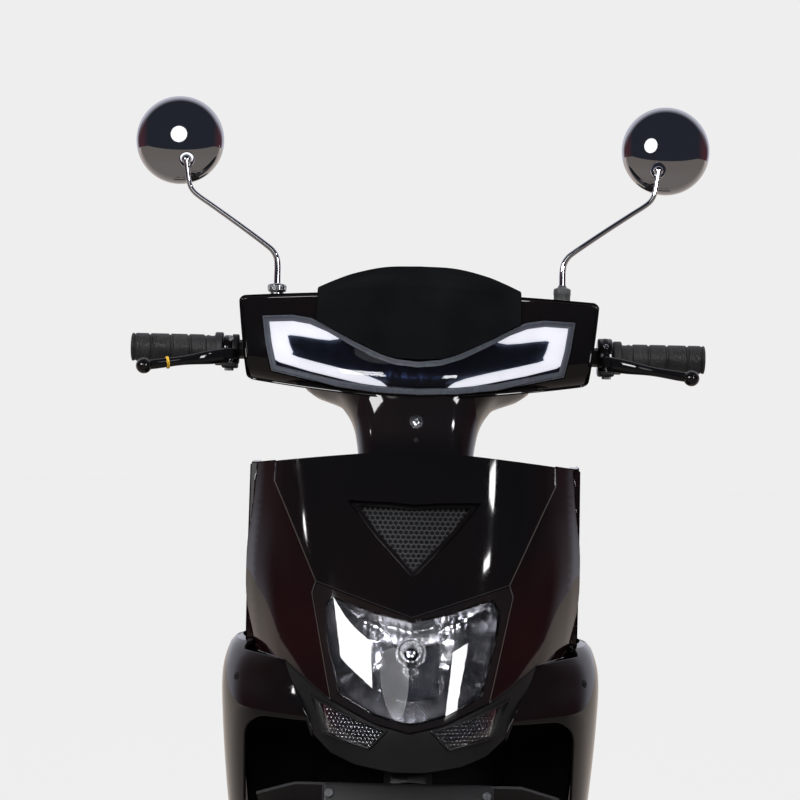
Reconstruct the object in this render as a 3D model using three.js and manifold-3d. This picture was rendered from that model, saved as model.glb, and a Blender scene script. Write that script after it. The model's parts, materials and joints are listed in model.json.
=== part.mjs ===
// Electric moped scooter, as an assembly of separate pieces.
// Millimetres, +Z up, front towards -Y, the rider's left towards +X.
// The origin is on the floor under the middle of the scooter.

import * as THREE from 'three';
import { mergeVertices } from 'three/addons/utils/BufferGeometryUtils.js';
import Module from 'manifold-3d';

const wasm = await Module();
wasm.setup();

// Driving sizes of the whole scooter

const wheelBase = 1260;
const tyreRadius = 205;
const tyreWidth = 78;
const rearWheelLift = 8;
const rakeAngle = 25;
const forkOffset = 14;
const forkTravel = 60;
const clearance = 0.3;
const runningGap = 3;
const overrun = 2;
const weld = 0.001;
const skinThickness = 3;

// How finely round things are faceted

const barSides = 8;
const ballSides = 8;
const pinSides = 12;
const tubeSides = 8;
const wheelSides = 20;
const coneSides = 16;
const nutSides = 6;
const bendTension = 0.4;
const cornerLimitShare = 0.35;

// Head cowl, crest, lens and light guides

const cowlHalfWidth = 213;
const cowlFootHalfWidth = 200;
const cowlCrown = 1045;
const cowlShoulder = 1037;
const cowlFoot = 922;
const cowlHeel = 943;
const cowlFace = -348;
const cowlSplit = -245;
const cowlSweep = 46;
const cowlBack = -190;
const crestThickness = 6.5;
const crestSink = 2.5;
const crestHalfWidth = 119;
const crestTop = 1077;
const crestShoulder = 1049;
const crestFoot = 966;
const crestVeeTop = 1012;
const crestBrow = 10;
const crestBack = -252;
const crestBackBow = 18;
const lensHalfWidth = 184;
const lensTop = 1016;
const lensBottom = 926;
const barHeight = 976;
const barPlane = -245;
const barRadius = 11.5;
const barHalfLength = 338;
const barCentreHeight = 952;
const barTurnX = 196;

// Grips, levers, switches and mirrors

const gripInner = 234;
const gripEnd = 344;
const gripRadius = 15.5;
const gripRib = 17;
const flangeRadius = 20;
const flangeWidth = 10;
const perchInner = 215;
const perchOuter = 233;
const perchRadius = 18;
const housingRadius = 23;
const perchShelf = 7;
const leverPivotX = 224;
const leverPivotAhead = 38;
const leverPivotZ = 968;
const leverPinRadius = 3;
const leverHubRadius = 9;
const leverHubHalf = 8;
const leverTipX = 322;
const leverTipAhead = 66;
const leverTipZ = 953;
const leverRootHalf = 9;
const leverTipHalf = 5.5;
const leverHalfThickness = 4;
const leverBow = 8;
const leverBallRadius = 9.5;
const buttonRadius = 5;
const hornZ = 966;
const turnSwitchZ = 984;
const buttonProud = 4;
const buttonSunk = 5;
const buttonTravel = 2.5;
const mirrorRadius = 53;
const mirrorDepth = 24;
const mirrorGlassSet = 2;
const mirrorRim = 3;
const mirrorX = 293;
const mirrorZ = 1227;
const mirrorY = -232;
const mirrorBallRadius = 6;
const mirrorBossRadius = 9.5;
const mirrorSocketSet = 3;
const mirrorBallX = 282;
const mirrorBallY = -264;
const mirrorBallZ = 1201;
const stalkRadius = 4.2;
const stalkX = 170;
const stalkY = -268;
const nutRadius = 10.8;
const nutHeight = 11;
const bootRadius = 10.2;
const bootHeight = 18;
const sleeveRadius = 21;
const sleeveLength = 53;
const sleeveUnderBar = 13.5;
const keyX = 72;
const keyZ = 760;
const keyBarrelRadius = 9;
const keyBarrelLength = 26;
const keyHeadWidth = 24;
const keyHeadThickness = 3;
const keyHeadLength = 22;

// Neck cover, stem and fork

const neckFoot = 700;
const neckHead = 850;
const neckHalfWidth = 134;
const neckDepth = 62;
const stemRadius = 15;
const stemInset = 8;
const headTubeRadius = 27;
const headTubeFoot = 320;
const headTubeTop = 560;
const bearingRadius = 18.5;
const bearingHeight = 12;
const crownFoot = 290;
const crownTop = 318;
const crownDepth = 26;
const legX = 74;
const legRadius = 20;
const legTop = 222;
const legFoot = -26;
const stanchionRadius = 15;
const stanchionFoot = 112;
const forkStopGap = 10;
const legBoreFoot = stanchionFoot - forkTravel - forkStopGap;
const axleRadius = 8;
const fenderGap = 14;
const fenderHalfWidth = 49;
const discRadius = 90;
const discThickness = 3.5;
const discX = 47;
const axleNutRadius = 14;
const axleNutWidth = 10;
const fenderLugDepth = 20;
const fenderLugLow = 178;
const fenderLugHigh = 204;
const fenderBackAngle = 14;
const fenderFrontAngle = 152;
const rimBead = 127;
const rimFlange = 137;
const rimWell = 119;
const rimHalfWidth = 30;
const rimWall = 6;
const hubRadius = 30;
const hubHalfWidth = 40;
const spokeWidth = 24;
const spokeThickness = 22;
const discInner = 58;
const discArmWidth = 12;
const caliperInner = 40;
const caliperOuter = 78;
const caliperDepth = 44;
const caliperLow = 54;
const caliperHeight = 50;
const caliperSlot = 2.2;
const motorRadius = 106;
const motorHalfWidth = 47;
const motorBossRadius = 30;
const motorBossHalfWidth = 54;

// Swingarm, dampers and stands

const pivotY = 330;
const pivotZ = 250;
const pivotRadius = 10;
const pivotSleeve = 20;
const armX = 68;
const armWidth = 14;
const armHeight = 34;
const damperX = 100;
const damperFootY = 585;
const damperFootZ = 240;
const damperTopY = 500;
const damperTopZ = 520;
const damperEye = 11;
const damperEyeWidth = 14;
const studRadius = 6;
const openPivotGap = 3;
const damperBodyRadius = 14;
const damperBodyLength = 150;
const damperBoreFoot = 56;
const damperRodRadius = 6;
const damperRodLength = 172;
const perchThickness = 4;
const perchReach = 25;
const lowerPerch = 40;
const upperPerch = 30;
const coilRadius = 20.5;
const coilWire = 3.6;
const coilTurns = 5;

// Front shield, headlight, signals and wings

const shieldHalfWidth = 192;
const shieldTop = 862;
const shieldDrop = 349;
const shieldNose = -520;
const shieldBack = -250;
const headlightDepth = 45;
const lensSet = 12;
const bowlHalf = [82, 28, 56];
const neckHoleRadius = 73;
const neckHoleFoot = 690;
const grilleRecess = 9;
const legShieldTop = 850;
const legShieldFoot = 345;
const legShieldBulge = 16;
const legShieldFlatness = 6;
const pocketDepth = 62;
const wingHalfWidth = 220;
const wingTop = 640;
const wingFoot = 336;
const wingDepth = 252;
const wingBack = -236;
const archHalfWidth = 188;
const archTop = 562;
const archCorner = 26;
const linerHalfWidth = 168;
const linerBack = -338;
const linerFoot = 300;
const linerAlong = 325;
const linerFront = 8;
const linerReachBack = 96;
const linerBend = 60;
const linerEdgeDrop = 12;
const deckEdgeDrop = 18;

// Frame

const railX = 105;
const railZ = 285;
const railRadius = 14;
const railFront = -275;
const downTubeRadius = 18;
const downTubeAlong = 440;
const pivotLugX = 83;
const pivotLugWidth = 10;
const pivotLugRadius = 22;
const stayRadius = 8;
const crossRadius = 11;
const propLugDepth = 24;
const cradleHeight = 10;
const cradleDepth = 26;

// Battery, floorboard, body and seat

const batteryHalfWidth = 84;
const batteryFoot = 232;
const batteryTop = 318;
const batteryFront = -236;
const batteryBack = 236;
const floorTop = 339;
const floorFoot = 296;
const floorHalfWidth = 166;
const floorFront = -229;
const bodyFront = 172;
const bodyBack = 806;
const bodyHalfWidth = 160;
const bodyTop = 684;
const bodyFoot = 304;
const tubHalfWidth = 60;
const tubFoot = 432;
const tubBack = 440;
const tubTop = 650;
const seatFoot = 690;
const seatCrown = 800;
const seatFront = 150;
const seatBack = 712;
const seatHalfWidth = 134;
const hingeY = 158;
const hingeZ = 676;
const hingePinRadius = 4;
const hingeHalfWidth = 14;
const hingeLugWidth = 12;
const tailHalfWidth = 66;
const tailFront = 782;
const tailBack = 845;
const tailFoot = 602;
const tailTop = 660;
const rearFenderRadius = 280;
const rearFenderHalfWidth = 58;
const rearFenderBackAngle = 41;
const rearFenderFrontAngle = 118;
const railLoopRadius = 11;
const railLoopHalfWidth = 62;
const railLoopTop = 752;
const railLoopBack = 832;
const railLoopFront = 742;
const railPlateTop = 700;
const railPlateThickness = 8;
const floorEdge = 9;

// Stands

const standY = 342;
const standZ = 204;
const standX = 97;
const standShaftRadius = 8;
const standLegRadius = 9;
const standFootX = 118;
const standFootAhead = 20;
const standCrossShare = 0.27;
const footLength = 46;
const footWidth = 34;
const footThickness = 6;
const propX = 124;
const propY = 110;
const propZ = 262;
const propLength = 232;
const propRadius = 8;
const propHubRadius = 15;
const propHubWidth = 10;

// Looks of the materials

const looks = {
  gloss: { color: 0x08080a, roughness: 0.12, metalness: 0 },
  satin: { color: 0x141416, roughness: 0.55, metalness: 0 },
  grey: { color: 0x2c2d30, roughness: 0.6, metalness: 0 },
  rubber: { color: 0x101011, roughness: 0.85, metalness: 0 },
  smoke: { color: 0x39404c, roughness: 0.08, metalness: 0 },
  clear: { color: 0xdfe4ea, roughness: 0.05, metalness: 0 },
  glow: { color: 0xf4f2ff, roughness: 0.3, metalness: 0 },
  chrome: { color: 0xd8dade, roughness: 0.08, metalness: 1 },
  steel: { color: 0x8f9398, roughness: 0.35, metalness: 1 },
  alloy: { color: 0x55585d, roughness: 0.4, metalness: 0.8 },
  frame: { color: 0x0d0d0f, roughness: 0.4, metalness: 0.2 },
  vinyl: { color: 0x131314, roughness: 0.7, metalness: 0 },
  red: { color: 0x9c0f12, roughness: 0.1, metalness: 0 },
};

// Tables of places, as shares of the sizes that they follow

const cowlColumns = 8;
const cowlRiseShare = 1.5;
const cowlLeanDepth = 80;
const cowlRearLeanDepth = 50;
const cowlFrontLeanShares = [
  [0, 0.32], [0.15, 0.2], [0.4, 0.07], [0.75, 0], [0.92, 0.08], [1, 0.24],
];
const cowlRearLeanShares = [[0, 0.9], [0.42, 0.1], [0.6, 0], [0.85, 0.05], [1, 0.4]];

// Across as a share of the lens half width, up as a share of the height from its foot to its top
const lensShares = [
  [0, 0.43], [0.14, 0.46], [0.26, 0.54], [0.4, 0.68], [0.56, 0.86], [0.68, 0.96], [0.8, 1],
  [1, 0.985], [0.97, 0.6], [0.93, 0.28], [0.5, 0.09], [0.25, 0.03], [0, 0.01],
];
const guideShares = [
  [0.5, 0.78], [0.9, 0.95], [0.945, 0.9], [0.92, 0.6], [0.875, 0.4], [0.25, 0.12], [0.31, 0.22],
  [0.76, 0.44], [0.8, 0.52], [0.83, 0.68], [0.81, 0.75], [0.56, 0.69],
];
const crestTopShares = [[0, 1], [0.35, 0.93], [0.66, 0.62], [0.85, 0.3], [1, 0]];
const crestColumns = 6;
const crestFaceRows = 3;
const crestMidShare = 0.55;
const crestMidDropShare = 0.45;
const crestVeeShares = [[0, 0], [0.28, 0.06], [0.54, 0.33], [0.74, 0.58], [0.94, 0.85], [1, 0.92]];

// Neck cover rings: height share, half width share, depth share
const neckShares = [
  [0, 0.49, 0.72], [0.25, 0.52, 0.74], [0.42, 0.56, 0.78], [0.55, 0.63, 0.84],
  [0.66, 0.74, 0.92], [0.76, 1, 0.98], [1, 1, 1],
];
const neckSides = 14;
const neckRoundShare = 0.7;

// Front shield: share down, centre height share, edge height share, width share, nose share, edge share
const shieldColumns = 10;
const shieldShares = [
  [0, 0, 0.054, 0.958, 0.43, 0.704], [0.18, 0.178, 0.195, 0.974, 0.34, 0.674],
  [0.4, 0.407, 0.41, 1, 0.205, 0.64], [0.62, 0.636, 0.636, 0.958, 0.085, 0.63],
  [0.85, 0.865, 0.865, 0.885, 0.01, 0.64], [1, 1, 1, 0.84, 0, 0.66],
];
const shieldSectionShares = [[0, 0], [0.3, 0.05], [0.55, 0.19], [0.8, 0.5], [0.93, 0.78], [1, 1]];
const deckDropShare = 0.03;
const shieldRows = 6;
const shieldRiseShare = 1.4;
const bowlDropShare = 0.66;
const bowlSides = 12;
const shieldFlareShare = 1.02;

// Outlines on the front: across as a share of the shield half width, down as a share of its drop
const seamShares = [[0, 0.528], [0.557, 0.427], [0.833, 0.112], [0.823, -0.12]];
const bezelShares = [[0, 0.528], [0.557, 0.427], [0.578, 0.462], [0.448, 0.788], [0.2, 0.853], [0, 0.88]];
const bulbLensShares = [
  [0, 0.539], [0.2, 0.516], [0.464, 0.468], [0.508, 0.507], [0.49, 0.6], [0.404, 0.772],
  [0.2, 0.83], [0.06, 0.852], [0, 0.855],
];
const veeShares = [[0, 0.178], [0.135, 0.172], [0.385, 0.169], [0.24, 0.27], [0, 0.407]];
const chinShares = [
  [0, 0.88], [0.2, 0.855], [0.448, 0.79], [0.729, 0.682], [0.7, 0.73], [0.59, 0.845],
  [0.545, 0.905], [0.44, 0.955], [0.3, 0.985], [0, 1.01],
];
const signalShares = [[0.562, 0.779], [0.344, 0.831], [0.12, 0.874], [0.219, 0.934], [0.479, 0.897]];
const sideFootShares = [[0.729, 0.68], [0.911, 0.668], [1.04, 0.662]];
const sideTopShares = [[1.04, -0.12], [0.823, -0.12]];

// Wing: across as a share of its half width, forward as a share of its depth from the back edge
const wingSectionShares = [
  [0.495, 0.95], [0.64, 0.87], [0.8, 0.76], [0.9, 0.66], [0.965, 0.53], [0.995, 0.38], [1, 0.22],
  [0.97, 0.08], [0.93, 0],
];
const wingShares = [
  [0, 0.93, 0.83], [0.03, 0.965, 0.88], [0.12, 1, 0.93], [0.25, 1, 1], [0.55, 0.97, 0.94],
  [0.8, 0.93, 0.82], [1, 0.89, 0.66],
];

// Leg shield on the rider's side: height share, half width share
const legShieldShares = [
  [0, 0.955], [0.12, 0.975], [0.4, 0.975], [0.445, 1.055], [0.7, 1.03], [1, 0.955],
];
const legShieldRows = 7;
const legShieldColumns = 6;
const pocketShares = [[-0.8, 0.62], [-0.8, 0.9], [-0.16, 0.9], [-0.16, 0.62]];
const linerArcSteps = 8;
const linerFlatShare = 0.75;
const linerKneeShare = 0.25;
const cornerSteps = 3;
const archReachShare = 0.33;

// Wheels: radius share of the tyre, width share of its half width
const tyreShares = [
  [0.622, 0.66], [0.673, 0.66], [0.72, 0.9], [0.83, 1], [0.93, 0.84], [1, 0.22],
  [1, -0.22], [0.93, -0.84], [0.83, -1], [0.72, -0.9], [0.673, -0.66], [0.622, -0.66],
];
const spokeCount = 5;
const fenderSectionShares = [
  [-1, 0.8], [-1, 0.92], [-0.86, 0.975], [-0.45, 1], [0.45, 1], [0.86, 0.975], [1, 0.92], [1, 0.8],
];
const fenderSteps = 8;
const coilSteps = 8;
const coilSides = 5;

// Grip: share of its length, radius share between body and rib
const gripShares = [
  [0.14, 0], [0.2, 1], [0.36, 1], [0.385, 0], [0.41, 1], [0.56, 1], [0.585, 0], [0.61, 1],
  [0.78, 1], [0.805, 0], [0.83, 1], [0.97, 1],
];
const mirrorShares = [[0, 1], [0.42, 0.91], [0.7, 0.7], [0.9, 0.38], [0.99, 0.1], [1, -0.08]];
const mirrorSides = 16;
const leverRingSides = 8;
const leverRings = 5;
const stalkSteps = 10;
const barSteps = 8;
// Stalk: across, up and back shares of its run, rise and set
const stalkShares = [
  [0, 0, 0], [0, 0.22, 0], [0.02, 0.28, 0], [0.1, 0.35, 0.2], [0.7, 0.64, 0.7], [0.88, 0.72, 0.9],
  [0.93, 0.78, 1], [1, 0.98, 1],
];

// Frame rails: across as a share of the rail's place, along the body and up between rail and body top
const railShares = [
  [1, 0, 0], [0.94, 0.16, 0.12], [0.76, 0.36, 0.55], [0.68, 0.6, 0.74], [0.6, 0.93, 0.84],
];
const railSteps = 10;
const grabSteps = 12;
const crossTubeShares = [0.62, 0.86, 1];
const fenderStayShare = 0.86;
const downTubeShares = [0.55, 0.3];
const grabBendShare = 0.55;

// Floorboard: across as a share of its half width, down as a share of its edge
const floorShares = [[0, 0], [0.9, 0], [0.97, 0.5], [1, 2]];
// Tail light: across as a share of its half width, back as a share of its depth
const tailShares = [[0, 0], [1, 0], [0.96, 0.5], [0.7, 0.86], [0, 1]];

// Body covers: share along, half width share, top share, foot share
const coverShares = [
  [0, 0.8, 0.94, 0], [0.14, 0.94, 0.955, 0.04], [0.33, 1, 0.965, 0.25], [0.52, 0.985, 0.975, 0.44],
  [0.74, 0.87, 0.985, 0.6], [0.93, 0.65, 0.995, 0.72], [1, 0.46, 1, 0.775],
];
const coverSectionShares = [[0, 0.86], [0.16, 0.95], [0.4, 1], [0.7, 0.97], [1, 0.9]];
const coverColumns = 8;

// Seat: share along, half width share, foot share, crown share
const seatShares = [
  [0, 0.3, 0.16, 0.3], [0.025, 0.52, 0.05, 0.5], [0.09, 0.72, 0, 0.62], [0.22, 0.9, 0, 0.66],
  [0.4, 1, 0, 0.67], [0.52, 1, 0, 0.7], [0.6, 0.98, 0, 0.9], [0.7, 0.95, 0, 0.99],
  [0.85, 0.86, 0, 1], [0.96, 0.7, 0, 0.9], [1, 0.5, 0.12, 0.66],
];
const seatSectionShares = [
  [0, 0], [0.84, 0], [0.9, 0.12], [0.97, 0.35], [1, 0.6], [0.93, 0.82], [0.76, 0.94], [0.4, 0.995],
];
const damperStudShare = 0.42;
const spokeTurnShare = 0.017;
const discTurnShare = 0.113;

// Helpers: points and curves

const sideNames = { '-1': 'right', 1: 'left' };
const bothSides = [-1, 1];
const radians = (degrees) => THREE.MathUtils.degToRad(degrees);
const v = (x, y, z) => new THREE.Vector3(x, y, z);
const mix = (a, b, t) => a + (b - a) * t;
const steps = (count) => Array.from({ length: count + 1 }, (_, i) => i / count);

// A table of rows is read at share t by straight stretches between its rows.
function alongTable(table, t) {
  const after = table.findIndex((row) => row[0] >= t);
  if (after <= 0) return table[after === 0 ? 0 : table.length - 1];
  const [low, high] = [table[after - 1], table[after]];
  const local = (t - low[0]) / (high[0] - low[0]);
  return low.map((value, i) => mix(value, high[i], local));
}

// The same table read along a smooth curve through its rows.
function alongCurve(table, t) {
  const after = table.findIndex((row) => row[0] >= t);
  if (after <= 0) return table[after === 0 ? 0 : table.length - 1];
  const [low, high] = [table[after - 1], table[after]];
  const local = (t - low[0]) / (high[0] - low[0]);
  const before = table[Math.max(after - 2, 0)];
  const beyond = table[Math.min(after + 1, table.length - 1)];
  return low.map((value, i) => {
    const slopeIn = (high[i] - before[i]) / (high[0] - before[0]) * (high[0] - low[0]);
    const slopeOut = (beyond[i] - low[i]) / (beyond[0] - low[0]) * (high[0] - low[0]);
    const [t2, t3] = [local * local, local * local * local];
    return value * (2 * t3 - 3 * t2 + 1) + slopeIn * (t3 - 2 * t2 + local)
      + high[i] * (3 * t2 - 2 * t3) + slopeOut * (t3 - t2);
  });
}

// Helpers: solids

function signedVolume(points, triangles) {
  const [a, b, c] = [v(0, 0, 0), v(0, 0, 0), v(0, 0, 0)];
  let total = 0;
  for (let i = 0; i < triangles.length; i += 3) {
    a.fromArray(points, 3 * triangles[i]);
    b.fromArray(points, 3 * triangles[i + 1]);
    c.fromArray(points, 3 * triangles[i + 2]);
    total += a.dot(b.cross(c));
  }
  return total;
}

function solidFrom(points, triangles) {
  const facing = signedVolume(points, triangles) < 0
    ? triangles.map((_, i) => triangles[i % 3 === 0 ? i : i % 3 === 1 ? i + 1 : i - 1])
    : triangles;
  return new wasm.Manifold(new wasm.Mesh({
    numProp: 3,
    vertProperties: Float32Array.from(points),
    triVerts: Uint32Array.from(facing),
  }));
}

function solidOf(geometry) {
  const bare = geometry.clone();
  bare.deleteAttribute('normal');
  bare.deleteAttribute('uv');
  const merged = mergeVertices(bare, weld);
  const index = merged.index.array;
  const kept = [];
  for (let i = 0; i < index.length; i += 3) {
    const [a, b, c] = [index[i], index[i + 1], index[i + 2]];
    if (a !== b && b !== c && c !== a) kept.push(a, b, c);
  }
  return solidFrom(Array.from(merged.attributes.position.array), kept);
}

function arraysOf(solid) {
  const mesh = solid.getMesh();
  const count = mesh.vertProperties.length / mesh.numProp;
  const points = [];
  for (let i = 0; i < count; i += 1) {
    for (let k = 0; k < 3; k += 1) points.push(mesh.vertProperties[i * mesh.numProp + k]);
  }
  return [points, Array.from(mesh.triVerts)];
}

function transformed(solid, matrix) {
  const [points, triangles] = arraysOf(solid);
  const place = v(0, 0, 0);
  for (let i = 0; i < points.length; i += 3) {
    place.fromArray(points, i).applyMatrix4(matrix).toArray(points, i);
  }
  return solidFrom(points, triangles);
}

const moved = (solid, x, y, z) => transformed(solid, new THREE.Matrix4().makeTranslation(x, y, z));
const mirrored = (solid) => transformed(solid, new THREE.Matrix4().makeScale(-1, 1, 1));
const onSide = (solid, side) => (side > 0 ? solid : mirrored(solid));
const join = (...solids) => solids.reduce((a, b) => a.add(b));
const cut = (solid, ...tools) => tools.reduce((a, b) => a.subtract(b), solid);
const common = (a, b) => a.intersect(b);

function box(width, depth, height, x, y, z) {
  return solidOf(new THREE.BoxGeometry(width, depth, height).translate(x, y, z));
}

// A round bar from one point to another, with an end radius of its own if it tapers.
function bar(radius, from, to, sides = barSides, endRadius = radius) {
  const run = to.clone().sub(from);
  const geometry = new THREE.CylinderGeometry(endRadius, radius, run.length(), sides);
  geometry.rotateX(Math.PI / 2);
  const turn = new THREE.Quaternion().setFromUnitVectors(v(0, 0, 1), run.clone().normalize());
  geometry.applyQuaternion(turn);
  const middle = from.clone().add(to).multiplyScalar(0.5);
  return solidOf(geometry.translate(middle.x, middle.y, middle.z));
}

// A faceted bore is opened so far that a faceted pin clears its flats at any turn.
const boreOf = (radius, sides = barSides) => (radius + clearance) / Math.cos(Math.PI / sides);
const socketOf = (radius) => (radius + clearance) / Math.cos(Math.PI / pinSides) ** 2;

const ball = (radius, centre, sides = ballSides) => solidOf(
  new THREE.SphereGeometry(radius, sides, sides / 2).translate(centre.x, centre.y, centre.z),
);

// A tube of round section along a smooth curve through the points.
function bentTube(radius, points, count, sides = tubeSides, tension = bendTension) {
  const curve = new THREE.CatmullRomCurve3(points, false, 'catmullrom', tension);
  const section = new THREE.Shape(
    steps(sides).slice(0, sides).map((t) => new THREE.Vector2(
      radius * Math.cos(2 * Math.PI * t),
      radius * Math.sin(2 * Math.PI * t),
    )),
  );
  return solidOf(new THREE.ExtrudeGeometry(section, {
    steps: count, bevelEnabled: false, extrudePath: curve,
  }));
}

// An outline of [across, up] points run along an axis: x takes [y, z], y takes [x, z], z takes [x, y].
function prism(outline, axis, from, to) {
  const shape = new THREE.Shape(outline.map(([a, b]) => new THREE.Vector2(a, b)));
  const geometry = new THREE.ExtrudeGeometry(shape, { depth: to - from, bevelEnabled: false });
  const bases = {
    x: [v(0, 1, 0), v(0, 0, 1), v(1, 0, 0), v(from, 0, 0)],
    y: [v(1, 0, 0), v(0, 0, 1), v(0, -1, 0), v(0, to, 0)],
    z: [v(1, 0, 0), v(0, 1, 0), v(0, 0, 1), v(0, 0, from)],
  };
  const [a, b, c, place] = bases[axis];
  geometry.applyMatrix4(new THREE.Matrix4().makeBasis(a, b, c));
  return solidOf(geometry.translate(place.x, place.y, place.z));
}

// A profile of [radius, height] points turned round the X axis.
function turnedOnX(profile, sides) {
  const geometry = new THREE.LatheGeometry(profile.map(([r, h]) => new THREE.Vector2(r, h)), sides);
  return solidOf(geometry.rotateZ(-Math.PI / 2));
}

function turnedOnZ(profile, sides) {
  const geometry = new THREE.LatheGeometry(profile.map(([r, h]) => new THREE.Vector2(r, h)), sides);
  return solidOf(geometry.rotateX(Math.PI / 2));
}

// A closed solid between two grids of points that have the same rows and columns.
function between(outer, inner) {
  const [rows, columns] = [outer.length, outer[0].length];
  const points = [...outer, ...inner].flatMap((row) => row.flatMap((p) => [p.x, p.y, p.z]));
  const at = (layer, i, j) => (layer * rows + i) * columns + j;
  const triangles = [];
  const quad = (a, b, c, d) => triangles.push(a, b, c, a, c, d);
  for (let i = 0; i < rows - 1; i += 1) {
    for (let j = 0; j < columns - 1; j += 1) {
      quad(at(0, i, j), at(0, i, j + 1), at(0, i + 1, j + 1), at(0, i + 1, j));
      quad(at(1, i, j), at(1, i + 1, j), at(1, i + 1, j + 1), at(1, i, j + 1));
    }
  }
  for (let i = 0; i < rows - 1; i += 1) {
    quad(at(0, i, 0), at(0, i + 1, 0), at(1, i + 1, 0), at(1, i, 0));
    quad(at(0, i, columns - 1), at(1, i, columns - 1), at(1, i + 1, columns - 1), at(0, i + 1, columns - 1));
  }
  for (let j = 0; j < columns - 1; j += 1) {
    quad(at(0, 0, j), at(1, 0, j), at(1, 0, j + 1), at(0, 0, j + 1));
    quad(at(0, rows - 1, j), at(0, rows - 1, j + 1), at(1, rows - 1, j + 1), at(1, rows - 1, j));
  }
  return solidFrom(points, triangles);
}

// Each point of a grid moved along the grid's own normal.
function offsetGrid(grid, distance) {
  const last = [grid.length - 1, grid[0].length - 1];
  return grid.map((row, i) => row.map((point, j) => {
    const across = grid[i][Math.min(j + 1, last[1])].clone().sub(grid[i][Math.max(j - 1, 0)]);
    const along = grid[Math.min(i + 1, last[0])][j].clone().sub(grid[Math.max(i - 1, 0)][j]);
    return point.clone().add(across.cross(along).setLength(distance));
  }));
}

// A shell of even thickness whose outer face is the grid; the sign says which way its inside lies.
const shell = (grid, thickness, out = 0) => between(
  offsetGrid(grid, -Math.sign(thickness) * out),
  offsetGrid(grid, thickness),
);

// A closed body through rings of points, capped at both ends.
function loft(rings) {
  const count = rings[0].length;
  const points = rings.flatMap((ring) => ring.flatMap((p) => [p.x, p.y, p.z]));
  const triangles = [];
  for (let i = 0; i < rings.length - 1; i += 1) {
    for (let j = 0; j < count; j += 1) {
      const [a, b] = [i * count + j, i * count + (j + 1) % count];
      triangles.push(a, b, b + count, a, b + count, a + count);
    }
  }
  for (const [ring, flip] of [[0, true], [rings.length - 1, false]]) {
    const middle = points.length / 3;
    const centre = rings[ring].reduce((sum, p) => sum.add(p), v(0, 0, 0)).divideScalar(count);
    points.push(centre.x, centre.y, centre.z);
    for (let j = 0; j < count; j += 1) {
      const [a, b] = [ring * count + j, ring * count + (j + 1) % count];
      triangles.push(...(flip ? [middle, b, a] : [middle, a, b]));
    }
  }
  return solidFrom(points, triangles);
}

// An outline drawn for one half is carried over to the other half.
const bothHalves = (half) => [...half, ...half.slice().reverse().map(([x, z]) => [-x, z])
  .filter(([x]) => x !== 0)];

// An outline is widened or narrowed by moving each side outwards or inwards.
function grown(outline, distance) {
  const area = outline.reduce((sum, [x, z], i) => {
    const [nx, nz] = outline[(i + 1) % outline.length];
    return sum + x * nz - nx * z;
  }, 0);
  const turn = Math.sign(area) * distance;
  return outline.map(([x, z], i) => {
    const [px, pz] = outline[(i + outline.length - 1) % outline.length];
    const [nx, nz] = outline[(i + 1) % outline.length];
    const before = new THREE.Vector2(z - pz, px - x).normalize();
    const after = new THREE.Vector2(nz - z, x - nx).normalize();
    const corner = before.clone().add(after);
    corner.multiplyScalar(turn / Math.max(1 + before.dot(after), cornerLimitShare));
    return [x + corner.x, z + corner.y];
  });
}

// The scooter's group and its named pieces

const scooter = new THREE.Group();

function piece(name, solid, look) {
  const [points, triangles] = arraysOf(solid);
  const geometry = new THREE.BufferGeometry();
  geometry.setAttribute('position', new THREE.Float32BufferAttribute(points, 3));
  geometry.setIndex(triangles);
  geometry.computeVertexNormals();
  const mesh = new THREE.Mesh(geometry, new THREE.MeshStandardMaterial(looks[look]));
  mesh.name = name;
  scooter.add(mesh);
  return solid;
}

// Steering axis: its frame stands at the foot of the fork, with Z along the axis and Y backwards

const frontAxle = v(0, -wheelBase / 2, tyreRadius);
const rearAxle = v(0, wheelBase / 2, tyreRadius + rearWheelLift);
const axisAhead = v(0, -Math.cos(radians(rakeAngle)), Math.sin(radians(rakeAngle)));
const axisUp = v(0, Math.sin(radians(rakeAngle)), Math.cos(radians(rakeAngle)));
const axisFoot = frontAxle.clone().addScaledVector(axisAhead, -forkOffset);
const steerFrame = new THREE.Matrix4().makeTranslation(axisFoot.x, axisFoot.y, axisFoot.z)
  .multiply(new THREE.Matrix4().makeRotationX(-radians(rakeAngle)));
const steered = (solid) => transformed(solid, steerFrame);

function steerPoint(x, back, along) {
  return v(x, back, along).applyMatrix4(steerFrame);
}

// The sleeve of the handlebar on the stem, under the bar

const barAlong = (barPlane - axisFoot.y) * axisUp.y + (barHeight - axisFoot.z) * axisUp.z;
const sleeveHead = barAlong - sleeveUnderBar;
const sleeveFoot = sleeveHead - sleeveLength;
const stemTop = sleeveHead - stemInset;

// Head cowl: a front and a rear shell that meet at the plane of the handlebar

function cowlFacePoint(u, t, inset, isFront) {
  const halfWidth = mix(cowlHalfWidth, cowlFootHalfWidth, t) - inset;
  const top = mix(cowlCrown, cowlShoulder, Math.abs(u) ** cowlRiseShare) - inset;
  const foot = mix(cowlFoot, cowlHeel, Math.abs(u) ** cowlRiseShare) + inset;
  const lean = isFront
    ? alongCurve(cowlFrontLeanShares, t)[1] * cowlLeanDepth
    : -alongCurve(cowlRearLeanShares, t)[1] * cowlRearLeanDepth;
  const face = isFront ? cowlFace + inset + cowlSweep * u * u : cowlBack - inset;
  return v(u * halfWidth, face + lean, mix(top, foot, t));
}

const cowlColumnPlaces = steps(cowlColumns).map((s) => 2 * s - 1);

function cowlBlock(isFront, inset, splitGap) {
  const table = isFront ? cowlFrontLeanShares : cowlRearLeanShares;
  const face = table.map(([t]) => cowlColumnPlaces.map((u) => cowlFacePoint(u, t, inset, isFront)));
  const split = face.map((row) => row.map((p) => v(p.x, cowlSplit + splitGap, p.z)));
  return between(face, split);
}

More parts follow.
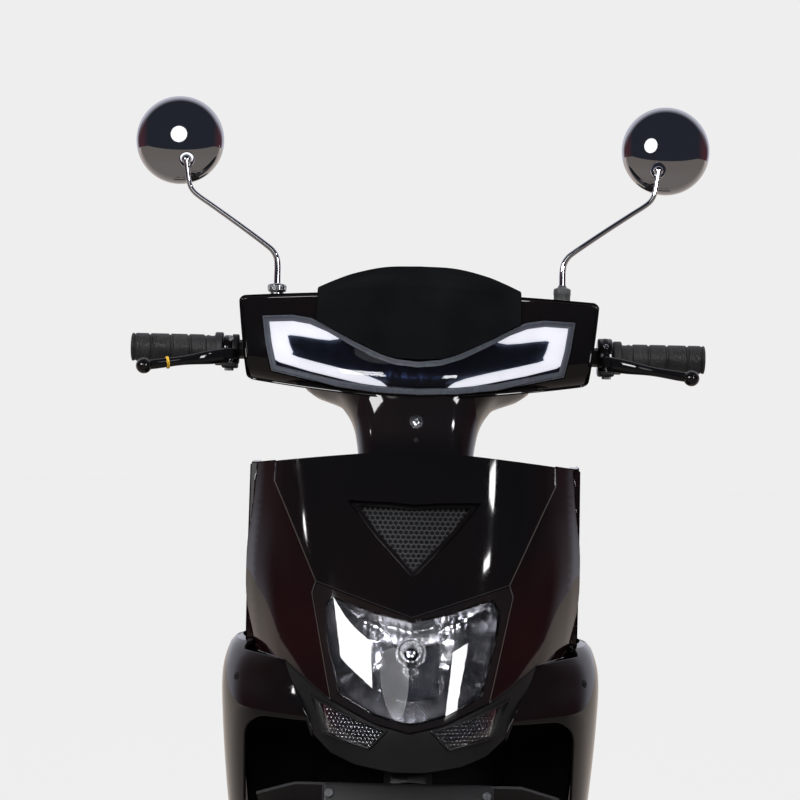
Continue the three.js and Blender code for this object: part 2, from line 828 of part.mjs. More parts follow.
const cowlTopZ = (x) => mix(cowlCrown, cowlShoulder, Math.abs(x / cowlHalfWidth) ** cowlRiseShare);

function cowlFaceY(x, z) {
  const u = THREE.MathUtils.clamp(x / cowlHalfWidth, -1, 1);
  const top = cowlTopZ(u * cowlHalfWidth);
  const foot = mix(cowlFoot, cowlHeel, Math.abs(u) ** cowlRiseShare);
  const t = THREE.MathUtils.clamp((top - z) / (top - foot), 0, 1);
  return cowlFacePoint(u, t, 0, true).y;
}

const inLens = ([x, z]) => [x * lensHalfWidth, mix(lensBottom, lensTop, z)];
const lensOutline = bothHalves(lensShares.map(inLens));
const guideOutline = guideShares.map(inLens);
const throughFace = (outline) => prism(outline, 'y', cowlFace - cowlLeanDepth, cowlSplit - skinThickness);
const cowlSkinFront = cut(
  cowlBlock(true, 0, -clearance / 2),
  cowlBlock(true, skinThickness, overrun),
);
const cowlSkinRear = cut(
  cowlBlock(false, 0, clearance / 2),
  cowlBlock(false, skinThickness, -overrun),
);
const barHole = bar(
  barRadius + clearance,
  v(-cowlHalfWidth - overrun, barPlane, barHeight),
  v(cowlHalfWidth + overrun, barPlane, barHeight),
);
const stemHole = steered(bar(sleeveRadius + runningGap, v(0, 0, neckFoot), v(0, 0, sleeveHead)));

function cowlFront() {
  return join(cut(cowlSkinFront, throughFace(lensOutline), barHole, stemHole), crest());
}

function drlLens() {
  const slots = bothSides.map((side) => onSide(throughFace(grown(guideOutline, clearance)), side));
  return cut(common(cowlSkinFront, throughFace(grown(lensOutline, -clearance))), ...slots);
}

const lightGuide = (side) => common(cowlSkinFront, onSide(throughFace(guideOutline), side));

// Crest: a hood over the dash that runs down the face of the cowl as a V

function crestGrid() {
  const columns = steps(crestColumns).map((s) => 2 * s - 1);
  const topZ = (u) => mix(crestShoulder, crestTop, alongCurve(crestTopShares, Math.abs(u))[1]);
  const veeZ = (u) => mix(crestFoot, crestVeeTop, alongCurve(crestVeeShares, Math.abs(u))[1]);
  const onFace = (u, z) => v(u * crestHalfWidth, cowlFaceY(u * crestHalfWidth, z) + crestSink, z);
  const brow = (u) => cowlCrown + mix(crestBrow, 0, u * u);
  const back = columns.map((u) => v(u * crestHalfWidth, crestBack - crestBackBow * u * u, topZ(u)));
  const mid = columns.map((u) => v(
    u * crestHalfWidth,
    mix(crestBack - crestBackBow * u * u, cowlFaceY(u * crestHalfWidth, brow(u)), crestMidShare),
    mix(topZ(u), brow(u), crestMidDropShare),
  ));
  const face = steps(crestFaceRows).map((t) => columns.map((u) => onFace(u, mix(brow(u), veeZ(u), t))));
  return [back, mid, ...face];
}

const crest = () => cut(
  shell(crestGrid(), -crestThickness),
  cowlBlock(false, -clearance, -clearance),
  throughFace(lensOutline),
);

// Neck cover: a waisted tube round the stem that flares up to the cowl

function neckRing(t, inset) {
  const [, widthShare, depthShare] = alongCurve(neckShares, t);
  const [halfWidth, halfDepth] = [neckHalfWidth * widthShare - inset, neckDepth * depthShare - inset];
  return steps(neckSides).slice(0, neckSides).map((s) => {
    const [c, d] = [Math.cos(2 * Math.PI * s), Math.sin(2 * Math.PI * s)];
    return v(
      halfWidth * Math.sign(c) * Math.abs(c) ** neckRoundShare,
      halfDepth * Math.sign(d) * Math.abs(d) ** neckRoundShare,
      mix(neckFoot, neckHead, t),
    );
  });
}

function neckCover() {
  const rings = neckShares.map(([t]) => t);
  const outer = loft(rings.map((t) => neckRing(t, 0)));
  const bore = loft(rings.map((t) => neckRing(t, skinThickness).map((p) => v(
    p.x, p.y, p.z + overrun * (2 * t - 1),
  ))));
  return cut(
    steered(cut(outer, bore)),
    cowlBlock(true, -clearance, clearance),
    cowlBlock(false, -clearance, -clearance),
  );
}

// Front shield: one curved face with a deck on top, parted along its seams into separate panels

const shieldColumnPlaces = steps(shieldColumns).map((s) => 2 * s - 1);

function shieldPoint(u, t, inset) {
  const [, centreDrop, edgeDrop, widthShare, noseShare, edgeShare] = alongCurve(shieldShares, t);
  const side = alongCurve(shieldSectionShares, Math.abs(u))[1];
  const depth = shieldBack - shieldNose;
  const drop = mix(centreDrop, edgeDrop, Math.abs(u) ** shieldRiseShare) * shieldDrop;
  return v(
    u * (shieldHalfWidth * widthShare - inset),
    shieldNose + depth * mix(noseShare, edgeShare, side) + inset,
    shieldTop - drop,
  );
}

function shieldBlock(inset, top, foot, back) {
  const face = steps(shieldRows).map((t) => shieldColumnPlaces.map((u) => {
    const p = shieldPoint(u, t, inset);
    return v(p.x, p.y, p.z + (t === 0 ? top : 0) + (t === 1 ? foot : 0));
  }));
  const rear = face.map((row, i) => row.map((p) => v(
    p.x * shieldFlareShare,
    shieldBack + back,
    p.z - (i === 0 ? deckDropShare * shieldDrop : 0),
  )));
  return between(face, rear);
}

const shieldSkin = cut(
  shieldBlock(0, 0, 0, -clearance),
  shieldBlock(skinThickness, -skinThickness, -overrun, overrun),
);
const inShield = ([x, z]) => [x * shieldHalfWidth, shieldTop - z * shieldDrop];
const throughShield = (outline) => prism(
  outline, 'y', shieldNose - skinThickness - overrun, shieldBack + overrun,
);
const seamOutline = bothHalves(seamShares.map(inShield));
const bezelOutline = bothHalves(bezelShares.map(inShield));
const bulbLensOutline = bothHalves(bulbLensShares.map(inShield));
const veeOutline = bothHalves(veeShares.map(inShield));
const chinOutline = bothHalves(chinShares.map(inShield));
const signalOutline = signalShares.map(inShield);
const sideOutline = [
  ...bezelShares.slice(1, 4), ...sideFootShares, ...sideTopShares, seamShares[2],
].map(inShield);
const neckHole = steered(bar(neckHoleRadius, v(0, 0, neckHoleFoot), v(0, 0, neckHead), coneSides));

function frontShield() {
  return cut(
    common(shieldSkin, throughShield(grown(seamOutline, -clearance / 2))),
    throughShield(veeOutline),
    throughShield(grown(bezelOutline, clearance / 2)),
    neckHole,
  );
}

function shieldSide() {
  return cut(common(shieldSkin, throughShield(grown(sideOutline, -clearance / 2))), neckHole);
}

// Headlight: a housing with a bowl, closed by a clear lens in the line of the shield

function headlightHousing() {
  const body = cut(
    common(shieldBlock(0, 0, 0, 0), throughShield(grown(bezelOutline, -clearance / 2))),
    shieldBlock(headlightDepth, 0, -overrun, overrun),
  );
  const mouth = cut(
    throughShield(bulbLensOutline),
    shieldBlock(lensSet, 0, -shieldDrop, overrun),
  );
  const bowl = solidOf(new THREE.SphereGeometry(1, bowlSides, bowlSides / 2)
    .scale(...bowlHalf)
    .translate(0, shieldPoint(0, bowlDropShare, lensSet).y, shieldPoint(0, bowlDropShare, 0).z));
  const headTube = steered(bar(headTubeRadius + runningGap, v(0, 0, headTubeFoot), v(0, 0, headTubeTop)));
  return cut(body, headTube, mouth, common(bowl, throughShield(grown(bulbLensOutline, -skinThickness))));
}

const headlightLens = () => common(shieldSkin, throughShield(grown(bulbLensOutline, -clearance)));

// Grille in the recess of the shield, with a rim that reaches out to the panel

function frontGrille() {
  const rim = cut(
    common(shieldBlock(0, 0, 0, 0), throughShield(grown(veeOutline, -clearance))),
    throughShield(grown(veeOutline, -skinThickness)),
    shieldBlock(grilleRecess + skinThickness, 0, 0, overrun),
  );
  const net = common(
    cut(
      shieldBlock(grilleRecess, 0, 0, 0),
      shieldBlock(grilleRecess + skinThickness, 0, 0, overrun),
    ),
    throughShield(grown(veeOutline, -skinThickness + overrun / 2)),
  );
  return join(rim, net);
}

// Chin panel with the two signals

function chinPanel() {
  const signals = bothSides.map((side) => onSide(throughShield(signalOutline), side));
  return cut(common(shieldSkin, throughShield(grown(chinOutline, -clearance))), ...signals);
}

const signalLens = () => common(shieldSkin, throughShield(grown(signalOutline, -clearance)));

// Wings: panels that wrap round the front wheel's arch from the nose to the leg shield

function wingPoint([across, ahead], t) {
  const [, widthShare, depthShare] = alongCurve(wingShares, t);
  return v(
    across * wingHalfWidth * widthShare,
    wingBack - ahead * wingDepth * depthShare,
    mix(wingTop, wingFoot, t),
  );
}

function archOutline() {
  const corner = steps(cornerSteps).map((t) => [
    archHalfWidth - archCorner * (1 - Math.cos(t * Math.PI / 2)),
    archTop - archCorner * (1 - Math.sin(t * Math.PI / 2)),
  ]);
  return [[0, wingFoot - overrun], [archHalfWidth, wingFoot - overrun], ...corner, [0, archTop]];
}

function wing() {
  const grid = wingShares.map(([t]) => wingSectionShares.map((place) => wingPoint(place, t)));
  const archBack = wingBack - wingDepth * archReachShare;
  return cut(
    shell(grid, -skinThickness),
    throughShield(grown(sideOutline, clearance)),
    throughShield(grown(chinOutline, clearance)),
    prism(archOutline(), 'y', wingBack - wingDepth - overrun, archBack),
    legShieldBlock(-clearance, -clearance),
  );
}

// Leg shield on the rider's side, with a pocket

function legShieldBlock(inset, front) {
  const places = steps(legShieldColumns).map((s) => 2 * s - 1);
  const rider = steps(legShieldRows).map((t) => places.map((u) => {
    const halfWidth = shieldHalfWidth * alongTable(legShieldShares, t)[1] - inset;
    const drop = t === 0 ? deckEdgeDrop * Math.abs(u) ** shieldRiseShare : 0;
    return v(
      u * halfWidth,
      shieldBack + legShieldBulge * (1 - u ** legShieldFlatness) + (skinThickness - inset),
      mix(legShieldTop - inset, legShieldFoot + (inset ? -overrun : 0), t) - drop,
    );
  }));
  const back = rider.map((row) => row.map((p) => v(p.x, shieldBack + front, p.z)));
  return between(rider, back);
}

function innerShield() {
  const pocket = (grow, mouth) => prism(
    grown(pocketShares.map(([x, z]) => [
      x * shieldHalfWidth, mix(legShieldFoot, legShieldTop, z),
    ]), grow),
    'y',
    shieldBack - pocketDepth - grow,
    shieldBack + legShieldBulge + mouth,
  );
  return cut(
    join(
      cut(
        legShieldBlock(0, clearance),
        legShieldBlock(skinThickness, -overrun),
      ),
      common(pocket(skinThickness, 0), join(
        legShieldBlock(0, clearance),
        pocket(skinThickness, overrun - legShieldBulge),
      )),
    ),
    pocket(0, legShieldBulge),
    neckHole,
    bar(boreOf(keyBarrelRadius), v(keyX, shieldBack - overrun, keyZ), v(keyX, shieldBack + keyBarrelLength, keyZ)),
  );
}

// Liner over the front wheel

function splashGuard() {
  const top = [
    steerPoint(0, linerFront, linerAlong),
    steerPoint(0, linerReachBack, linerAlong),
  ];
  const foot = v(0, linerBack, linerFoot);
  const knee = v(0, linerBack, top[1].z - linerBend);
  const curve = new THREE.QuadraticBezierCurve3(
    top[1], v(0, linerBack, top[1].z - linerBend * linerKneeShare), knee,
  );
  const line = [top[0], ...curve.getPoints(linerArcSteps), foot];
  const places = [-1, -linerFlatShare, linerFlatShare, 1];
  const grid = line.map((p) => places.map((u) => v(
    u * linerHalfWidth,
    p.y,
    p.z - (Math.abs(u) === 1 ? linerEdgeDrop * (p.y - linerBack) / (top[0].y - linerBack) : 0),
  )));
  return cut(
    shell(grid, skinThickness),
    steered(bar(headTubeRadius + clearance, v(0, 0, crownTop), v(0, 0, headTubeTop))),
  );
}

// Stem, crown and stanchions in one, turning in the head tube

function forkCrown() {
  const halfWidth = legX + legRadius;
  const legs = bothSides.map((side) => bar(
    stanchionRadius,
    v(side * legX, -forkOffset, stanchionFoot),
    v(side * legX, -forkOffset, crownTop),
  ));
  const bearings = [headTubeFoot, headTubeTop - bearingHeight].map((foot) => bar(
    bearingRadius,
    v(0, 0, foot),
    v(0, 0, foot + bearingHeight),
    pinSides,
  ));
  return steered(join(
    box(2 * halfWidth, 2 * crownDepth, crownTop - crownFoot, 0, -forkOffset / 2, (crownFoot + crownTop) / 2),
    bar(stemRadius, v(0, 0, crownFoot), v(0, 0, stemTop)),
    ...legs,
    ...bearings,
  ));
}

// Fork slider, with the lug that carries the fender; the left one carries the axle and the caliper

function forkSlider(side) {
  const leg = (radius, from, to) => bar(
    radius,
    v(side * legX, -forkOffset, from),
    v(side * legX, -forkOffset, to),
  );
  const axle = (radius, from, to) => bar(
    radius,
    v(side * from, -forkOffset, 0),
    v(side * to, -forkOffset, 0),
  );
  const lugWidth = legX - legRadius / 2 - fenderHalfWidth - clearance;
  const lug = box(
    lugWidth,
    fenderLugDepth,
    fenderLugHigh - fenderLugLow,
    side * (fenderHalfWidth + clearance + lugWidth / 2),
    -forkOffset,
    (fenderLugLow + fenderLugHigh) / 2,
  );
  const nut = axle(axleNutRadius, legX, legX + legRadius + axleNutWidth);
  const body = cut(
    join(leg(legRadius, legFoot, legTop), lug, nut),
    leg(stanchionRadius + clearance, legBoreFoot, legTop + overrun),
    axle(boreOf(axleRadius), 0, legX + legRadius),
  );
  if (side < 0) return steered(body);
  const caliper = cut(
    box(
      caliperOuter - caliperInner,
      caliperDepth,
      caliperHeight,
      (caliperInner + caliperOuter) / 2,
      caliperDepth / 2,
      caliperLow + caliperHeight / 2,
    ),
    box(
      discThickness + 2 * caliperSlot,
      4 * caliperDepth,
      2 * discRadius,
      discX,
      0,
      runningGap,
    ),
    leg(stanchionRadius + clearance, legBoreFoot, legTop + overrun),
  );
  return steered(join(
    body,
    caliper,
    axle(axleRadius, -legX - legRadius / 2, legX + legRadius),
  ));
}

// Fender over a wheel, as a band whose section is turned about the axle

function fenderBand(axle, radius, halfWidth, fromAngle, toAngle) {
  const grid = steps(fenderSteps).map((t) => {
    const angle = radians(mix(fromAngle, toAngle, t));
    return fenderSectionShares.map(([x, r]) => v(
      x * (halfWidth - skinThickness),
      axle.y + r * (radius - skinThickness) * Math.cos(angle),
      axle.z + r * (radius - skinThickness) * Math.sin(angle),
    ));
  });
  return shell(grid, -skinThickness);
}

const frontFender = () => fenderBand(
  frontAxle, tyreRadius + fenderGap + skinThickness, fenderHalfWidth, fenderBackAngle, fenderFrontAngle,
);

// Wheels lie along X round their axle

const atAxle = (solid, axle) => moved(solid, axle.x, axle.y, axle.z);
const closed = (profile) => [...profile, profile[0]];

function tyre() {
  return turnedOnX(
    closed(tyreShares.map(([r, x]) => [r * tyreRadius, x * tyreWidth / 2])),
    wheelSides,
  );
}

const rimShoulder = tyreShares[0][1] * tyreWidth / 2 + clearance;

function rimProfile(inner) {
  const half = [
    [inner, rimHalfWidth], [rimFlange, rimHalfWidth], [rimFlange, rimShoulder],
    [rimBead, rimShoulder], [rimWell, rimWell - rimFlange + rimHalfWidth],
  ];
  return [...half, ...half.slice().reverse().map(([r, x]) => [r, -x])];
}

function frontRim() {
  const spokes = steps(spokeCount).slice(1).map((t) => {
    const arm = box(spokeThickness, spokeWidth, rimWell - hubRadius / 2, 0, 0, (rimWell + hubRadius / 2) / 2);
    return transformed(arm, new THREE.Matrix4().makeRotationX(2 * Math.PI * (t + spokeTurnShare)));
  });
  const discArms = steps(spokeCount).slice(1).map((t) => {
    const arm = box(
      discThickness - 2 * clearance, discArmWidth, discInner, discX, 0, (discInner + hubRadius / 2) / 2,
    );
    return transformed(arm, new THREE.Matrix4().makeRotationX(2 * Math.PI * (t + discTurnShare)));
  });
  const onX = (radius, from, to, sides) => bar(radius, v(from, 0, 0), v(to, 0, 0), sides);
  const disc = cut(
    onX(discRadius, discX - discThickness / 2, discX + discThickness / 2, wheelSides),
    onX(discInner, 0, discX + discThickness, coneSides),
  );
  return cut(
    join(
      turnedOnX(closed(rimProfile(rimWell - rimWall)), wheelSides),
      onX(hubRadius, -hubHalfWidth, discX + discThickness),
      ...spokes,
      disc,
      ...discArms,
    ),
    onX(boreOf(axleRadius), -legX, legX),
  );
}

function hubMotor() {
  const half = [
    [boreOf(axleRadius), motorBossHalfWidth], [motorBossRadius, motorBossHalfWidth],
    [motorBossRadius, motorHalfWidth], [motorRadius - rimWall, motorHalfWidth],
    [motorRadius, rimHalfWidth],
    ...rimProfile(motorRadius).slice(1, 5),
  ];
  return turnedOnX(
    closed([...half, ...half.slice().reverse().map(([r, x]) => [r, -x])]),
    wheelSides,
  );
}

// Swingarm with the rear axle and the studs of the dampers

function swingArm() {
  const pivot = v(0, pivotY, pivotZ);
  const run = rearAxle.clone().sub(pivot);
  const arms = bothSides.map((side) => {
    const arm = box(armWidth, run.length(), armHeight, side * armX, run.length() / 2, 0);
    const tilt = new THREE.Matrix4().makeRotationX(Math.atan2(run.z, run.y));
    return moved(transformed(arm, tilt), 0, pivotY, pivotZ);
  });
  const outer = armX + armWidth / 2;
  const studs = bothSides.map((side) => bar(
    studRadius,
    v(side * armX, damperFootY, damperFootZ),
    v(side * (damperX + damperEyeWidth / 2), damperFootY, damperFootZ),
  ));
  const plates = bothSides.map((side) => bar(
    damperEye * 2,
    v(side * (armX - armWidth / 2), damperFootY, damperFootZ - damperEye / 2),
    v(side * outer, damperFootY, damperFootZ - damperEye / 2),
  ));
  const nuts = bothSides.map((side) => bar(
    axleNutRadius,
    rearAxle.clone().setX(side * armX),
    rearAxle.clone().setX(side * (outer + axleNutWidth)),
    nutSides,
  ));
  const ends = bothSides.map((side) => bar(
    pivotSleeve,
    v(side * (armX - armWidth / 2), pivotY, pivotZ),
    v(side * outer, pivotY, pivotZ),
  ));
  return cut(
    join(
      bar(pivotSleeve, v(-armX, pivotY, pivotZ), v(armX, pivotY, pivotZ)),
      bar(axleRadius, rearAxle.clone().setX(-armX), rearAxle.clone().setX(armX)),
      ...arms,
      ...ends,
      ...plates,
      ...studs,
      ...nuts,
    ),
    bar(
      boreOf(pivotRadius, pinSides),
      v(-outer - overrun, pivotY, pivotZ),
      v(outer + overrun, pivotY, pivotZ),
      pinSides,
    ),
  );
}

// Dampers: built upright from the foot and then leant to the upper stud

const damperFoot = v(0, damperFootY, damperFootZ);
const damperTop = v(0, damperTopY, damperTopZ);
const damperLength = damperTop.distanceTo(damperFoot);
const damperLean = Math.atan2(damperFootY - damperTopY, damperTopZ - damperFootZ);
const damperFrame = new THREE.Matrix4().makeTranslation(0, damperFootY, damperFootZ)
  .multiply(new THREE.Matrix4().makeRotationX(damperLean));
const leant = (solid, side) => moved(transformed(solid, damperFrame), side * damperX, 0, 0);
const upright = (radius, from, to, sides) => bar(radius, v(0, 0, from), v(0, 0, to), sides);
const eyeBar = (radius, height, halfWidth) => bar(radius, v(-halfWidth, 0, height), v(halfWidth, 0, height));

function damperBody(side) {
  return leant(cut(
    join(
      eyeBar(damperEye, 0, damperEyeWidth / 2),
      upright(damperBodyRadius, 0, damperBodyLength),
      upright(perchReach, lowerPerch, lowerPerch + perchThickness, coneSides),
    ),
    eyeBar(boreOf(studRadius), 0, damperEyeWidth),
    upright(damperRodRadius + clearance, damperBoreFoot, damperBodyLength + overrun),
  ), side);
}

function damperRod(side) {
  const perch = damperLength - upperPerch;
  return leant(cut(
    join(
      eyeBar(damperEye + openPivotGap, damperLength, damperEyeWidth / 2),
      upright(damperRodRadius, damperLength - damperRodLength, damperLength),
      upright(perchReach, perch - perchThickness, perch, coneSides),
    ),
    eyeBar(studRadius + openPivotGap, damperLength, damperEyeWidth),
  ), side);
}

const coilFoot = lowerPerch + perchThickness + clearance + coilWire;
const coilHead = damperLength - upperPerch - perchThickness - clearance - coilWire;

function coilPoint(t) {
  const turn = 2 * Math.PI * coilTurns * t;
  return v(coilRadius * Math.cos(turn), coilRadius * Math.sin(turn), mix(coilFoot, coilHead, t));
}

function coil(side) {
  const count = coilTurns * coilSteps;
  const rings = steps(count).map((t) => {
    const centre = coilPoint(t);
    const outwards = v(centre.x, centre.y, 0).normalize();
    const pitch = (coilHead - coilFoot) / (2 * Math.PI * coilTurns);
    const ahead = v(-centre.y, centre.x, pitch).normalize();
    const up = outwards.clone().cross(ahead).negate();
    return steps(coilSides).slice(0, coilSides).map((s) => centre.clone()
      .addScaledVector(outwards, coilWire * Math.cos(2 * Math.PI * s))
      .addScaledVector(up, coilWire * Math.sin(2 * Math.PI * s)));
  });
  return leant(loft(rings), side);
}

const coilSelfGap = (coilHead - coilFoot) / coilTurns - 2 * coilWire;
console.log(`least gap between the spring's turns: ${coilSelfGap.toFixed(1)} mm`);

// Handlebar with the sleeve that clamps the stem

const barEnd = (radius, from, to) => bar(
  radius,
  v(from, barPlane, barHeight),
  v(to, barPlane, barHeight),
);

function handlebar() {
  const half = [v(barTurnX, barPlane, barHeight), v(barTurnX - barRadius, barPlane, barHeight)];
  const middle = steerPoint(0, 0, (sleeveFoot + sleeveHead) / 2);
  const path = [
    ...half,
    v(perchInner / 2, (barPlane + middle.y) / 2, (barHeight + barCentreHeight) / 2),
    v(0, middle.y, barCentreHeight),
    v(-perchInner / 2, (barPlane + middle.y) / 2, (barHeight + barCentreHeight) / 2),
    ...half.slice().reverse().map((p) => v(-p.x, p.y, p.z)),
  ];
  return cut(
    join(
      bentTube(barRadius, path, barSteps, tubeSides, 0),
      barEnd(barRadius, barTurnX - barRadius, barHalfLength),
      mirrored(barEnd(barRadius, barTurnX - barRadius, barHalfLength)),
      steered(bar(sleeveRadius, v(0, 0, sleeveFoot), v(0, 0, sleeveHead))),
    ),
    steered(bar(stemRadius + clearance, v(0, 0, sleeveFoot - overrun), v(0, 0, stemTop + clearance))),
  );
}

// Grips: a flange, a ribbed body and a closed end, over the bar

function grip(side) {
  const run = gripEnd - gripInner;
  const body = gripShares.map(([along, rib]) => [
    mix(gripRadius, gripRib, rib), gripInner + along * run,
  ]);
  const profile = [
    [0, gripInner], [flangeRadius, gripInner],
    [flangeRadius, gripInner + flangeWidth], ...body, [gripRadius - skinThickness, gripEnd],
    [0, gripEnd],
  ];
  const turned = moved(turnedOnX(profile, barSides), 0, barPlane, barHeight);
  const bore = barEnd(boreOf(barRadius), gripInner - overrun, barHalfLength + clearance);
  return onSide(cut(turned, bore), side);
}

// Perch: clamps the bar and carries the lever's pin on a shelf

function perch(side) {
  const onBar = (radius) => bar(
    radius,
    v(perchInner, barPlane, barHeight),
    v(perchOuter, barPlane, barHeight),
    coneSides,
  );
  const shelfTop = leverPivotZ - leverHubHalf - clearance;
  const shelfReach = leverPivotAhead + leverHubRadius;
  const width = perchOuter - perchInner;
  const shelf = box(
    width, shelfReach, perchShelf,
    (perchInner + perchOuter) / 2, barPlane - shelfReach / 2, shelfTop - perchShelf / 2,
  );
  const pivot = (z) => v(leverPivotX, barPlane - leverPivotAhead, z);
  const pin = bar(leverPinRadius, pivot(shelfTop - perchShelf), pivot(leverPivotZ + leverHubHalf));
  const body = cut(
    join(onBar(side > 0 ? housingRadius : perchRadius), shelf),
    barEnd(barRadius + clearance, perchInner - overrun, perchOuter + overrun),
    bar(leverHubRadius + runningGap, pivot(shelfTop), pivot(leverPivotZ + 2 * leverHubHalf)),
  );
  const wells = side > 0
    ? [hornZ, turnSwitchZ].map((z) => button(z, boreOf(buttonRadius), overrun, buttonTravel))
    : [];
  return onSide(cut(join(body, pin), ...wells), side);
}

// The horn button and the turn switch stand in wells in the left housing, towards the rider

function button(z, radius, over, under) {
  const face = barPlane + Math.sqrt(housingRadius ** 2 - (z - barHeight) ** 2);
  return bar(
    radius,
    v(leverPivotX, face - buttonSunk - under, z),
    v(leverPivotX, face + buttonProud + over, z),
  );
}

// Brake lever: a hub on the pin and a blade that tapers to a ball

function lever(side) {
  const root = v(leverPivotX, barPlane - leverPivotAhead, leverPivotZ);
  const tip = v(leverTipX, barPlane - leverTipAhead, leverTipZ);
  const rings = steps(leverRings).map((t) => {
    const centre = root.clone().lerp(tip, t);
    centre.y -= leverBow * Math.sin(Math.PI * t);
    const half = mix(leverRootHalf, leverTipHalf, t);
    return steps(leverRingSides).slice(0, leverRingSides).map((s) => v(
      centre.x,
      centre.y + leverHalfThickness * Math.cos(2 * Math.PI * s),
      centre.z + half * Math.sin(2 * Math.PI * s),
    ));
  });
  const upDown = (radius, half) => bar(
    radius,
    root.clone().setZ(leverPivotZ - half),
    root.clone().setZ(leverPivotZ + half),
  );
  const body = cut(
    join(loft(rings), ball(leverBallRadius, tip), upDown(leverHubRadius, leverHubHalf)),
    upDown(boreOf(leverPinRadius), 2 * leverHubHalf),
    box(4 * leverHubRadius, 4 * leverHubRadius, leverHubHalf, root.x, root.y,
      leverPivotZ - leverHubHalf * 3 / 2),
  );
  return onSide(body, side);
}

// Mirror stalk: a nut on the cowl, and a bent rod that ends in a ball

function stalk(side) {
  const [radius, height] = side > 0 ? [bootRadius, bootHeight] : [nutRadius, nutHeight];
  const foot = cowlCrown;
  const ballCentre = v(mirrorBallX, mirrorBallY, mirrorBallZ);
  const rise = mirrorBallZ - foot;
  const run = mirrorBallX - stalkX;
  const behind = mirrorBallY - stalkRadius;
  const path = stalkShares.map(([across, up, back]) => v(
    stalkX + across * run,
    mix(stalkY, behind, back),
    foot + up * rise,
  ));
  const seat = cowlTopZ(stalkX - radius) + clearance;
  return onSide(join(
    bar(radius, v(stalkX, stalkY, seat), v(stalkX, stalkY, foot + height)),
    bentTube(stalkRadius, path, stalkSteps),
    ball(mirrorBallRadius, ballCentre, pinSides),
  ), side);
}

// Mirror head: a domed back with a socket, and a flat glass set in the rim

function mirrorHead(side) {
  const dome = mirrorShares.map(([r, d]) => [r * mirrorRadius, d * mirrorDepth]);
  const rim = dome[dome.length - 1][1];
  const profile = [
    ...dome,
    [mirrorRadius - mirrorRim, rim], [mirrorRadius - mirrorRim, rim + mirrorGlassSet],
    [0, rim + mirrorGlassSet],
  ];
  const head = transformed(
    turnedOnZ(profile, mirrorSides),
    new THREE.Matrix4().makeTranslation(mirrorX, mirrorY, mirrorZ)
      .multiply(new THREE.Matrix4().makeRotationX(Math.PI / 2)),
  );
  const boss = bar(
    mirrorBossRadius,
    v(mirrorBallX, mirrorBallY + mirrorSocketSet, mirrorBallZ),
    v(mirrorBallX, mirrorY - mirrorDepth / 3, mirrorBallZ),
  );
  return onSide(cut(
    join(head, boss),
    ball(socketOf(mirrorBallRadius), v(mirrorBallX, mirrorBallY, mirrorBallZ), pinSides),
  ), side);
}

// Key in its barrel, in the leg shield

function ignitionKey() {
  const face = shieldBack + legShieldBulge;
  const barrelEnd = shieldBack + keyBarrelLength;
  return join(
    bar(keyBarrelRadius, v(keyX, face - legShieldBulge / 2, keyZ), v(keyX, barrelEnd, keyZ)),
    box(keyHeadThickness, keyHeadLength, keyHeadWidth, keyX, barrelEnd + keyHeadLength / 2 - overrun, keyZ),
  );
}

// Main frame: head tube, down tube, floor rails that climb to the tail, and what they carry

const along = (share) => mix(bodyFront, bodyBack, share);
const railPath = railShares.map(([across, back, up]) => v(
  across * railX, mix(bodyFront + bodyHalfWidth / 2, bodyBack, back), mix(railZ, bodyTop, up),
));

function railPoint(share) {
  const curve = new THREE.CatmullRomCurve3(railPath, false, 'catmullrom', bendTension);
  return curve.getPoint(share);
}

function crossTube(share, radius) {
  const end = railPoint(share);
  return bar(radius, v(-end.x, end.y, end.z), end);
}

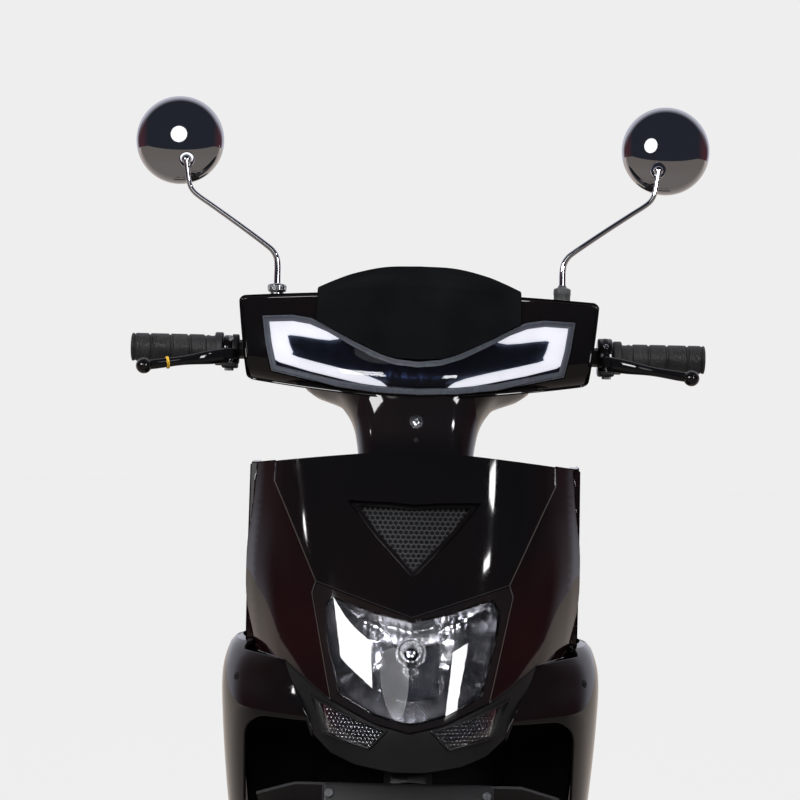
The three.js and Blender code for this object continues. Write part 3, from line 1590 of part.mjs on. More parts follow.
function mainFrame() {
  const headFoot = v(0, 0, headTubeFoot);
  const downFoot = v(0, railFront, railZ);
  const downTop = steerPoint(0, 0, downTubeAlong);
  const downPath = [
    downTop,
    v(0, railFront - downTubeRadius, mix(railZ, downTop.z, downTubeShares[0])),
    v(0, railFront - downTubeRadius / 2, mix(railZ, downTop.z, downTubeShares[1])),
    downFoot,
  ];
  const rails = bothSides.map((side) => onSide(bentTube(
    railRadius,
    [v(railX, railFront, railZ), v(railX, bodyFront, railZ), ...railPath],
    railSteps,
    tubeSides,
  ), side));
  const lugTop = railZ + 4 * railRadius;
  const lugs = bothSides.map((side) => {
    const outline = [
      [pivotY - pivotLugRadius, lugTop], [pivotY - pivotLugRadius, pivotZ],
      [standY - pivotLugRadius, standZ - pivotLugRadius], [standY + pivotLugRadius, standZ - pivotLugRadius],
      [pivotY + pivotLugRadius, pivotZ], [pivotY + pivotLugRadius, lugTop],
    ];
    const plate = prism(outline, 'x', pivotLugX - pivotLugWidth / 2, pivotLugX + pivotLugWidth / 2);
    const web = box(
      railX - pivotLugX, 2 * pivotLugRadius, 2 * railRadius,
      (railX + pivotLugX) / 2, pivotY, lugTop - railRadius,
    );
    return onSide(join(plate, web), side);
  });
  const cradles = [batteryFront, batteryBack].map((y) => {
    const inwards = y < 0 ? y + cradleDepth : y - cradleDepth;
    const tray = box(2 * railX, cradleDepth, cradleHeight, 0, inwards, batteryFoot - clearance - cradleHeight / 2);
    const sides = bothSides.map((side) => box(
      railX - batteryHalfWidth - clearance, cradleDepth, railZ - batteryFoot + cradleHeight,
      side * (railX + batteryHalfWidth + clearance) / 2, inwards,
      (railZ + batteryFoot - cradleHeight) / 2 - clearance,
    ));
    return join(tray, ...sides);
  });
  const floorPosts = [batteryFront, bodyFront].flatMap((y) => bothSides.map((side) => bar(
    stayRadius,
    v(side * railX, y + 2 * stayRadius * Math.sign(-y), railZ),
    v(side * railX, y + 2 * stayRadius * Math.sign(-y), floorTop - skinThickness - clearance),
  )));
  const shieldStay = bar(
    stayRadius,
    steerPoint(0, headTubeRadius / 2, headTubeTop - bearingHeight),
    v(0, shieldBack + legShieldBulge - clearance, shieldTop - shieldDrop / 2),
  );
  const lampStay = common(
    bar(stayRadius, steerPoint(0, 0, downTubeAlong), v(0, shieldNose, steerPoint(0, 0, downTubeAlong).z)),
    shieldBlock(headlightDepth + clearance, 0, 0, 0),
  );
  const propLug = box(
    propX - railX - clearance, propLugDepth, 2 * propHubRadius,
    (propX + railX - clearance) / 2, propY, propZ + propHubRadius / 2,
  );
  const fenderStayY = rearAxle.y - 2 * stayRadius;
  const fenderTop = rearAxle.z + rearFenderRadius - skinThickness / 2;
  const fenderStay = cut(
    bar(stayRadius, v(0, fenderStayY, fenderTop), railPoint(fenderStayShare).setX(0)),
    bar(
      rearFenderRadius + 2 * clearance,
      rearAxle.clone().setX(-rearFenderHalfWidth),
      rearAxle.clone().setX(rearFenderHalfWidth),
      2 * wheelSides,
    ),
  );
  return cut(
    join(
      steered(bar(headTubeRadius, headFoot, v(0, 0, headTubeTop))),
      bentTube(downTubeRadius, downPath, railSteps, tubeSides),
      bar(railRadius, v(-railX, railFront, railZ), v(railX, railFront, railZ)),
      ...rails,
      ...lugs,
      bar(pivotRadius, v(-pivotLugX, pivotY, pivotZ), v(pivotLugX, pivotY, pivotZ), pinSides),
      ...cradles,
      ...floorPosts,
      shieldStay,
      lampStay,
      propLug,
      bar(propRadius, v(railX, propY, propZ), v(propX + propHubWidth, propY, propZ)),
      ...crossTubeShares.map((share) => crossTube(share, crossRadius)),
      fenderStay,
      ...damperStuds(),
    ),
    steered(bar(
      boreOf(bearingRadius, pinSides),
      v(0, 0, headTubeFoot - overrun),
      v(0, 0, headTubeTop + overrun),
      pinSides,
    )),
    bar(
      boreOf(standShaftRadius),
      v(-pivotLugX - pivotLugWidth, standY, standZ),
      v(pivotLugX + pivotLugWidth, standY, standZ),
    ),
  );
}

// The upper studs of the dampers stand on the climbing rails

function damperStuds() {
  const inner = railPoint(damperStudShare);
  return bothSides.map((side) => join(
    bar(studRadius, v(side * (inner.x - railRadius / 2), damperTopY, damperTopZ),
      v(side * (damperX + damperEyeWidth / 2), damperTopY, damperTopZ)),
    bar(stayRadius, v(side * (inner.x - railRadius / 2), damperTopY, damperTopZ - studRadius),
      v(side * inner.x, inner.y, inner.z)),
  ));
}

// Battery box in its cradle, and the floorboard over it

function batteryBox() {
  const depth = batteryBack - batteryFront;
  return box(
    2 * batteryHalfWidth, depth, batteryTop - batteryFoot,
    0, (batteryFront + batteryBack) / 2, (batteryTop + batteryFoot) / 2,
  );
}

function floorOutline(inset) {
  const rim = floorHalfWidth - inset;
  return bothHalves([
    ...floorShares.map(([x, drop]) => [x * rim, floorTop - inset - drop * floorEdge]),
    [rim - floorEdge, floorFoot - (inset ? overrun : 0)],
    [0, floorFoot - (inset ? overrun : 0)],
  ]);
}

function floorboard() {
  return cut(
    prism(floorOutline(0), 'y', floorFront, bodyFront - clearance),
    prism(floorOutline(skinThickness), 'y', floorFront - overrun, bodyFront + overrun),
  );
}

// Body covers on both sides, from the floorboard to the tail

function coverPoint(s, t, inset) {
  const [, widthShare, topShare, footShare] = alongCurve(coverShares, s);
  const bulge = alongCurve(coverSectionShares, t)[1];
  const height = bodyTop - bodyFoot;
  return v(
    bodyHalfWidth * widthShare * bulge - inset,
    along(s),
    mix(bodyFoot + topShare * height, bodyFoot + footShare * height, t),
  );
}

function coverGrid(inset) {
  return coverSectionShares.map(([t]) => steps(coverColumns).map((s) => coverPoint(s, t, inset)));
}

function sideCover() {
  return between(coverGrid(0), coverGrid(skinThickness));
}

// Body front with the storage tub behind it, and the lugs of the seat's hinge

function storageTub() {
  const edge = coverSectionShares.map(([t]) => coverPoint(0, t, skinThickness + clearance));
  const outline = bothHalves([
    [0, edge[0].z],
    ...edge.map((p) => [p.x, Math.max(p.z, batteryTop + runningGap)]),
    [0, batteryTop + runningGap],
  ]);
  const panel = prism(outline, 'y', bodyFront + clearance, bodyFront + clearance + skinThickness);
  const tubFront = bodyFront + clearance;
  const wall = (grow, foot, top) => box(
    2 * (tubHalfWidth + grow), tubBack - tubFront - skinThickness + 2 * grow, top - foot,
    0, (tubBack + tubFront + skinThickness) / 2, (top + foot) / 2,
  );
  const hinges = bothSides.map((side) => box(
    hingeLugWidth, bodyFront + skinThickness - hingeY + 2 * hingePinRadius, 4 * hingePinRadius,
    side * (hingeHalfWidth + clearance + hingeLugWidth / 2),
    (bodyFront + skinThickness + hingeY - 2 * hingePinRadius) / 2 + clearance,
    hingeZ - hingePinRadius,
  ));
  const posts = bothSides.map((side) => box(
    hingeLugWidth, skinThickness, hingeZ - tubTop,
    side * (hingeHalfWidth + clearance + hingeLugWidth / 2),
    tubFront + skinThickness / 2,
    (hingeZ + tubTop) / 2 - 2 * hingePinRadius,
  ));
  return cut(
    join(panel, wall(skinThickness, tubFoot, tubTop), ...hinges, ...posts),
    wall(0, tubFoot + skinThickness, tubTop + overrun),
    bar(boreOf(hingePinRadius), v(-seatHalfWidth, hingeY, hingeZ), v(seatHalfWidth, hingeY, hingeZ)),
  );
}

// Seat: a crowned cushion with drawn-in sides, on a lug with the hinge's pin

function seat() {
  const rings = seatShares.map(([s, widthShare, footShare, crownShare]) => {
    const half = seatSectionShares.map(([across, up]) => [
      across * widthShare * seatHalfWidth,
      mix(mix(seatFoot, seatCrown, footShare), mix(seatFoot, seatCrown, crownShare), up),
    ]);
    const crown = [0, mix(seatFoot, seatCrown, crownShare)];
    const outline = bothHalves([...half, crown]);
    return outline.map(([x, z]) => v(x, mix(seatFront, seatBack, s), z));
  });
  const lug = box(
    2 * hingeHalfWidth, 4 * hingePinRadius, seatFoot - hingeZ + 4 * hingePinRadius,
    0, hingeY + 2 * hingePinRadius, (seatFoot + hingeZ) / 2,
  );
  const pinHalf = hingeHalfWidth + clearance + hingeLugWidth;
  const knuckle = (radius, half) => bar(radius, v(-half, hingeY, hingeZ), v(half, hingeY, hingeZ));
  return join(
    loft(rings),
    lug,
    knuckle(2 * hingePinRadius, hingeHalfWidth),
    knuckle(hingePinRadius, pinHalf),
  );
}

// Tail light, rear fender and grab rail

function tailLight() {
  const outline = bothHalves(tailShares.map(([x, y]) => [x * tailHalfWidth, mix(tailFront, tailBack, y)]));
  return prism(outline, 'z', tailFoot, tailTop);
}

const rearFender = () => fenderBand(
  rearAxle, rearFenderRadius, rearFenderHalfWidth, rearFenderBackAngle, rearFenderFrontAngle,
);

function grabRail() {
  const plateDepth = tailBack - railLoopFront - railLoopRadius;
  const plate = box(
    2 * railLoopHalfWidth, plateDepth, railPlateThickness,
    0, railLoopFront + plateDepth / 2, railPlateTop - railPlateThickness / 2,
  );
  const half = [
    v(railLoopHalfWidth - railLoopRadius, railLoopFront + railLoopRadius, railPlateTop - railPlateThickness),
    v(railLoopHalfWidth - railLoopRadius, railLoopFront + railLoopRadius, railLoopTop - railLoopRadius),
    v(railLoopHalfWidth - railLoopRadius, mix(railLoopFront, railLoopBack, grabBendShare), railLoopTop),
    v((railLoopHalfWidth - railLoopRadius) / 2, railLoopBack - railLoopRadius, railLoopTop),
  ];
  const loop = bentTube(
    railLoopRadius,
    [...half, ...half.slice().reverse().map((p) => v(-p.x, p.y, p.z))],
    grabSteps,
  );
  const end = railPoint(1);
  const legs = bothSides.map((side) => bar(
    stayRadius,
    v(side * (railLoopHalfWidth - railLoopRadius), end.y, end.z + crossRadius + 2 * clearance),
    v(side * (railLoopHalfWidth - railLoopRadius), end.y, railPlateTop - railPlateThickness / 2),
  ));
  return join(plate, loop, ...legs);
}

// Centre stand and side stand

function centreStand() {
  const foot = (side) => v(side * standFootX, standY - standFootAhead, footThickness / 2);
  const top = (side) => v(side * standX, standY, standZ);
  const cross = top(1).lerp(foot(1), standCrossShare);
  return join(
    bar(standShaftRadius, top(-1), top(1)),
    ...bothSides.map((side) => bar(standLegRadius, top(side), foot(side).setZ(footThickness))),
    ...bothSides.map((side) => box(footWidth, footLength, footThickness, ...foot(side).toArray())),
    bar(standLegRadius, cross.clone().setX(-cross.x), cross),
  );
}

function sideStand() {
  const hub = v(propX + propHubWidth / 2, propY, propZ);
  const end = v(hub.x + propRadius, propY + propLength, propZ - propHubRadius);
  return cut(
    join(
      bar(propHubRadius, hub.clone().setX(propX), hub.clone().setX(propX + propHubWidth)),
      bar(propRadius, hub.clone().add(v(0, propHubRadius, 0)), end),
      box(2 * propHubWidth, 3 * propHubWidth, propHubWidth, end.x, end.y, end.z),
    ),
    bar(boreOf(propRadius), hub.clone().setX(propX - overrun), hub.clone().setX(propX + 2 * propHubWidth)),
  );
}

// The assembly

piece('cowl_front', cowlFront(), 'gloss');
piece('cowl_rear', cut(cowlSkinRear, barHole, stemHole), 'gloss');
piece('drl_lens', drlLens(), 'smoke');
for (const side of bothSides) piece(`light_guide_${sideNames[side]}`, lightGuide(side), 'glow');
piece('neck_cover', neckCover(), 'gloss');
piece('front_shield', frontShield(), 'gloss');
piece('headlight_housing', headlightHousing(), 'chrome');
piece('headlight_lens', headlightLens(), 'clear');
piece('front_grille', frontGrille(), 'satin');
piece('chin_panel', chinPanel(), 'grey');
for (const side of bothSides) {
  piece(`shield_side_${sideNames[side]}`, onSide(shieldSide(), side), 'gloss');
  piece(`signal_lens_${sideNames[side]}`, onSide(signalLens(), side), 'clear');
}
for (const side of bothSides) piece(`wing_${sideNames[side]}`, onSide(wing(), side), 'gloss');
piece('inner_shield', innerShield(), 'satin');
piece('splash_guard', splashGuard(), 'satin');
piece('fork_crown', forkCrown(), 'frame');
for (const side of bothSides) piece(`fork_slider_${sideNames[side]}`, forkSlider(side), 'alloy');
piece('front_fender', frontFender(), 'gloss');
piece('front_rim', atAxle(frontRim(), frontAxle), 'alloy');
piece('front_tyre', atAxle(tyre(), frontAxle), 'rubber');
piece('hub_motor', atAxle(hubMotor(), rearAxle), 'alloy');
piece('rear_tyre', atAxle(tyre(), rearAxle), 'rubber');
piece('swingarm', swingArm(), 'frame');
for (const side of bothSides) {
  piece(`shock_body_${sideNames[side]}`, damperBody(side), 'satin');
  piece(`shock_rod_${sideNames[side]}`, damperRod(side), 'steel');
  piece(`shock_spring_${sideNames[side]}`, coil(side), 'chrome');
}
piece('handlebar', handlebar(), 'frame');
piece('throttle_grip', grip(-1), 'rubber');
piece('grip_left', grip(1), 'rubber');
piece('ignition_key', ignitionKey(), 'steel');
piece('horn_button', button(hornZ, buttonRadius, 0, 0), 'red');
piece('turn_switch', button(turnSwitchZ, buttonRadius, 0, 0), 'satin');
for (const side of bothSides) {
  piece(`lever_perch_${sideNames[side]}`, perch(side), 'satin');
  piece(`brake_lever_${sideNames[side]}`, lever(side), 'gloss');
  piece(`mirror_arm_${sideNames[side]}`, stalk(side), 'chrome');
  piece(`mirror_head_${sideNames[side]}`, mirrorHead(side), 'chrome');
}
piece('main_frame', mainFrame(), 'frame');
piece('battery_box', batteryBox(), 'satin');
piece('floorboard', floorboard(), 'satin');
for (const side of bothSides) piece(`side_cover_${sideNames[side]}`, onSide(sideCover(), side), 'gloss');
piece('storage_tub', storageTub(), 'satin');
piece('seat', seat(), 'vinyl');
piece('tail_light', tailLight(), 'red');
piece('rear_fender', rearFender(), 'satin');
piece('grab_rail', grabRail(), 'satin');
piece('center_stand', centreStand(), 'frame');
piece('side_stand', sideStand(), 'frame');

export default scooter;
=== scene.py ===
"""Electric moped scooter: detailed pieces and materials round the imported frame.
Sizes are in millimetres as in the part, except the camera's and the lights', which are in metres."""

import math
import random

import bpy
import bmesh
import json
import numpy as np
from mathutils import Matrix, Vector, bvhtree
from mathutils.geometry import delaunay_2d_cdt

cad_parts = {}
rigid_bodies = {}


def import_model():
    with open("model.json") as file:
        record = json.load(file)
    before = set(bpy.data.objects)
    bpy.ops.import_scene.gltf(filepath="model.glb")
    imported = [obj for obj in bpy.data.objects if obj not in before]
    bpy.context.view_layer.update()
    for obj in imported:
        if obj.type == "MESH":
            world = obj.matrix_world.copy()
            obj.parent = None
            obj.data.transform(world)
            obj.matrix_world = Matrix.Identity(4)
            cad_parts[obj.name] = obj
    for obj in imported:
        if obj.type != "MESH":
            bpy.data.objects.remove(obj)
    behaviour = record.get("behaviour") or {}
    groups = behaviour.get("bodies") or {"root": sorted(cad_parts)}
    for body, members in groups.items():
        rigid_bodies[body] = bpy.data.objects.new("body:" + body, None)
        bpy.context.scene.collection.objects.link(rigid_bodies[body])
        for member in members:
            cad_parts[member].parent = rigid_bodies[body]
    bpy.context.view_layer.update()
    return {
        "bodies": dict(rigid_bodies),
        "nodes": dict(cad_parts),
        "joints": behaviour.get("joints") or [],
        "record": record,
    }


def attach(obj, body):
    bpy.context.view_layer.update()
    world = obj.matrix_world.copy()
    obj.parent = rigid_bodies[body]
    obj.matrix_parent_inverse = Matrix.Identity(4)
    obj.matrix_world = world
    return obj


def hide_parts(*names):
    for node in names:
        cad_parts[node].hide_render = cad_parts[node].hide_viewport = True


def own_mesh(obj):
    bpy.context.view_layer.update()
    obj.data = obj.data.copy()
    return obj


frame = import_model()
random.seed(7)

# ---------------------------------------------------------------- sizes (millimetres, as in the part)

MM = 0.001
WHEEL_BASE, TYRE_R, LIFT = 1260, 205, 8
RAKE_DEGREES = 25
RAKE = math.radians(RAKE_DEGREES)
FORK_OFFSET = 14
FRONT_AXLE = Vector((0, -WHEEL_BASE / 2, TYRE_R))
REAR_AXLE = Vector((0, WHEEL_BASE / 2, TYRE_R + LIFT))
AXIS_FOOT = FRONT_AXLE + Vector((0, FORK_OFFSET * math.cos(RAKE), -FORK_OFFSET * math.sin(RAKE)))
STEER = Matrix.Translation(AXIS_FOOT) @ Matrix.Rotation(-RAKE, 4, "X")
BAR_Y, BAR_Z = -245, 976
SKIN = 3.0
SEAM = 0.6
RIM = 1.1
BEVEL_ANGLE, BLOCK_ANGLE, ROUND_ANGLE = 30, 25, 50  # degrees from which an edge counts as sharp
CORNER_LIMIT = 0.35  # keeps the sharpest corners of a grown outline from running away
NORMAL_REACH = 0.6  # how far apart the points lie that give a surface its normal
HEX_ROW = 0.866  # height of a row in a grid of equal triangles


def steer_point(x, back, along):
    return STEER @ Vector((x, back, along))


def turned(degrees, axis):
    return Matrix.Rotation(math.radians(degrees), 4, axis)


def standing(place, normal):
    """Turns a lathe so that its height runs along a normal, from a place."""
    turn = Vector((0, 0, 1)).rotation_difference(normal).to_matrix().to_4x4()
    return Matrix.Translation(place) @ turn


def circle(radius, count, centre=(0, 0)):
    angles = [2 * math.pi * k / count for k in range(count)]
    return [(centre[0] + radius * math.cos(angle), centre[1] + radius * math.sin(angle)) for angle in angles]


def side_name(side):
    return "right" if side < 0 else "left"


def mix(a, b, t):
    return a + (b - a) * t


def clamp(x, low, high):
    return max(low, min(high, x))


def smooth_step(t):
    t = clamp(t, 0, 1)
    return t * t * (3 - 2 * t)


def table(rows, t):
    """A smooth curve through the rows of a table, read at t in the first column."""
    if t <= rows[0][0]:
        return rows[0]
    if t >= rows[-1][0]:
        return rows[-1]
    after = next(i for i, row in enumerate(rows) if row[0] >= t)
    low, high = rows[after - 1], rows[after]
    span = high[0] - low[0]
    local = (t - low[0]) / span
    before, beyond = rows[max(after - 2, 0)], rows[min(after + 1, len(rows) - 1)]
    t2, t3 = local * local, local ** 3
    out = []
    for i, value in enumerate(low):
        slope_in = (high[i] - before[i]) / (high[0] - before[0]) * span
        slope_out = (beyond[i] - low[i]) / (beyond[0] - low[0]) * span
        out.append(
            value * (2 * t3 - 3 * t2 + 1) + slope_in * (t3 - 2 * t2 + local)
            + high[i] * (3 * t2 - 2 * t3) + slope_out * (t3 - t2)
        )
    return out


# ---------------------------------------------------------------- mesh helpers

def new_object(name, points, faces, material, normals=None, smooth=True):
    """A mesh from points in millimetres. Normals, one per point, keep the gloss clean."""
    mesh = bpy.data.meshes.new(name)
    mesh.from_pydata([tuple(c * MM for c in p) for p in points], [], faces)
    mesh.validate()
    mesh.update()
    if smooth:
        mesh.shade_smooth()
    if normals is not None and len(mesh.vertices) == len(points):
        mesh.normals_split_custom_set_from_vertices([tuple(n) for n in normals])
    obj = bpy.data.objects.new(name, mesh)
    bpy.context.scene.collection.objects.link(obj)
    for item in material if isinstance(material, (list, tuple)) else [material]:
        mesh.materials.append(item)
    return obj


def ring_faces(rows, sides, closed=False):
    """The faces between rows of points, each row a ring. Where closed, the last row meets the first."""
    faces = []
    for j in range(rows):
        n0, n1 = j * sides, ((j + 1) % rows if closed else j + 1) * sides
        faces += [(n0 + k, n0 + (k + 1) % sides, n1 + (k + 1) % sides, n1 + k) for k in range(sides)]
    return faces


def finish_piece(obj, body, slot, *replaced):
    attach(obj, body)
    if replaced:
        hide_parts(*replaced)
    return obj


def smooth_by_angle(obj, degrees=35):
    """Smooth faces, with the edges sharper than the angle kept sharp."""
    mesh = obj.data
    work = bmesh.new()
    work.from_mesh(mesh)
    limit = math.radians(degrees)
    for edge in work.edges:
        sharp = len(edge.link_faces) != 2 or edge.calc_face_angle(0) > limit
        edge.smooth = not sharp
    for face in work.faces:
        face.smooth = True
    work.to_mesh(mesh)
    work.free()
    return obj


def bevelled(obj, width, segments=2):
    """Rounds the sharp edges of a mesh for good."""
    mod = obj.modifiers.new("edge", "BEVEL")
    mod.width = width * MM
    mod.segments = segments
    mod.limit_method = "ANGLE"
    mod.angle_limit = math.radians(BEVEL_ANGLE)
    mod.harden_normals = False
    return settled(obj)


def settled(obj):
    """Applies the modifiers of an object to its mesh."""
    depsgraph = bpy.context.evaluated_depsgraph_get()
    done = bpy.data.meshes.new_from_object(obj.evaluated_get(depsgraph))
    obj.modifiers.clear()
    old = obj.data
    obj.data = done
    bpy.data.meshes.remove(old)
    return obj


def joined(name, objects):
    """One object from several, with their materials kept."""
    first = objects[0]
    with bpy.context.temp_override(
        active_object=first, object=first,
        selected_objects=objects, selected_editable_objects=objects,
    ):
        bpy.ops.object.join()
    first.name = name
    return first


def catmull(points, per=8, closed=False):
    """A smooth run of points through the given ones."""
    pts = [Vector(p) for p in points]
    n = len(pts)
    out = []
    last = n if closed else n - 1
    for i in range(last):
        if closed:
            a, b, c, d = pts[i - 1], pts[i], pts[(i + 1) % n], pts[(i + 2) % n]
        else:
            b, c = pts[i], pts[i + 1]
            a = pts[i - 1] if i > 0 else b * 2 - c
            d = pts[i + 2] if i + 2 < n else c * 2 - b
        for k in range(per):
            t = k / per
            out.append(0.5 * (
                2 * b + (c - a) * t + (2 * a - 5 * b + 4 * c - d) * t * t
                + (3 * b - a - 3 * c + d) * t ** 3
            ))
    if not closed:
        out.append(pts[-1])
    return out


def tube(name, path, radius, material, sides=16, radii=None, cap=True):
    """A round tube along a path of points, with an end radius of its own where asked."""
    path = [Vector(p) for p in path]
    points, faces = [], []
    up = Vector((0, 0, 1))
    if abs((path[1] - path[0]).normalized().dot(up)) > 0.9:
        up = Vector((0, 1, 0))
    side = None
    for i, p in enumerate(path):
        ahead = (path[min(i + 1, len(path) - 1)] - path[max(i - 1, 0)]).normalized()
        if side is None:
            side = ahead.cross(up).normalized()
        side = (side - ahead * side.dot(ahead)).normalized()
        other = ahead.cross(side)
        r = radii[i] if radii else radius
        for k in range(sides):
            angle = 2 * math.pi * k / sides
            points.append(p + side * (r * math.cos(angle)) + other * (r * math.sin(angle)))
    rings = len(path)
    faces += ring_faces(rings - 1, sides)
    if cap:
        faces.append(tuple(reversed(range(sides))))
        faces.append(tuple(range((rings - 1) * sides, rings * sides)))
    obj = new_object(name, points, faces, material)
    fix_normals(obj)
    return smooth_by_angle(obj, ROUND_ANGLE)


def fix_normals(obj):
    work = bmesh.new()
    work.from_mesh(obj.data)
    bmesh.ops.recalc_face_normals(work, faces=work.faces)
    work.to_mesh(obj.data)
    work.free()
    return obj


def lathe(name, profile, material, sides=48, place=None, degrees=40):
    """A profile of (radius, height) points turned round Z and then placed by a matrix."""
    points, faces, rings = [], [], []
    for r, h in profile:
        if r < 1e-6:
            rings.append([len(points)])
            points.append(Vector((0, 0, h)))
        else:
            rings.append(list(range(len(points), len(points) + sides)))
            for k in range(sides):
                angle = 2 * math.pi * k / sides
                points.append(Vector((r * math.cos(angle), r * math.sin(angle), h)))
    for low, high in zip(rings, rings[1:]):
        for k in range(sides):
            a, b = low[k % len(low)], low[(k + 1) % len(low)]
            c, d = high[(k + 1) % len(high)], high[k % len(high)]
            face = []
            for item in (a, b, c, d):
                if item not in face:
                    face.append(item)
            if len(face) > 2:
                faces.append(tuple(face))
    if len(rings[0]) > 1:
        faces.append(tuple(reversed(rings[0])))
    if len(rings[-1]) > 1:
        faces.append(tuple(rings[-1]))
    if place is not None:
        points = [place @ p for p in points]
    obj = new_object(name, points, faces, material)
    fix_normals(obj)
    return smooth_by_angle(obj, degrees)


def ring_lathe(name, profile, material, sides=64, place=None, degrees=40):
    """A closed profile turned round Z, such as a tyre's."""
    points, faces = [], []
    count = len(profile)
    for k in range(sides):
        angle = 2 * math.pi * k / sides
        for r, h in profile:
            p = Vector((r * math.cos(angle), r * math.sin(angle), h))
            points.append(place @ p if place is not None else p)
    for k in range(sides):
        for i in range(count):
            a, b = k * count + i, k * count + (i + 1) % count
            c = ((k + 1) % sides) * count + (i + 1) % count
            d = ((k + 1) % sides) * count + i
            faces.append((a, b, c, d))
    obj = new_object(name, points, faces, material)
    fix_normals(obj)
    return smooth_by_angle(obj, degrees)


def block(name, low, high, material, bevel=1.0, segments=2, place=None):
    """A box between two corners with its edges rounded."""
    (x0, y0, z0), (x1, y1, z1) = low, high
    points = [Vector((x, y, z)) for z in (z0, z1) for y in (y0, y1) for x in (x0, x1)]
    if place is not None:
        points = [place @ p for p in points]
    faces = [(0, 2, 3, 1), (4, 5, 7, 6), (0, 1, 5, 4), (2, 6, 7, 3), (0, 4, 6, 2), (1, 3, 7, 5)]
    obj = new_object(name, points, faces, material, smooth=False)
    fix_normals(obj)
    if bevel:
        bevelled(obj, bevel, segments)
    return smooth_by_angle(obj, BLOCK_ANGLE)


def rod(name, start, end, radius, material, sides=24, bevel=0.8):
    """A round bar between two points with its rims rounded."""
    start, end = Vector(start), Vector(end)
    length = (end - start).length
    turn = (end - start).to_track_quat("Z", "Y").to_matrix().to_4x4()
    profile = [
        (0, 0), (radius - bevel, 0), (radius - bevel * 0.3, bevel * 0.3), (radius, bevel),
        (radius, length - bevel), (radius - bevel * 0.3, length - bevel * 0.3), (radius - bevel, length),
        (0, length),
    ]
    return lathe(name, profile, material, sides, Matrix.Translation(start) @ turn, ROUND_ANGLE)


# ---------------------------------------------------------------- trimmed panels

def inside(points, polygon):
    """Which of the 2-D points lie inside the polygon."""
    x, y = points[:, 0], points[:, 1]
    poly = np.asarray(polygon)
    px, py = poly[:, 0], poly[:, 1]
    qx, qy = np.roll(px, -1), np.roll(py, -1)
    result = np.zeros(len(points), bool)
    for ax, ay, bx, by in zip(px, py, qx, qy):
        if ay == by:
            continue
        crosses = (ay > y) != (by > y)
        at = (bx - ax) * (y - ay) / (by - ay) + ax
        result ^= crosses & (x < at)
    return result


def distance_to(points, polygon):
    """The distance of each 2-D point to the polygon's sides."""
    poly = np.asarray(polygon)
    best = np.full(len(points), 1e9)
    for a, b in zip(poly, np.roll(poly, -1, axis=0)):
        run = b - a
        length = max(float(run @ run), 1e-12)
        t = np.clip(((points - a) @ run) / length, 0, 1)
        best = np.minimum(best, np.hypot(*(points - (a + t[:, None] * run)).T))
    return best


def resampled(polygon, step):
    """The polygon with its sides cut into stretches of about one step."""
    out = []
    count = len(polygon)
    for i in range(count):
        a, b = Vector(polygon[i][:2]), Vector(polygon[(i + 1) % count][:2])
        parts = max(1, round((b - a).length / step))
        out += [tuple(a.lerp(b, k / parts)) for k in range(parts)]
    return out


def grown(outline, distance):
    """The outline widened or narrowed by moving each side outwards or inwards."""
    n = len(outline)
    area = sum(
        outline[i][0] * outline[(i + 1) % n][1] - outline[i][1] * outline[(i + 1) % n][0]
        for i in range(n)
    )
    turn = math.copysign(distance, area * distance) if area > 0 else -distance
    out = []
    for i in range(n):
        px, pz = outline[i - 1]
        x, z = outline[i]
        nx, nz = outline[(i + 1) % n]
        before = Vector((z - pz, px - x))
        after = Vector((nz - z, x - nx))
        before.normalize()
        after.normalize()
        corner = (before + after) * (turn / max(1 + before.dot(after), CORNER_LIMIT))
        out.append((x + corner.x, z + corner.y))
    return out


def surface_normal(fn, a, b):
    h = NORMAL_REACH
    across = fn(a + h, b) - fn(a - h, b)
    down = fn(a, b + h) - fn(a, b - h)
    normal = across.cross(down)
    return normal.normalized() if normal.length > 1e-9 else Vector((0, -1, 0))


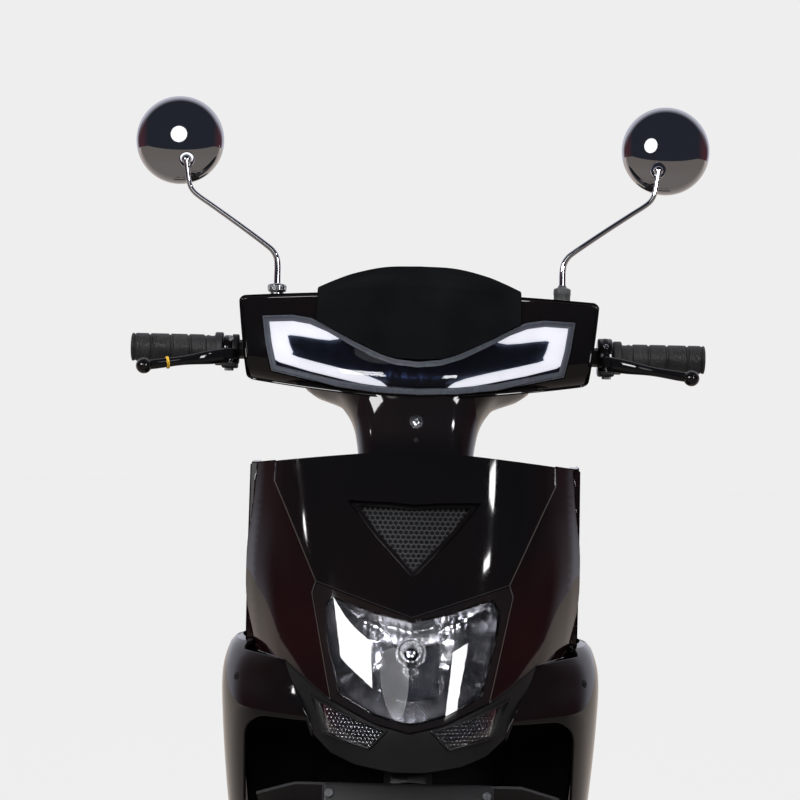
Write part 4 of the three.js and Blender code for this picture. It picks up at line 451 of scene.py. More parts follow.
def trimmed(name, fn, outer, material, holes=(), step=7.0, edge_step=4.0, thickness=SKIN, rim=RIM,
            out=1, wall=None, bands=()):
    """A panel of the surface fn(a, b) inside an outline of (a, b) points, with rounded rims.
    out is 1 or -1 and says on which side of the surface its outside lies. wall(a, b, loop, edge)
    may give the point that a rim's wall runs back to, where it is deeper than the panel."""
    loops = [resampled(outer, edge_step)] + [resampled(h, edge_step) for h in holes]
    flat = [p for loop in loops for p in loop]
    low, high = np.min(loops[0], axis=0), np.max(loops[0], axis=0)
    grid = []
    rows = int((high[1] - low[1]) / (step * HEX_ROW)) + 1
    for j in range(rows + 1):
        b = low[1] + j * step * HEX_ROW
        shift = step / 2 if j % 2 else 0
        for i in range(int((high[0] - low[0]) / step) + 2):
            grid.append((low[0] + i * step + shift, b))
    grid = np.array(grid)
    keep = inside(grid, loops[0])
    for loop in loops[1:]:
        keep &= ~inside(grid, loop)
    grid = grid[keep]
    for number, loop in enumerate(loops):
        if len(grid):
            reach = max(bands, default=0) if number == 0 else 0
            grid = grid[distance_to(grid, loop) > step * 0.45 + reach]
    for depth in bands:
        band = np.array(grown(loops[0], -depth))
        band = band[inside(band, loops[0])]
        for loop in loops:
            band = band[distance_to(band, loop) > depth * 0.8]
        grid = np.concatenate([grid, band])
    coords = [Vector(p) for p in flat] + [Vector(p) for p in grid.tolist()]
    edges, start = [], 0
    for loop in loops:
        n = len(loop)
        edges += [(start + k, start + (k + 1) % n) for k in range(n)]
        start += n
    points2, _, faces2, origin, _, _ = delaunay_2d_cdt(coords, edges, [], 0, 1e-5)
    centres = np.array([
        [sum(points2[k][0] for k in f) / len(f), sum(points2[k][1] for k in f) / len(f)] for f in faces2
    ])
    good = inside(centres, loops[0])
    for loop in loops[1:]:
        good &= ~inside(centres, loop)
    faces2 = [f for f, ok in zip(faces2, good) if ok]
    front = [fn(p[0], p[1]) for p in points2]
    normals = [surface_normal(fn, p[0], p[1]) * out for p in points2]
    lookup = {}
    for k, sources in enumerate(origin):
        for source in sources:
            lookup[source] = k
    points, norms = list(front), list(normals)
    faces = []
    for f in faces2:
        a, b, c = (front[k] for k in f[:3])
        if (b - a).cross(c - a).dot(normals[f[0]]) < 0:
            f = tuple(reversed(f))
        faces.append(tuple(f))
    back_of = {}
    edge_members = set()
    start = 0
    for number, loop in enumerate(loops):
        n = len(loop)
        ring = [lookup[start + k] for k in range(n)]
        edge_members.update(ring)
        start += n
        centre_out = 1 if number == 0 else -1
        area = sum(loop[k][0] * loop[(k + 1) % n][1] - loop[k][1] * loop[(k + 1) % n][0] for k in range(n))
        turn = centre_out * (1 if area > 0 else -1)
        steps = []
        for k in range(n):
            here = front[ring[k]]
            before, after = front[ring[k - 1]], front[ring[(k + 1) % n]]
            along_a = (here - before).normalized()
            along_b = (after - here).normalized()
            tangent = along_a + along_b
            if tangent.length < 1e-6:
                tangent = along_b
            tangent.normalize()
            normal = normals[ring[k]]
            outward = tangent.cross(normal)
            # the outward direction is told from the turn in the plane of (a, b)
            probe_a = loop[(k + 1) % n][0] - loop[k - 1][0]
            probe_b = loop[(k + 1) % n][1] - loop[k - 1][1]
            length = max(math.hypot(probe_a, probe_b), 1e-9)
            oa, ob = probe_b / length * turn, -probe_a / length * turn
            h = 0.5
            towards = fn(loop[k][0] + oa * h, loop[k][1] + ob * h) - fn(loop[k][0] - oa * h,
                                                                        loop[k][1] - ob * h)
            if outward.dot(towards) < 0:
                outward = -outward
            outward.normalize()
            miter = min(1 / max(0.45, along_a.dot(tangent)), 2.0)
            steps.append((outward, normal, miter))
        previous = ring
        for phi in (30, 60, 90):
            s, c = math.sin(math.radians(phi)), math.cos(math.radians(phi))
            level = []
            for k in range(n):
                outward, normal, miter = steps[k]
                base = front[ring[k]]
                level.append(len(points))
                points.append(base + outward * (rim * s * miter) - normal * (rim * (1 - c)))
                norms.append((outward * s + normal * c).normalized())
            faces += strip(previous, level, points, norms)
            previous = level
        level, deep = [], []
        for k in range(n):
            outward, normal, miter = steps[k]
            edge = front[ring[k]] + outward * (rim * miter)
            end = wall(loop[k][0], loop[k][1], number, edge) if wall else None
            deep.append(end is not None)
            level.append(len(points))
            points.append(edge - normal * thickness if end is None else end)
            norms.append(outward)
        faces += strip(previous, level, points, norms)
        if any(deep):
            inner = []
            for k in range(n):
                outward, normal, miter = steps[k]
                inner.append(len(points))
                points.append(points[level[k]] - outward * thickness * (1 if deep[k] else 0.2))
                norms.append(-outward)
            faces += strip(level, inner, points, norms)
            level = inner
        last = []
        for k in range(n):
            outward, normal, miter = steps[k]
            last.append(len(points))
            points.append(front[ring[k]] - normal * thickness)
            norms.append(-normal)
            back_of[ring[k]] = last[-1]
        faces += strip(level, last, points, norms)
    for k, p in enumerate(front):
        if k not in edge_members:
            back_of[k] = len(points)
            points.append(p - normals[k] * thickness)
            norms.append(-normals[k])
    faces += [tuple(back_of[k] for k in reversed(f)) for f in faces[:len(faces2)]]
    return new_object(name, points, faces, material, norms)


def strip(a, b, points, norms):
    """The faces between two closed rows of points, turned to face their normals."""
    n = len(a)
    out = []
    for k in range(n):
        face = (a[k], a[(k + 1) % n], b[(k + 1) % n], b[k])
        p = [points[i] for i in face]
        facing = (p[1] - p[0]).cross(p[3] - p[0]) + (p[2] - p[1]).cross(p[3] - p[2])
        mean = norms[face[0]] + norms[face[1]] + norms[face[2]] + norms[face[3]]
        out.append(face if facing.dot(mean) >= 0 else tuple(reversed(face)))
    return out


def rounded_in_b(fn, at, radius):
    """The surface with its crease along b = at rounded off."""
    def eased(a, b):
        if abs(b - at) >= radius:
            return fn(a, b)
        s = (b - at + radius) / (2 * radius)
        return (
            fn(a, at - radius) * (1 - s) ** 2 + fn(a, at) * (2 * s * (1 - s)) + fn(a, at + radius) * s * s
        )
    return eased


# ---------------------------------------------------------------- materials

def shader(name, colour, roughness, metallic=0.0, coat=0.0, specular=0.5, ior=1.5):
    mat = bpy.data.materials.new(name)
    mat.use_nodes = True
    tree = mat.node_tree
    bsdf = tree.nodes["Principled BSDF"]
    bsdf.inputs["Base Color"].default_value = (*colour, 1)
    bsdf.inputs["Roughness"].default_value = roughness
    bsdf.inputs["Metallic"].default_value = metallic
    bsdf.inputs["Coat Weight"].default_value = coat
    bsdf.inputs["Coat Roughness"].default_value = 0.03
    bsdf.inputs["Specular IOR Level"].default_value = specular
    bsdf.inputs["IOR"].default_value = ior
    return mat, tree, bsdf


def object_space(tree, scale=1.0):
    coords = tree.nodes.new("ShaderNodeTexCoord")
    mapping = tree.nodes.new("ShaderNodeMapping")
    mapping.inputs["Scale"].default_value = (scale, scale, scale)
    tree.links.new(coords.outputs["Object"], mapping.inputs["Vector"])
    return mapping.outputs["Vector"]


def noise(tree, vector, scale, detail=3.0, roughness=0.5):
    node = tree.nodes.new("ShaderNodeTexNoise")
    node.inputs["Scale"].default_value = scale
    node.inputs["Detail"].default_value = detail
    node.inputs["Roughness"].default_value = roughness
    tree.links.new(vector, node.inputs["Vector"])
    return node.outputs["Fac"]


def ramp(tree, value, low, high, at=(0.3, 0.7)):
    node = tree.nodes.new("ShaderNodeValToRGB")
    node.color_ramp.elements[0].position = at[0]
    node.color_ramp.elements[1].position = at[1]
    node.color_ramp.elements[0].color = (*low, 1) if len(low) == 3 else low
    node.color_ramp.elements[1].color = (*high, 1) if len(high) == 3 else high
    tree.links.new(value, node.inputs["Fac"])
    return node.outputs["Color"]


def spread(tree, value, low, high):
    node = tree.nodes.new("ShaderNodeMapRange")
    node.inputs["To Min"].default_value = low
    node.inputs["To Max"].default_value = high
    tree.links.new(value, node.inputs["Value"])
    return node.outputs["Result"]


def bump(tree, bsdf, height, strength, distance):
    node = tree.nodes.new("ShaderNodeBump")
    node.inputs["Strength"].default_value = strength
    node.inputs["Distance"].default_value = distance
    tree.links.new(height, node.inputs["Height"])
    tree.links.new(node.outputs["Normal"], bsdf.inputs["Normal"])


def gloss_paint(name="gloss_black", base=(0.0035, 0.0035, 0.004), warm=(0.006, 0.004, 0.004)):
    """Polished black paint: deep, with faint colour drift and fine dust that dulls it here and there."""
    mat, tree, bsdf = shader(name, base, 0.06, coat=0.2)
    vector = object_space(tree)
    drift = noise(tree, vector, 6, 2)
    tree.links.new(ramp(tree, drift, base, warm), bsdf.inputs["Base Color"])
    dust = noise(tree, vector, 900, 2)
    tree.links.new(spread(tree, dust, 0.03, 0.085), bsdf.inputs["Roughness"])
    return mat


def satin_plastic(name, colour, rough=0.5, grain=1400, depth=0.00006):
    """Moulded plastic with a fine leather-like grain."""
    mat, tree, bsdf = shader(name, colour, rough, specular=0.25)
    vector = object_space(tree)
    patch = noise(tree, vector, 14, 3)
    lighter = tuple(c * 1.35 + 0.002 for c in colour)
    tree.links.new(ramp(tree, patch, colour, lighter), bsdf.inputs["Base Color"])
    tree.links.new(spread(tree, noise(tree, vector, 60, 3), rough - 0.08, rough + 0.1),
                   bsdf.inputs["Roughness"])
    cells = tree.nodes.new("ShaderNodeTexVoronoi")
    cells.inputs["Scale"].default_value = grain
    tree.links.new(vector, cells.inputs["Vector"])
    bump(tree, bsdf, cells.outputs["Distance"], 0.5, depth)
    return mat


def rubber_paint(name="rubber", colour=(0.012, 0.012, 0.0125), rough=0.62):
    mat, tree, bsdf = shader(name, colour, rough, specular=0.35)
    vector = object_space(tree)
    worn = noise(tree, vector, 40, 5, 0.6)
    tree.links.new(ramp(tree, worn, colour, tuple(c * 1.9 + 0.003 for c in colour)),
                   bsdf.inputs["Base Color"])
    tree.links.new(spread(tree, worn, rough - 0.12, rough + 0.12), bsdf.inputs["Roughness"])
    bump(tree, bsdf, noise(tree, vector, 1500, 2), 0.3, 0.00005)
    return mat


def metal_paint(name, colour, rough, metallic=1.0, scratch=(1, 1, 60)):
    """Metal with fine uneven polish."""
    mat, tree, bsdf = shader(name, colour, rough, metallic)
    coords = tree.nodes.new("ShaderNodeTexCoord")
    mapping = tree.nodes.new("ShaderNodeMapping")
    mapping.inputs["Scale"].default_value = scratch
    tree.links.new(coords.outputs["Object"], mapping.inputs["Vector"])
    fine = noise(tree, mapping.outputs["Vector"], 90, 4, 0.6)
    tree.links.new(spread(tree, fine, max(rough - 0.05, 0.01), rough + 0.06), bsdf.inputs["Roughness"])
    broad = noise(tree, mapping.outputs["Vector"], 7, 2)
    darker = tuple(c * 0.86 for c in colour)
    tree.links.new(ramp(tree, broad, darker, colour), bsdf.inputs["Base Color"])
    return mat


def mirror_chrome(name="chrome"):
    """Bright chrome with the faintest waviness of a pressed dome."""
    mat, tree, bsdf = shader(name, (0.70, 0.71, 0.74), 0.03, 1.0)
    vector = object_space(tree)
    bump(tree, bsdf, noise(tree, vector, 26, 1), 0.05, 0.0006)
    tree.links.new(spread(tree, noise(tree, vector, 350, 2), 0.015, 0.05), bsdf.inputs["Roughness"])
    return mat


def clear_plastic(name, tint=(1, 1, 1), rough=0.02, alpha_mix=0.12, ior=1.5):
    """Thin clear plastic: see-through with a slight body colour, and a clear gloss over it."""
    mat = bpy.data.materials.new(name)
    mat.use_nodes = True
    tree = mat.node_tree
    tree.nodes.clear()
    out = tree.nodes.new("ShaderNodeOutputMaterial")
    through = tree.nodes.new("ShaderNodeBsdfTransparent")
    through.inputs["Color"].default_value = (*tint, 1)
    stuff = tree.nodes.new("ShaderNodeBsdfDiffuse")
    stuff.inputs["Color"].default_value = (0.02, 0.02, 0.024, 1)
    body = tree.nodes.new("ShaderNodeMixShader")
    body.inputs["Fac"].default_value = alpha_mix
    gloss = tree.nodes.new("ShaderNodeBsdfGlossy")
    gloss.inputs["Color"].default_value = (1, 1, 1, 1)
    haze = noise(tree, object_space(tree), 90, 2)
    tree.links.new(spread(tree, haze, rough * 0.6, rough * 1.8), gloss.inputs["Roughness"])
    fresnel = tree.nodes.new("ShaderNodeFresnel")
    fresnel.inputs["IOR"].default_value = ior
    blend = tree.nodes.new("ShaderNodeMixShader")
    tree.links.new(through.outputs[0], body.inputs[1])
    tree.links.new(stuff.outputs[0], body.inputs[2])
    tree.links.new(fresnel.outputs[0], blend.inputs["Fac"])
    tree.links.new(body.outputs[0], blend.inputs[1])
    tree.links.new(gloss.outputs[0], blend.inputs[2])
    tree.links.new(blend.outputs[0], out.inputs["Surface"])
    return mat


def lamp_silver(name="lamp_silver"):
    """Vacuum-coated plastic: bright, with a faint haze that varies."""
    material, tree, bsdf = shader(name, (0.66, 0.66, 0.68), 0.16, metallic=1.0)
    place = object_space(tree, 1.0)
    haze = noise(tree, place, 60, 2)
    tree.links.new(spread(tree, haze, 0.08, 0.24), bsdf.inputs["Roughness"])
    tint = noise(tree, place, 18, 2)
    tree.links.new(ramp(tree, tint, (0.56, 0.56, 0.59), (0.72, 0.72, 0.73)), bsdf.inputs["Base Color"])
    return material


def floor_paint():
    """Studio paper that glows rather than being lit: evenly pale to the eye, and in what the scooter mirrors
    a dim warm grey that brightens towards the back, as painted light.
    """
    mat, tree, bsdf = shader("floor_paper", (0.015, 0.015, 0.015), 0.9, specular=0.0)
    vector = object_space(tree)
    bump(tree, bsdf, noise(tree, vector, 300, 3), 0.1, 0.0003)
    path = tree.nodes.new("ShaderNodeLightPath")
    parts = tree.nodes.new("ShaderNodeSeparateXYZ")
    tree.links.new(vector, parts.inputs[0])
    # the glow that reflections see brightens towards the back: painted light on the floor
    behind = tree.nodes.new("ShaderNodeMapRange")
    behind.inputs["From Min"].default_value = -0.6
    behind.inputs["From Max"].default_value = 1.6
    behind.inputs["To Min"].default_value = 0.16
    behind.inputs["To Max"].default_value = 0.55
    tree.links.new(parts.outputs["Y"], behind.inputs["Value"])
    glow = tree.nodes.new("ShaderNodeMapRange")
    glow.inputs["To Max"].default_value = 0.846
    tree.links.new(path.outputs["Is Camera Ray"], glow.inputs["Value"])
    tree.links.new(behind.outputs["Result"], glow.inputs["To Min"])
    tree.links.new(glow.outputs["Result"], bsdf.inputs["Emission Strength"])
    tree.links.new(ramp(tree, path.outputs["Is Camera Ray"], (1.0, 0.88, 0.80), (1, 1, 1), (0, 1)),
                   bsdf.inputs["Emission Color"])
    return mat


GLOSS = gloss_paint()
SATIN = satin_plastic("satin_black", (0.0075, 0.0075, 0.008), 0.42)
GREY = satin_plastic("dark_grey", (0.022, 0.0225, 0.025), 0.5)
DEEP = satin_plastic("deep_black", (0.005, 0.005, 0.0055), 0.6)
GRIP = rubber_paint("grip_rubber", (0.016, 0.016, 0.0165), 0.5)
TYRE = rubber_paint("tyre_rubber", (0.012, 0.012, 0.012), 0.7)
CHROME = mirror_chrome()
STEEL = metal_paint("bright_steel", (0.55, 0.56, 0.58), 0.25)
ALLOY = metal_paint("cast_alloy", (0.06, 0.062, 0.066), 0.38, 0.85)
FRAME = metal_paint("frame_coat", (0.012, 0.012, 0.013), 0.4, 0.2)
REFLECTOR = metal_paint("reflector", (0.82, 0.82, 0.84), 0.06)
SMOKE = clear_plastic("smoked_lens", (0.30, 0.33, 0.40), 0.02, 0.10, 1.26)
CLEAR = clear_plastic("clear_lens", (0.97, 0.97, 0.98), 0.015, 0.02)


# ---------------------------------------------------------------- camera and studio

IMAGE = 800
SENSOR = 36
ROLL = -1.35
FOCAL_PIXELS = 2500
CENTRE_COLUMN = 417
camera_data = bpy.data.cameras.new("camera")
camera_data.sensor_width = SENSOR
camera_data.lens = SENSOR * FOCAL_PIXELS / IMAGE
camera_data.clip_end = 60
camera_data.shift_x = -(CENTRE_COLUMN - IMAGE / 2) / IMAGE
camera = bpy.data.objects.new("camera", camera_data)
camera.location = (0, -3.25, 0.92)
camera.rotation_euler = (math.radians(90), math.radians(ROLL), 0)
bpy.context.scene.collection.objects.link(camera)
bpy.context.scene.camera = camera

scene = bpy.context.scene
scene.view_settings.view_transform = "Standard"
scene.view_settings.look = "None"

PALE = (0.855, 0.855, 0.855, 1)


def build_world():
    world = bpy.data.worlds.new("studio")
    scene.world = world
    world.use_nodes = True
    tree = world.node_tree
    tree.nodes.clear()
    out = tree.nodes.new("ShaderNodeOutputWorld")
    seen = tree.nodes.new("ShaderNodeBackground")
    seen.inputs["Color"].default_value = PALE
    room = tree.nodes.new("ShaderNodeBackground")
    chooser = tree.nodes.new("ShaderNodeMixShader")
    path = tree.nodes.new("ShaderNodeLightPath")
    coords = tree.nodes.new("ShaderNodeTexCoord")
    parts = tree.nodes.new("ShaderNodeSeparateXYZ")
    tree.links.new(coords.outputs["Generated"], parts.inputs[0])
    # the room is dark in front of the scooter and pale behind it
    depth = tree.nodes.new("ShaderNodeValToRGB")
    depth.color_ramp.elements[0].position = 0.42
    depth.color_ramp.elements[0].color = (0.022, 0.025, 0.034, 1)
    depth.color_ramp.elements[1].position = 0.72
    depth.color_ramp.elements[1].color = (0.60, 0.60, 0.68, 1)
    half = tree.nodes.new("ShaderNodeMath")
    half.operation = "MULTIPLY_ADD"
    half.inputs[1].default_value = 0.5
    half.inputs[2].default_value = 0.5
    tree.links.new(parts.outputs["Y"], half.inputs[0])
    tree.links.new(half.outputs[0], depth.inputs["Fac"])
    # and wine red to both sides, as the paint and the mirrors show
    across = tree.nodes.new("ShaderNodeMath")
    across.operation = "ABSOLUTE"
    tree.links.new(parts.outputs["X"], across.inputs[0])
    aside = tree.nodes.new("ShaderNodeMapRange")
    aside.inputs["From Min"].default_value = 0.80
    aside.inputs["From Max"].default_value = 0.99
    tree.links.new(across.outputs[0], aside.inputs["Value"])
    wine = tree.nodes.new("ShaderNodeMix")
    wine.data_type = "RGBA"
    wine.inputs["B"].default_value = (0.075, 0.028, 0.036, 1)
    tree.links.new(aside.outputs["Result"], wine.inputs["Factor"])
    tree.links.new(depth.outputs["Color"], wine.inputs["A"])
    tree.links.new(wine.outputs["Result"], room.inputs["Color"])
    tree.links.new(path.outputs["Is Camera Ray"], chooser.inputs["Fac"])
    tree.links.new(room.outputs[0], chooser.inputs[1])
    tree.links.new(seen.outputs[0], chooser.inputs[2])
    tree.links.new(chooser.outputs[0], out.inputs["Surface"])


def soft_light(name, place, target, width, height, power, mirrored=True, shape="RECTANGLE"):
    data = bpy.data.lights.new(name, "AREA")
    data.shape = shape
    data.size, data.size_y = width, height
    data.energy = power
    obj = bpy.data.objects.new(name, data)
    obj.location = place
    aim = Vector(target) - Vector(place)
    obj.rotation_euler = aim.to_track_quat("-Z", "Y").to_euler()
    obj.visible_camera = False
    obj.visible_glossy = mirrored
    scene.collection.objects.link(obj)
    return obj


build_world()
soft_light("lamp_blob", (-1.46, -2.27, 1.70), (-0.06, -0.49, 0.64), 0.95, 0.6, 26)
soft_light("lamp_strip", (1.30, -2.49, 1.47), (0.05, -0.5, 0.61), 0.36, 0.75, 13)
soft_light("dome_spot", (-0.55, -3.15, 1.78), (0, -0.25, 1.22), 1.0, 1.0, 3.9, shape="DISK")
soft_light("spark_right", (-1.95, -1.01, 1.83), (-0.12, -0.42, 0.765), 0.05, 0.04, 0.2)
soft_light("spark_left", (1.24, -1.74, 2.10), (0.085, -0.447, 0.74), 0.16, 0.10, 1.3)
soft_light("low_block", (-0.63, -1.98, 0.40), (-0.06, -0.34, 0.947), 0.5, 0.45, 32)
soft_light("low_strip", (0.39, -2.05, 0.34), (0.036, -0.35, 0.944), 0.16, 0.32, 8)
soft_light("over", (0.2, -0.9, 3.4), (0, -0.2, 0.8), 1.6, 1.2, 45, mirrored=False)
soft_light("front_fill", (0.0, -3.6, 1.9), (0, -0.3, 0.8), 2.0, 1.2, 15, mirrored=False)
soft_light("side_fill", (3.4, 0.4, 1.6), (0, 0.2, 0.6), 1.6, 1.6, 30, mirrored=False)
soft_light("far_fill", (-3.4, 0.6, 1.6), (0, 0.2, 0.6), 1.6, 1.6, 30, mirrored=False)
soft_light("fill_back", (0.0, 3.6, 2.4), (0, 0.5, 0.6), 2.5, 1.4, 50, mirrored=False)


def build_floor():
    floor = new_object(
        "studio_floor",
        [(-12000, -9000, 0), (12000, -9000, 0), (12000, 24000, 0), (-12000, 24000, 0)],
        [(0, 1, 2, 3)],
        floor_paint(),
        smooth=False,
    )


build_floor()


# ---------------------------------------------------------------- front shield

SHIELD_HALF, SHIELD_TOP, SHIELD_DROP, SHIELD_NOSE, SHIELD_BACK = 192, 862, 349, -520, -250
SHIELD_ROWS = [
    (0, 0, 0.054, 0.958, 0.43, 0.704), (0.18, 0.178, 0.195, 0.974, 0.34, 0.674),
    (0.4, 0.407, 0.41, 1, 0.205, 0.64), (0.62, 0.636, 0.636, 0.958, 0.085, 0.63),
    (0.85, 0.865, 0.865, 0.885, 0.01, 0.64), (1, 1, 1, 0.84, 0, 0.66),
]
SHIELD_SECTION = [(0, 0), (0.3, 0.05), (0.55, 0.19), (0.8, 0.5), (0.93, 0.78), (1, 1)]


def section_share(u):
    u = abs(u)
    return 0.05 * (u / 0.3) ** 2 if u < 0.3 else table(SHIELD_SECTION, u)[1]


def shield_drop(u, t):
    row = table(SHIELD_ROWS, t)
    return mix(row[1], row[2], min(abs(u), 1) ** 1.4) * SHIELD_DROP


def shield(a, b):
    """The face of the shield: a runs across and b down, both in about millimetres."""
    u, t = clamp(a / SHIELD_HALF, -1.05, 1.05), clamp(b / SHIELD_DROP, 0, 1)
    row = table(SHIELD_ROWS, t)
    depth = SHIELD_BACK - SHIELD_NOSE
    y = SHIELD_NOSE + depth * mix(row[4], row[5], section_share(u))
    below = b - t * SHIELD_DROP
    return Vector((u * SHIELD_HALF * row[3], y, SHIELD_TOP - shield_drop(u, t) - below))


def on_shield(x, z):
    """The place (a, b) of a point of the front view on the shield's face."""
    t = clamp((SHIELD_TOP - z) / SHIELD_DROP, 0, 1)
    u = 0
    for _ in range(30):
        width = table(SHIELD_ROWS, t)[3] * SHIELD_HALF
        u = clamp(x / width, -1.05, 1.05)
        error = (SHIELD_TOP - z) - shield_drop(u, t)
        t = clamp(t + 0.7 * error / SHIELD_DROP, 0, 1)
    return u * SHIELD_HALF, t * SHIELD_DROP


def outline_on_shield(shares, gap):
    """An outline given as shares of the shield's half width and drop, set in by a gap."""
    points = [(x * SHIELD_HALF, SHIELD_TOP - z * SHIELD_DROP) for x, z in shares]
    return [on_shield(x, z) for x, z in resampled(grown(points, -gap), 6)]


def both(shares):
    return list(shares) + [(-x, z) for x, z in reversed(shares) if abs(x) > 1e-6]


VEE_ROOF = [(0, 0.178), (0.135, 0.172), (0.385, 0.169), (0.24, 0.27), (0, 0.407)]
SEAM_LINE = [(0, 0.528), (0.557, 0.427), (0.833, 0.112), (0.826, 0.0)]
BEZEL_LINE = [(0, 0.528), (0.557, 0.427), (0.578, 0.462), (0.448, 0.788), (0.2, 0.853), (0, 0.88)]
LAMP_LINE = [
    (0, 0.539), (0.2, 0.516), (0.464, 0.468), (0.508, 0.507), (0.49, 0.6), (0.404, 0.772),
    (0.2, 0.83), (0.06, 0.852), (0, 0.855),
]
CHIN_LINE = [
    (0, 0.88), (0.2, 0.855), (0.448, 0.79), (0.729, 0.682), (0.7, 0.73), (0.59, 0.845),
    (0.545, 0.905), (0.44, 0.955), (0.3, 0.985), (0, 1.01),
]
SIGNAL_LINE = [(0.562, 0.779), (0.344, 0.831), (0.12, 0.874), (0.219, 0.934), (0.479, 0.897)]
SIDE_LINE = [
    (0.557, 0.427), (0.578, 0.462), (0.448, 0.788), (0.729, 0.68), (0.911, 0.668), (0.998, 0.66),
    (1.0, 0.3), (1.0, 0.0), (0.826, 0.0), (0.833, 0.112),
]
GAP = SEAM / 2 + 0.7
TOP_SHARE, SEAM_END = 0.958, 0.826  # the top edge's half width, and where the flank's seam meets it
NECK_Y, NECK_HALF_X, NECK_HALF_Y = -311.4, 74.5, 81.5  # the opening round the neck


def top_wall(a, b, loop, edge):
    """The face's top edge runs back a little as the front of the deck."""
    if loop == 0 and b < 2.5:
        return Vector((edge.x, edge.y + 7, edge.z - 0.5))
    return None


def deck_height(x, y):
    """The deck behind the shield's top edge."""
    u = clamp(x / (SHIELD_HALF * TOP_SHARE), -1, 1)
    front = shield(u * SHIELD_HALF, 0)
    share = clamp((y - front.y) / (SHIELD_BACK - front.y), 0, 1)
    return front.z - share * 0.03 * SHIELD_DROP - 0.4


def deck(name, outline, material):
    return trimmed(name, lambda x, y: Vector((x, y, deck_height(x, y))), outline, material,
                   step=7, edge_step=4, rim=0.8, thickness=2.4, out=1)


def front_edge(x):
    return shield(x / TOP_SHARE, 0).y


def shield_front():
    outer = outline_on_shield(both(SEAM_LINE), GAP)
    outer = [(a, max(b, 1.6)) for a, b in outer]
    vee = outline_on_shield(both(VEE_ROOF), -0.7)

    def wall(a, b, loop, edge_point):
        if loop == 1:
            return edge_point + Vector((0, 9, 0))
        return top_wall(a, b, loop, edge_point)

    face = trimmed("shield_face", shield, outer, GLOSS, [vee], step=6, edge_step=3, rim=0.9, wall=wall)
    reach = SEAM_END * SHIELD_HALF * TOP_SHARE - 1
    front = [(x, front_edge(x) + 5) for x in np.linspace(-reach, reach, 41)]
    start = math.asin((SHIELD_BACK - 1 - NECK_Y) / NECK_HALF_Y)
    notch = []
    for k in range(25):
        angle = mix(start, -math.pi - start, k / 24)
        notch.append((NECK_HALF_X * math.cos(angle), NECK_Y + NECK_HALF_Y * math.sin(angle)))
    outline = front + [(reach, SHIELD_BACK - 1)] + notch + [(-reach, SHIELD_BACK - 1)]
    top = deck("shield_deck", outline, GLOSS)
    piece = joined("shield_front_panel", [face, top])
    finish_piece(piece, "chassis", "gloss", "front_shield")


def shield_flank(side):
    """Side panel, which runs back to the leg shield along its outer edge."""
    points = outline_on_shield(SIDE_LINE, GAP)
    outer = [(a * side, max(b, 1.6)) for a, b in points]
    if side < 0:
        outer = outer[::-1]

    def wall(a, b, loop, edge):
        if abs(a) > SHIELD_HALF * 0.985:
            return Vector((edge.x * 1.012, SHIELD_BACK - 0.6, edge.z))
        return top_wall(a, b, loop, edge)

    name = side_name(side)
    face = trimmed(f"flank_{name}", shield, outer, FLANK_RED_REFLECTION, step=6, edge_step=2.5, rim=1.6, wall=wall,
                   bands=(1.0, 2.2, 3.8, 6.0, 9.0))
    inner, outer_x = SEAM_END * SHIELD_HALF * TOP_SHARE + 1, SHIELD_HALF * TOP_SHARE - 2.0
    front = [(x, front_edge(x) + 5) for x in np.linspace(inner, outer_x, 7)]
    outline = [(x * side, y) for x, y in front + [(outer_x, SHIELD_BACK - 1), (inner, SHIELD_BACK - 1)]]
    if side < 0:
        outline = outline[::-1]
    top = deck(f"flank_deck_{name}", outline, FLANK_RED_REFLECTION)
    piece = joined(f"side_panel_{name}", [face, top])
    finish_piece(piece, "chassis", "gloss", f"shield_side_{name}")


def grille():
    """A honeycomb net set back in the vee, with real hexagonal cells."""
    pitch, web, depth = 5.9, 0.75, 2.6
    outline = [(x * SHIELD_HALF, SHIELD_TOP - z * SHIELD_DROP) for x, z in both(VEE_ROOF)]
    points, faces = [], []
    rows = 20
    wide = 16
    for j in range(rows):
        for i in range(-wide, wide + 1):
            cx = (i + (0.5 if j % 2 else 0)) * pitch
            cz = 806 - j * pitch * HEX_ROW
            if not inside(np.array([[cx, cz]]), grown(outline, 1.5))[0]:
                continue
            ring = []
            for k in range(6):
                angle = math.radians(60 * k + 30)
                ring.append((math.cos(angle), math.sin(angle)))
            start = len(points)
            for radius, back in ((pitch * 0.577, 0), (pitch * 0.577 - web, 0), (pitch * 0.577 - web, depth),
                                 (pitch * 0.577, depth)):
                for cx1, cz1 in ring:
                    x, z = cx + radius * cx1, cz + radius * cz1
                    a, b = on_shield(x, z)
                    p = shield(a, b)
                    points.append(Vector((x, p.y + 6.2 + back, z)))
            for level in range(4):
                for k in range(6):
                    n0, n1 = level * 6, ((level + 1) % 4) * 6
                    faces.append((start + n0 + k, start + n0 + (k + 1) % 6,
                                  start + n1 + (k + 1) % 6, start + n1 + k))
    net = new_object("grille_net", points, faces, NET, smooth=False)
    fix_normals(net)
    back_points = [on_shield(x, z) for x, z in resampled(grown(outline, 1.0), 5)]
    back = trimmed("grille_back", lambda a, b: shield(a, b) + Vector((0, 10.5, 0)), back_points, DEEP,
                   step=9, edge_step=6, rim=0.4, thickness=1.5)
    frame_out = [on_shield(x, z) for x, z in resampled(grown(outline, -0.6), 3)]
    frame_in = [on_shield(x, z) for x, z in resampled(grown(outline, -4.2), 3)]
    lip = trimmed("grille_lip", lambda a, b: shield(a, b) + Vector((0, 4.2, 0)), frame_out, GLOSS,
                  [frame_in], step=4, edge_step=3, rim=0.8, thickness=3.0)
    piece = joined("honeycomb_grille", [net, back, lip])
    finish_piece(piece, "chassis", "satin", "front_grille")


NET = satin_plastic("grille_net", (0.045, 0.045, 0.048), 0.3)
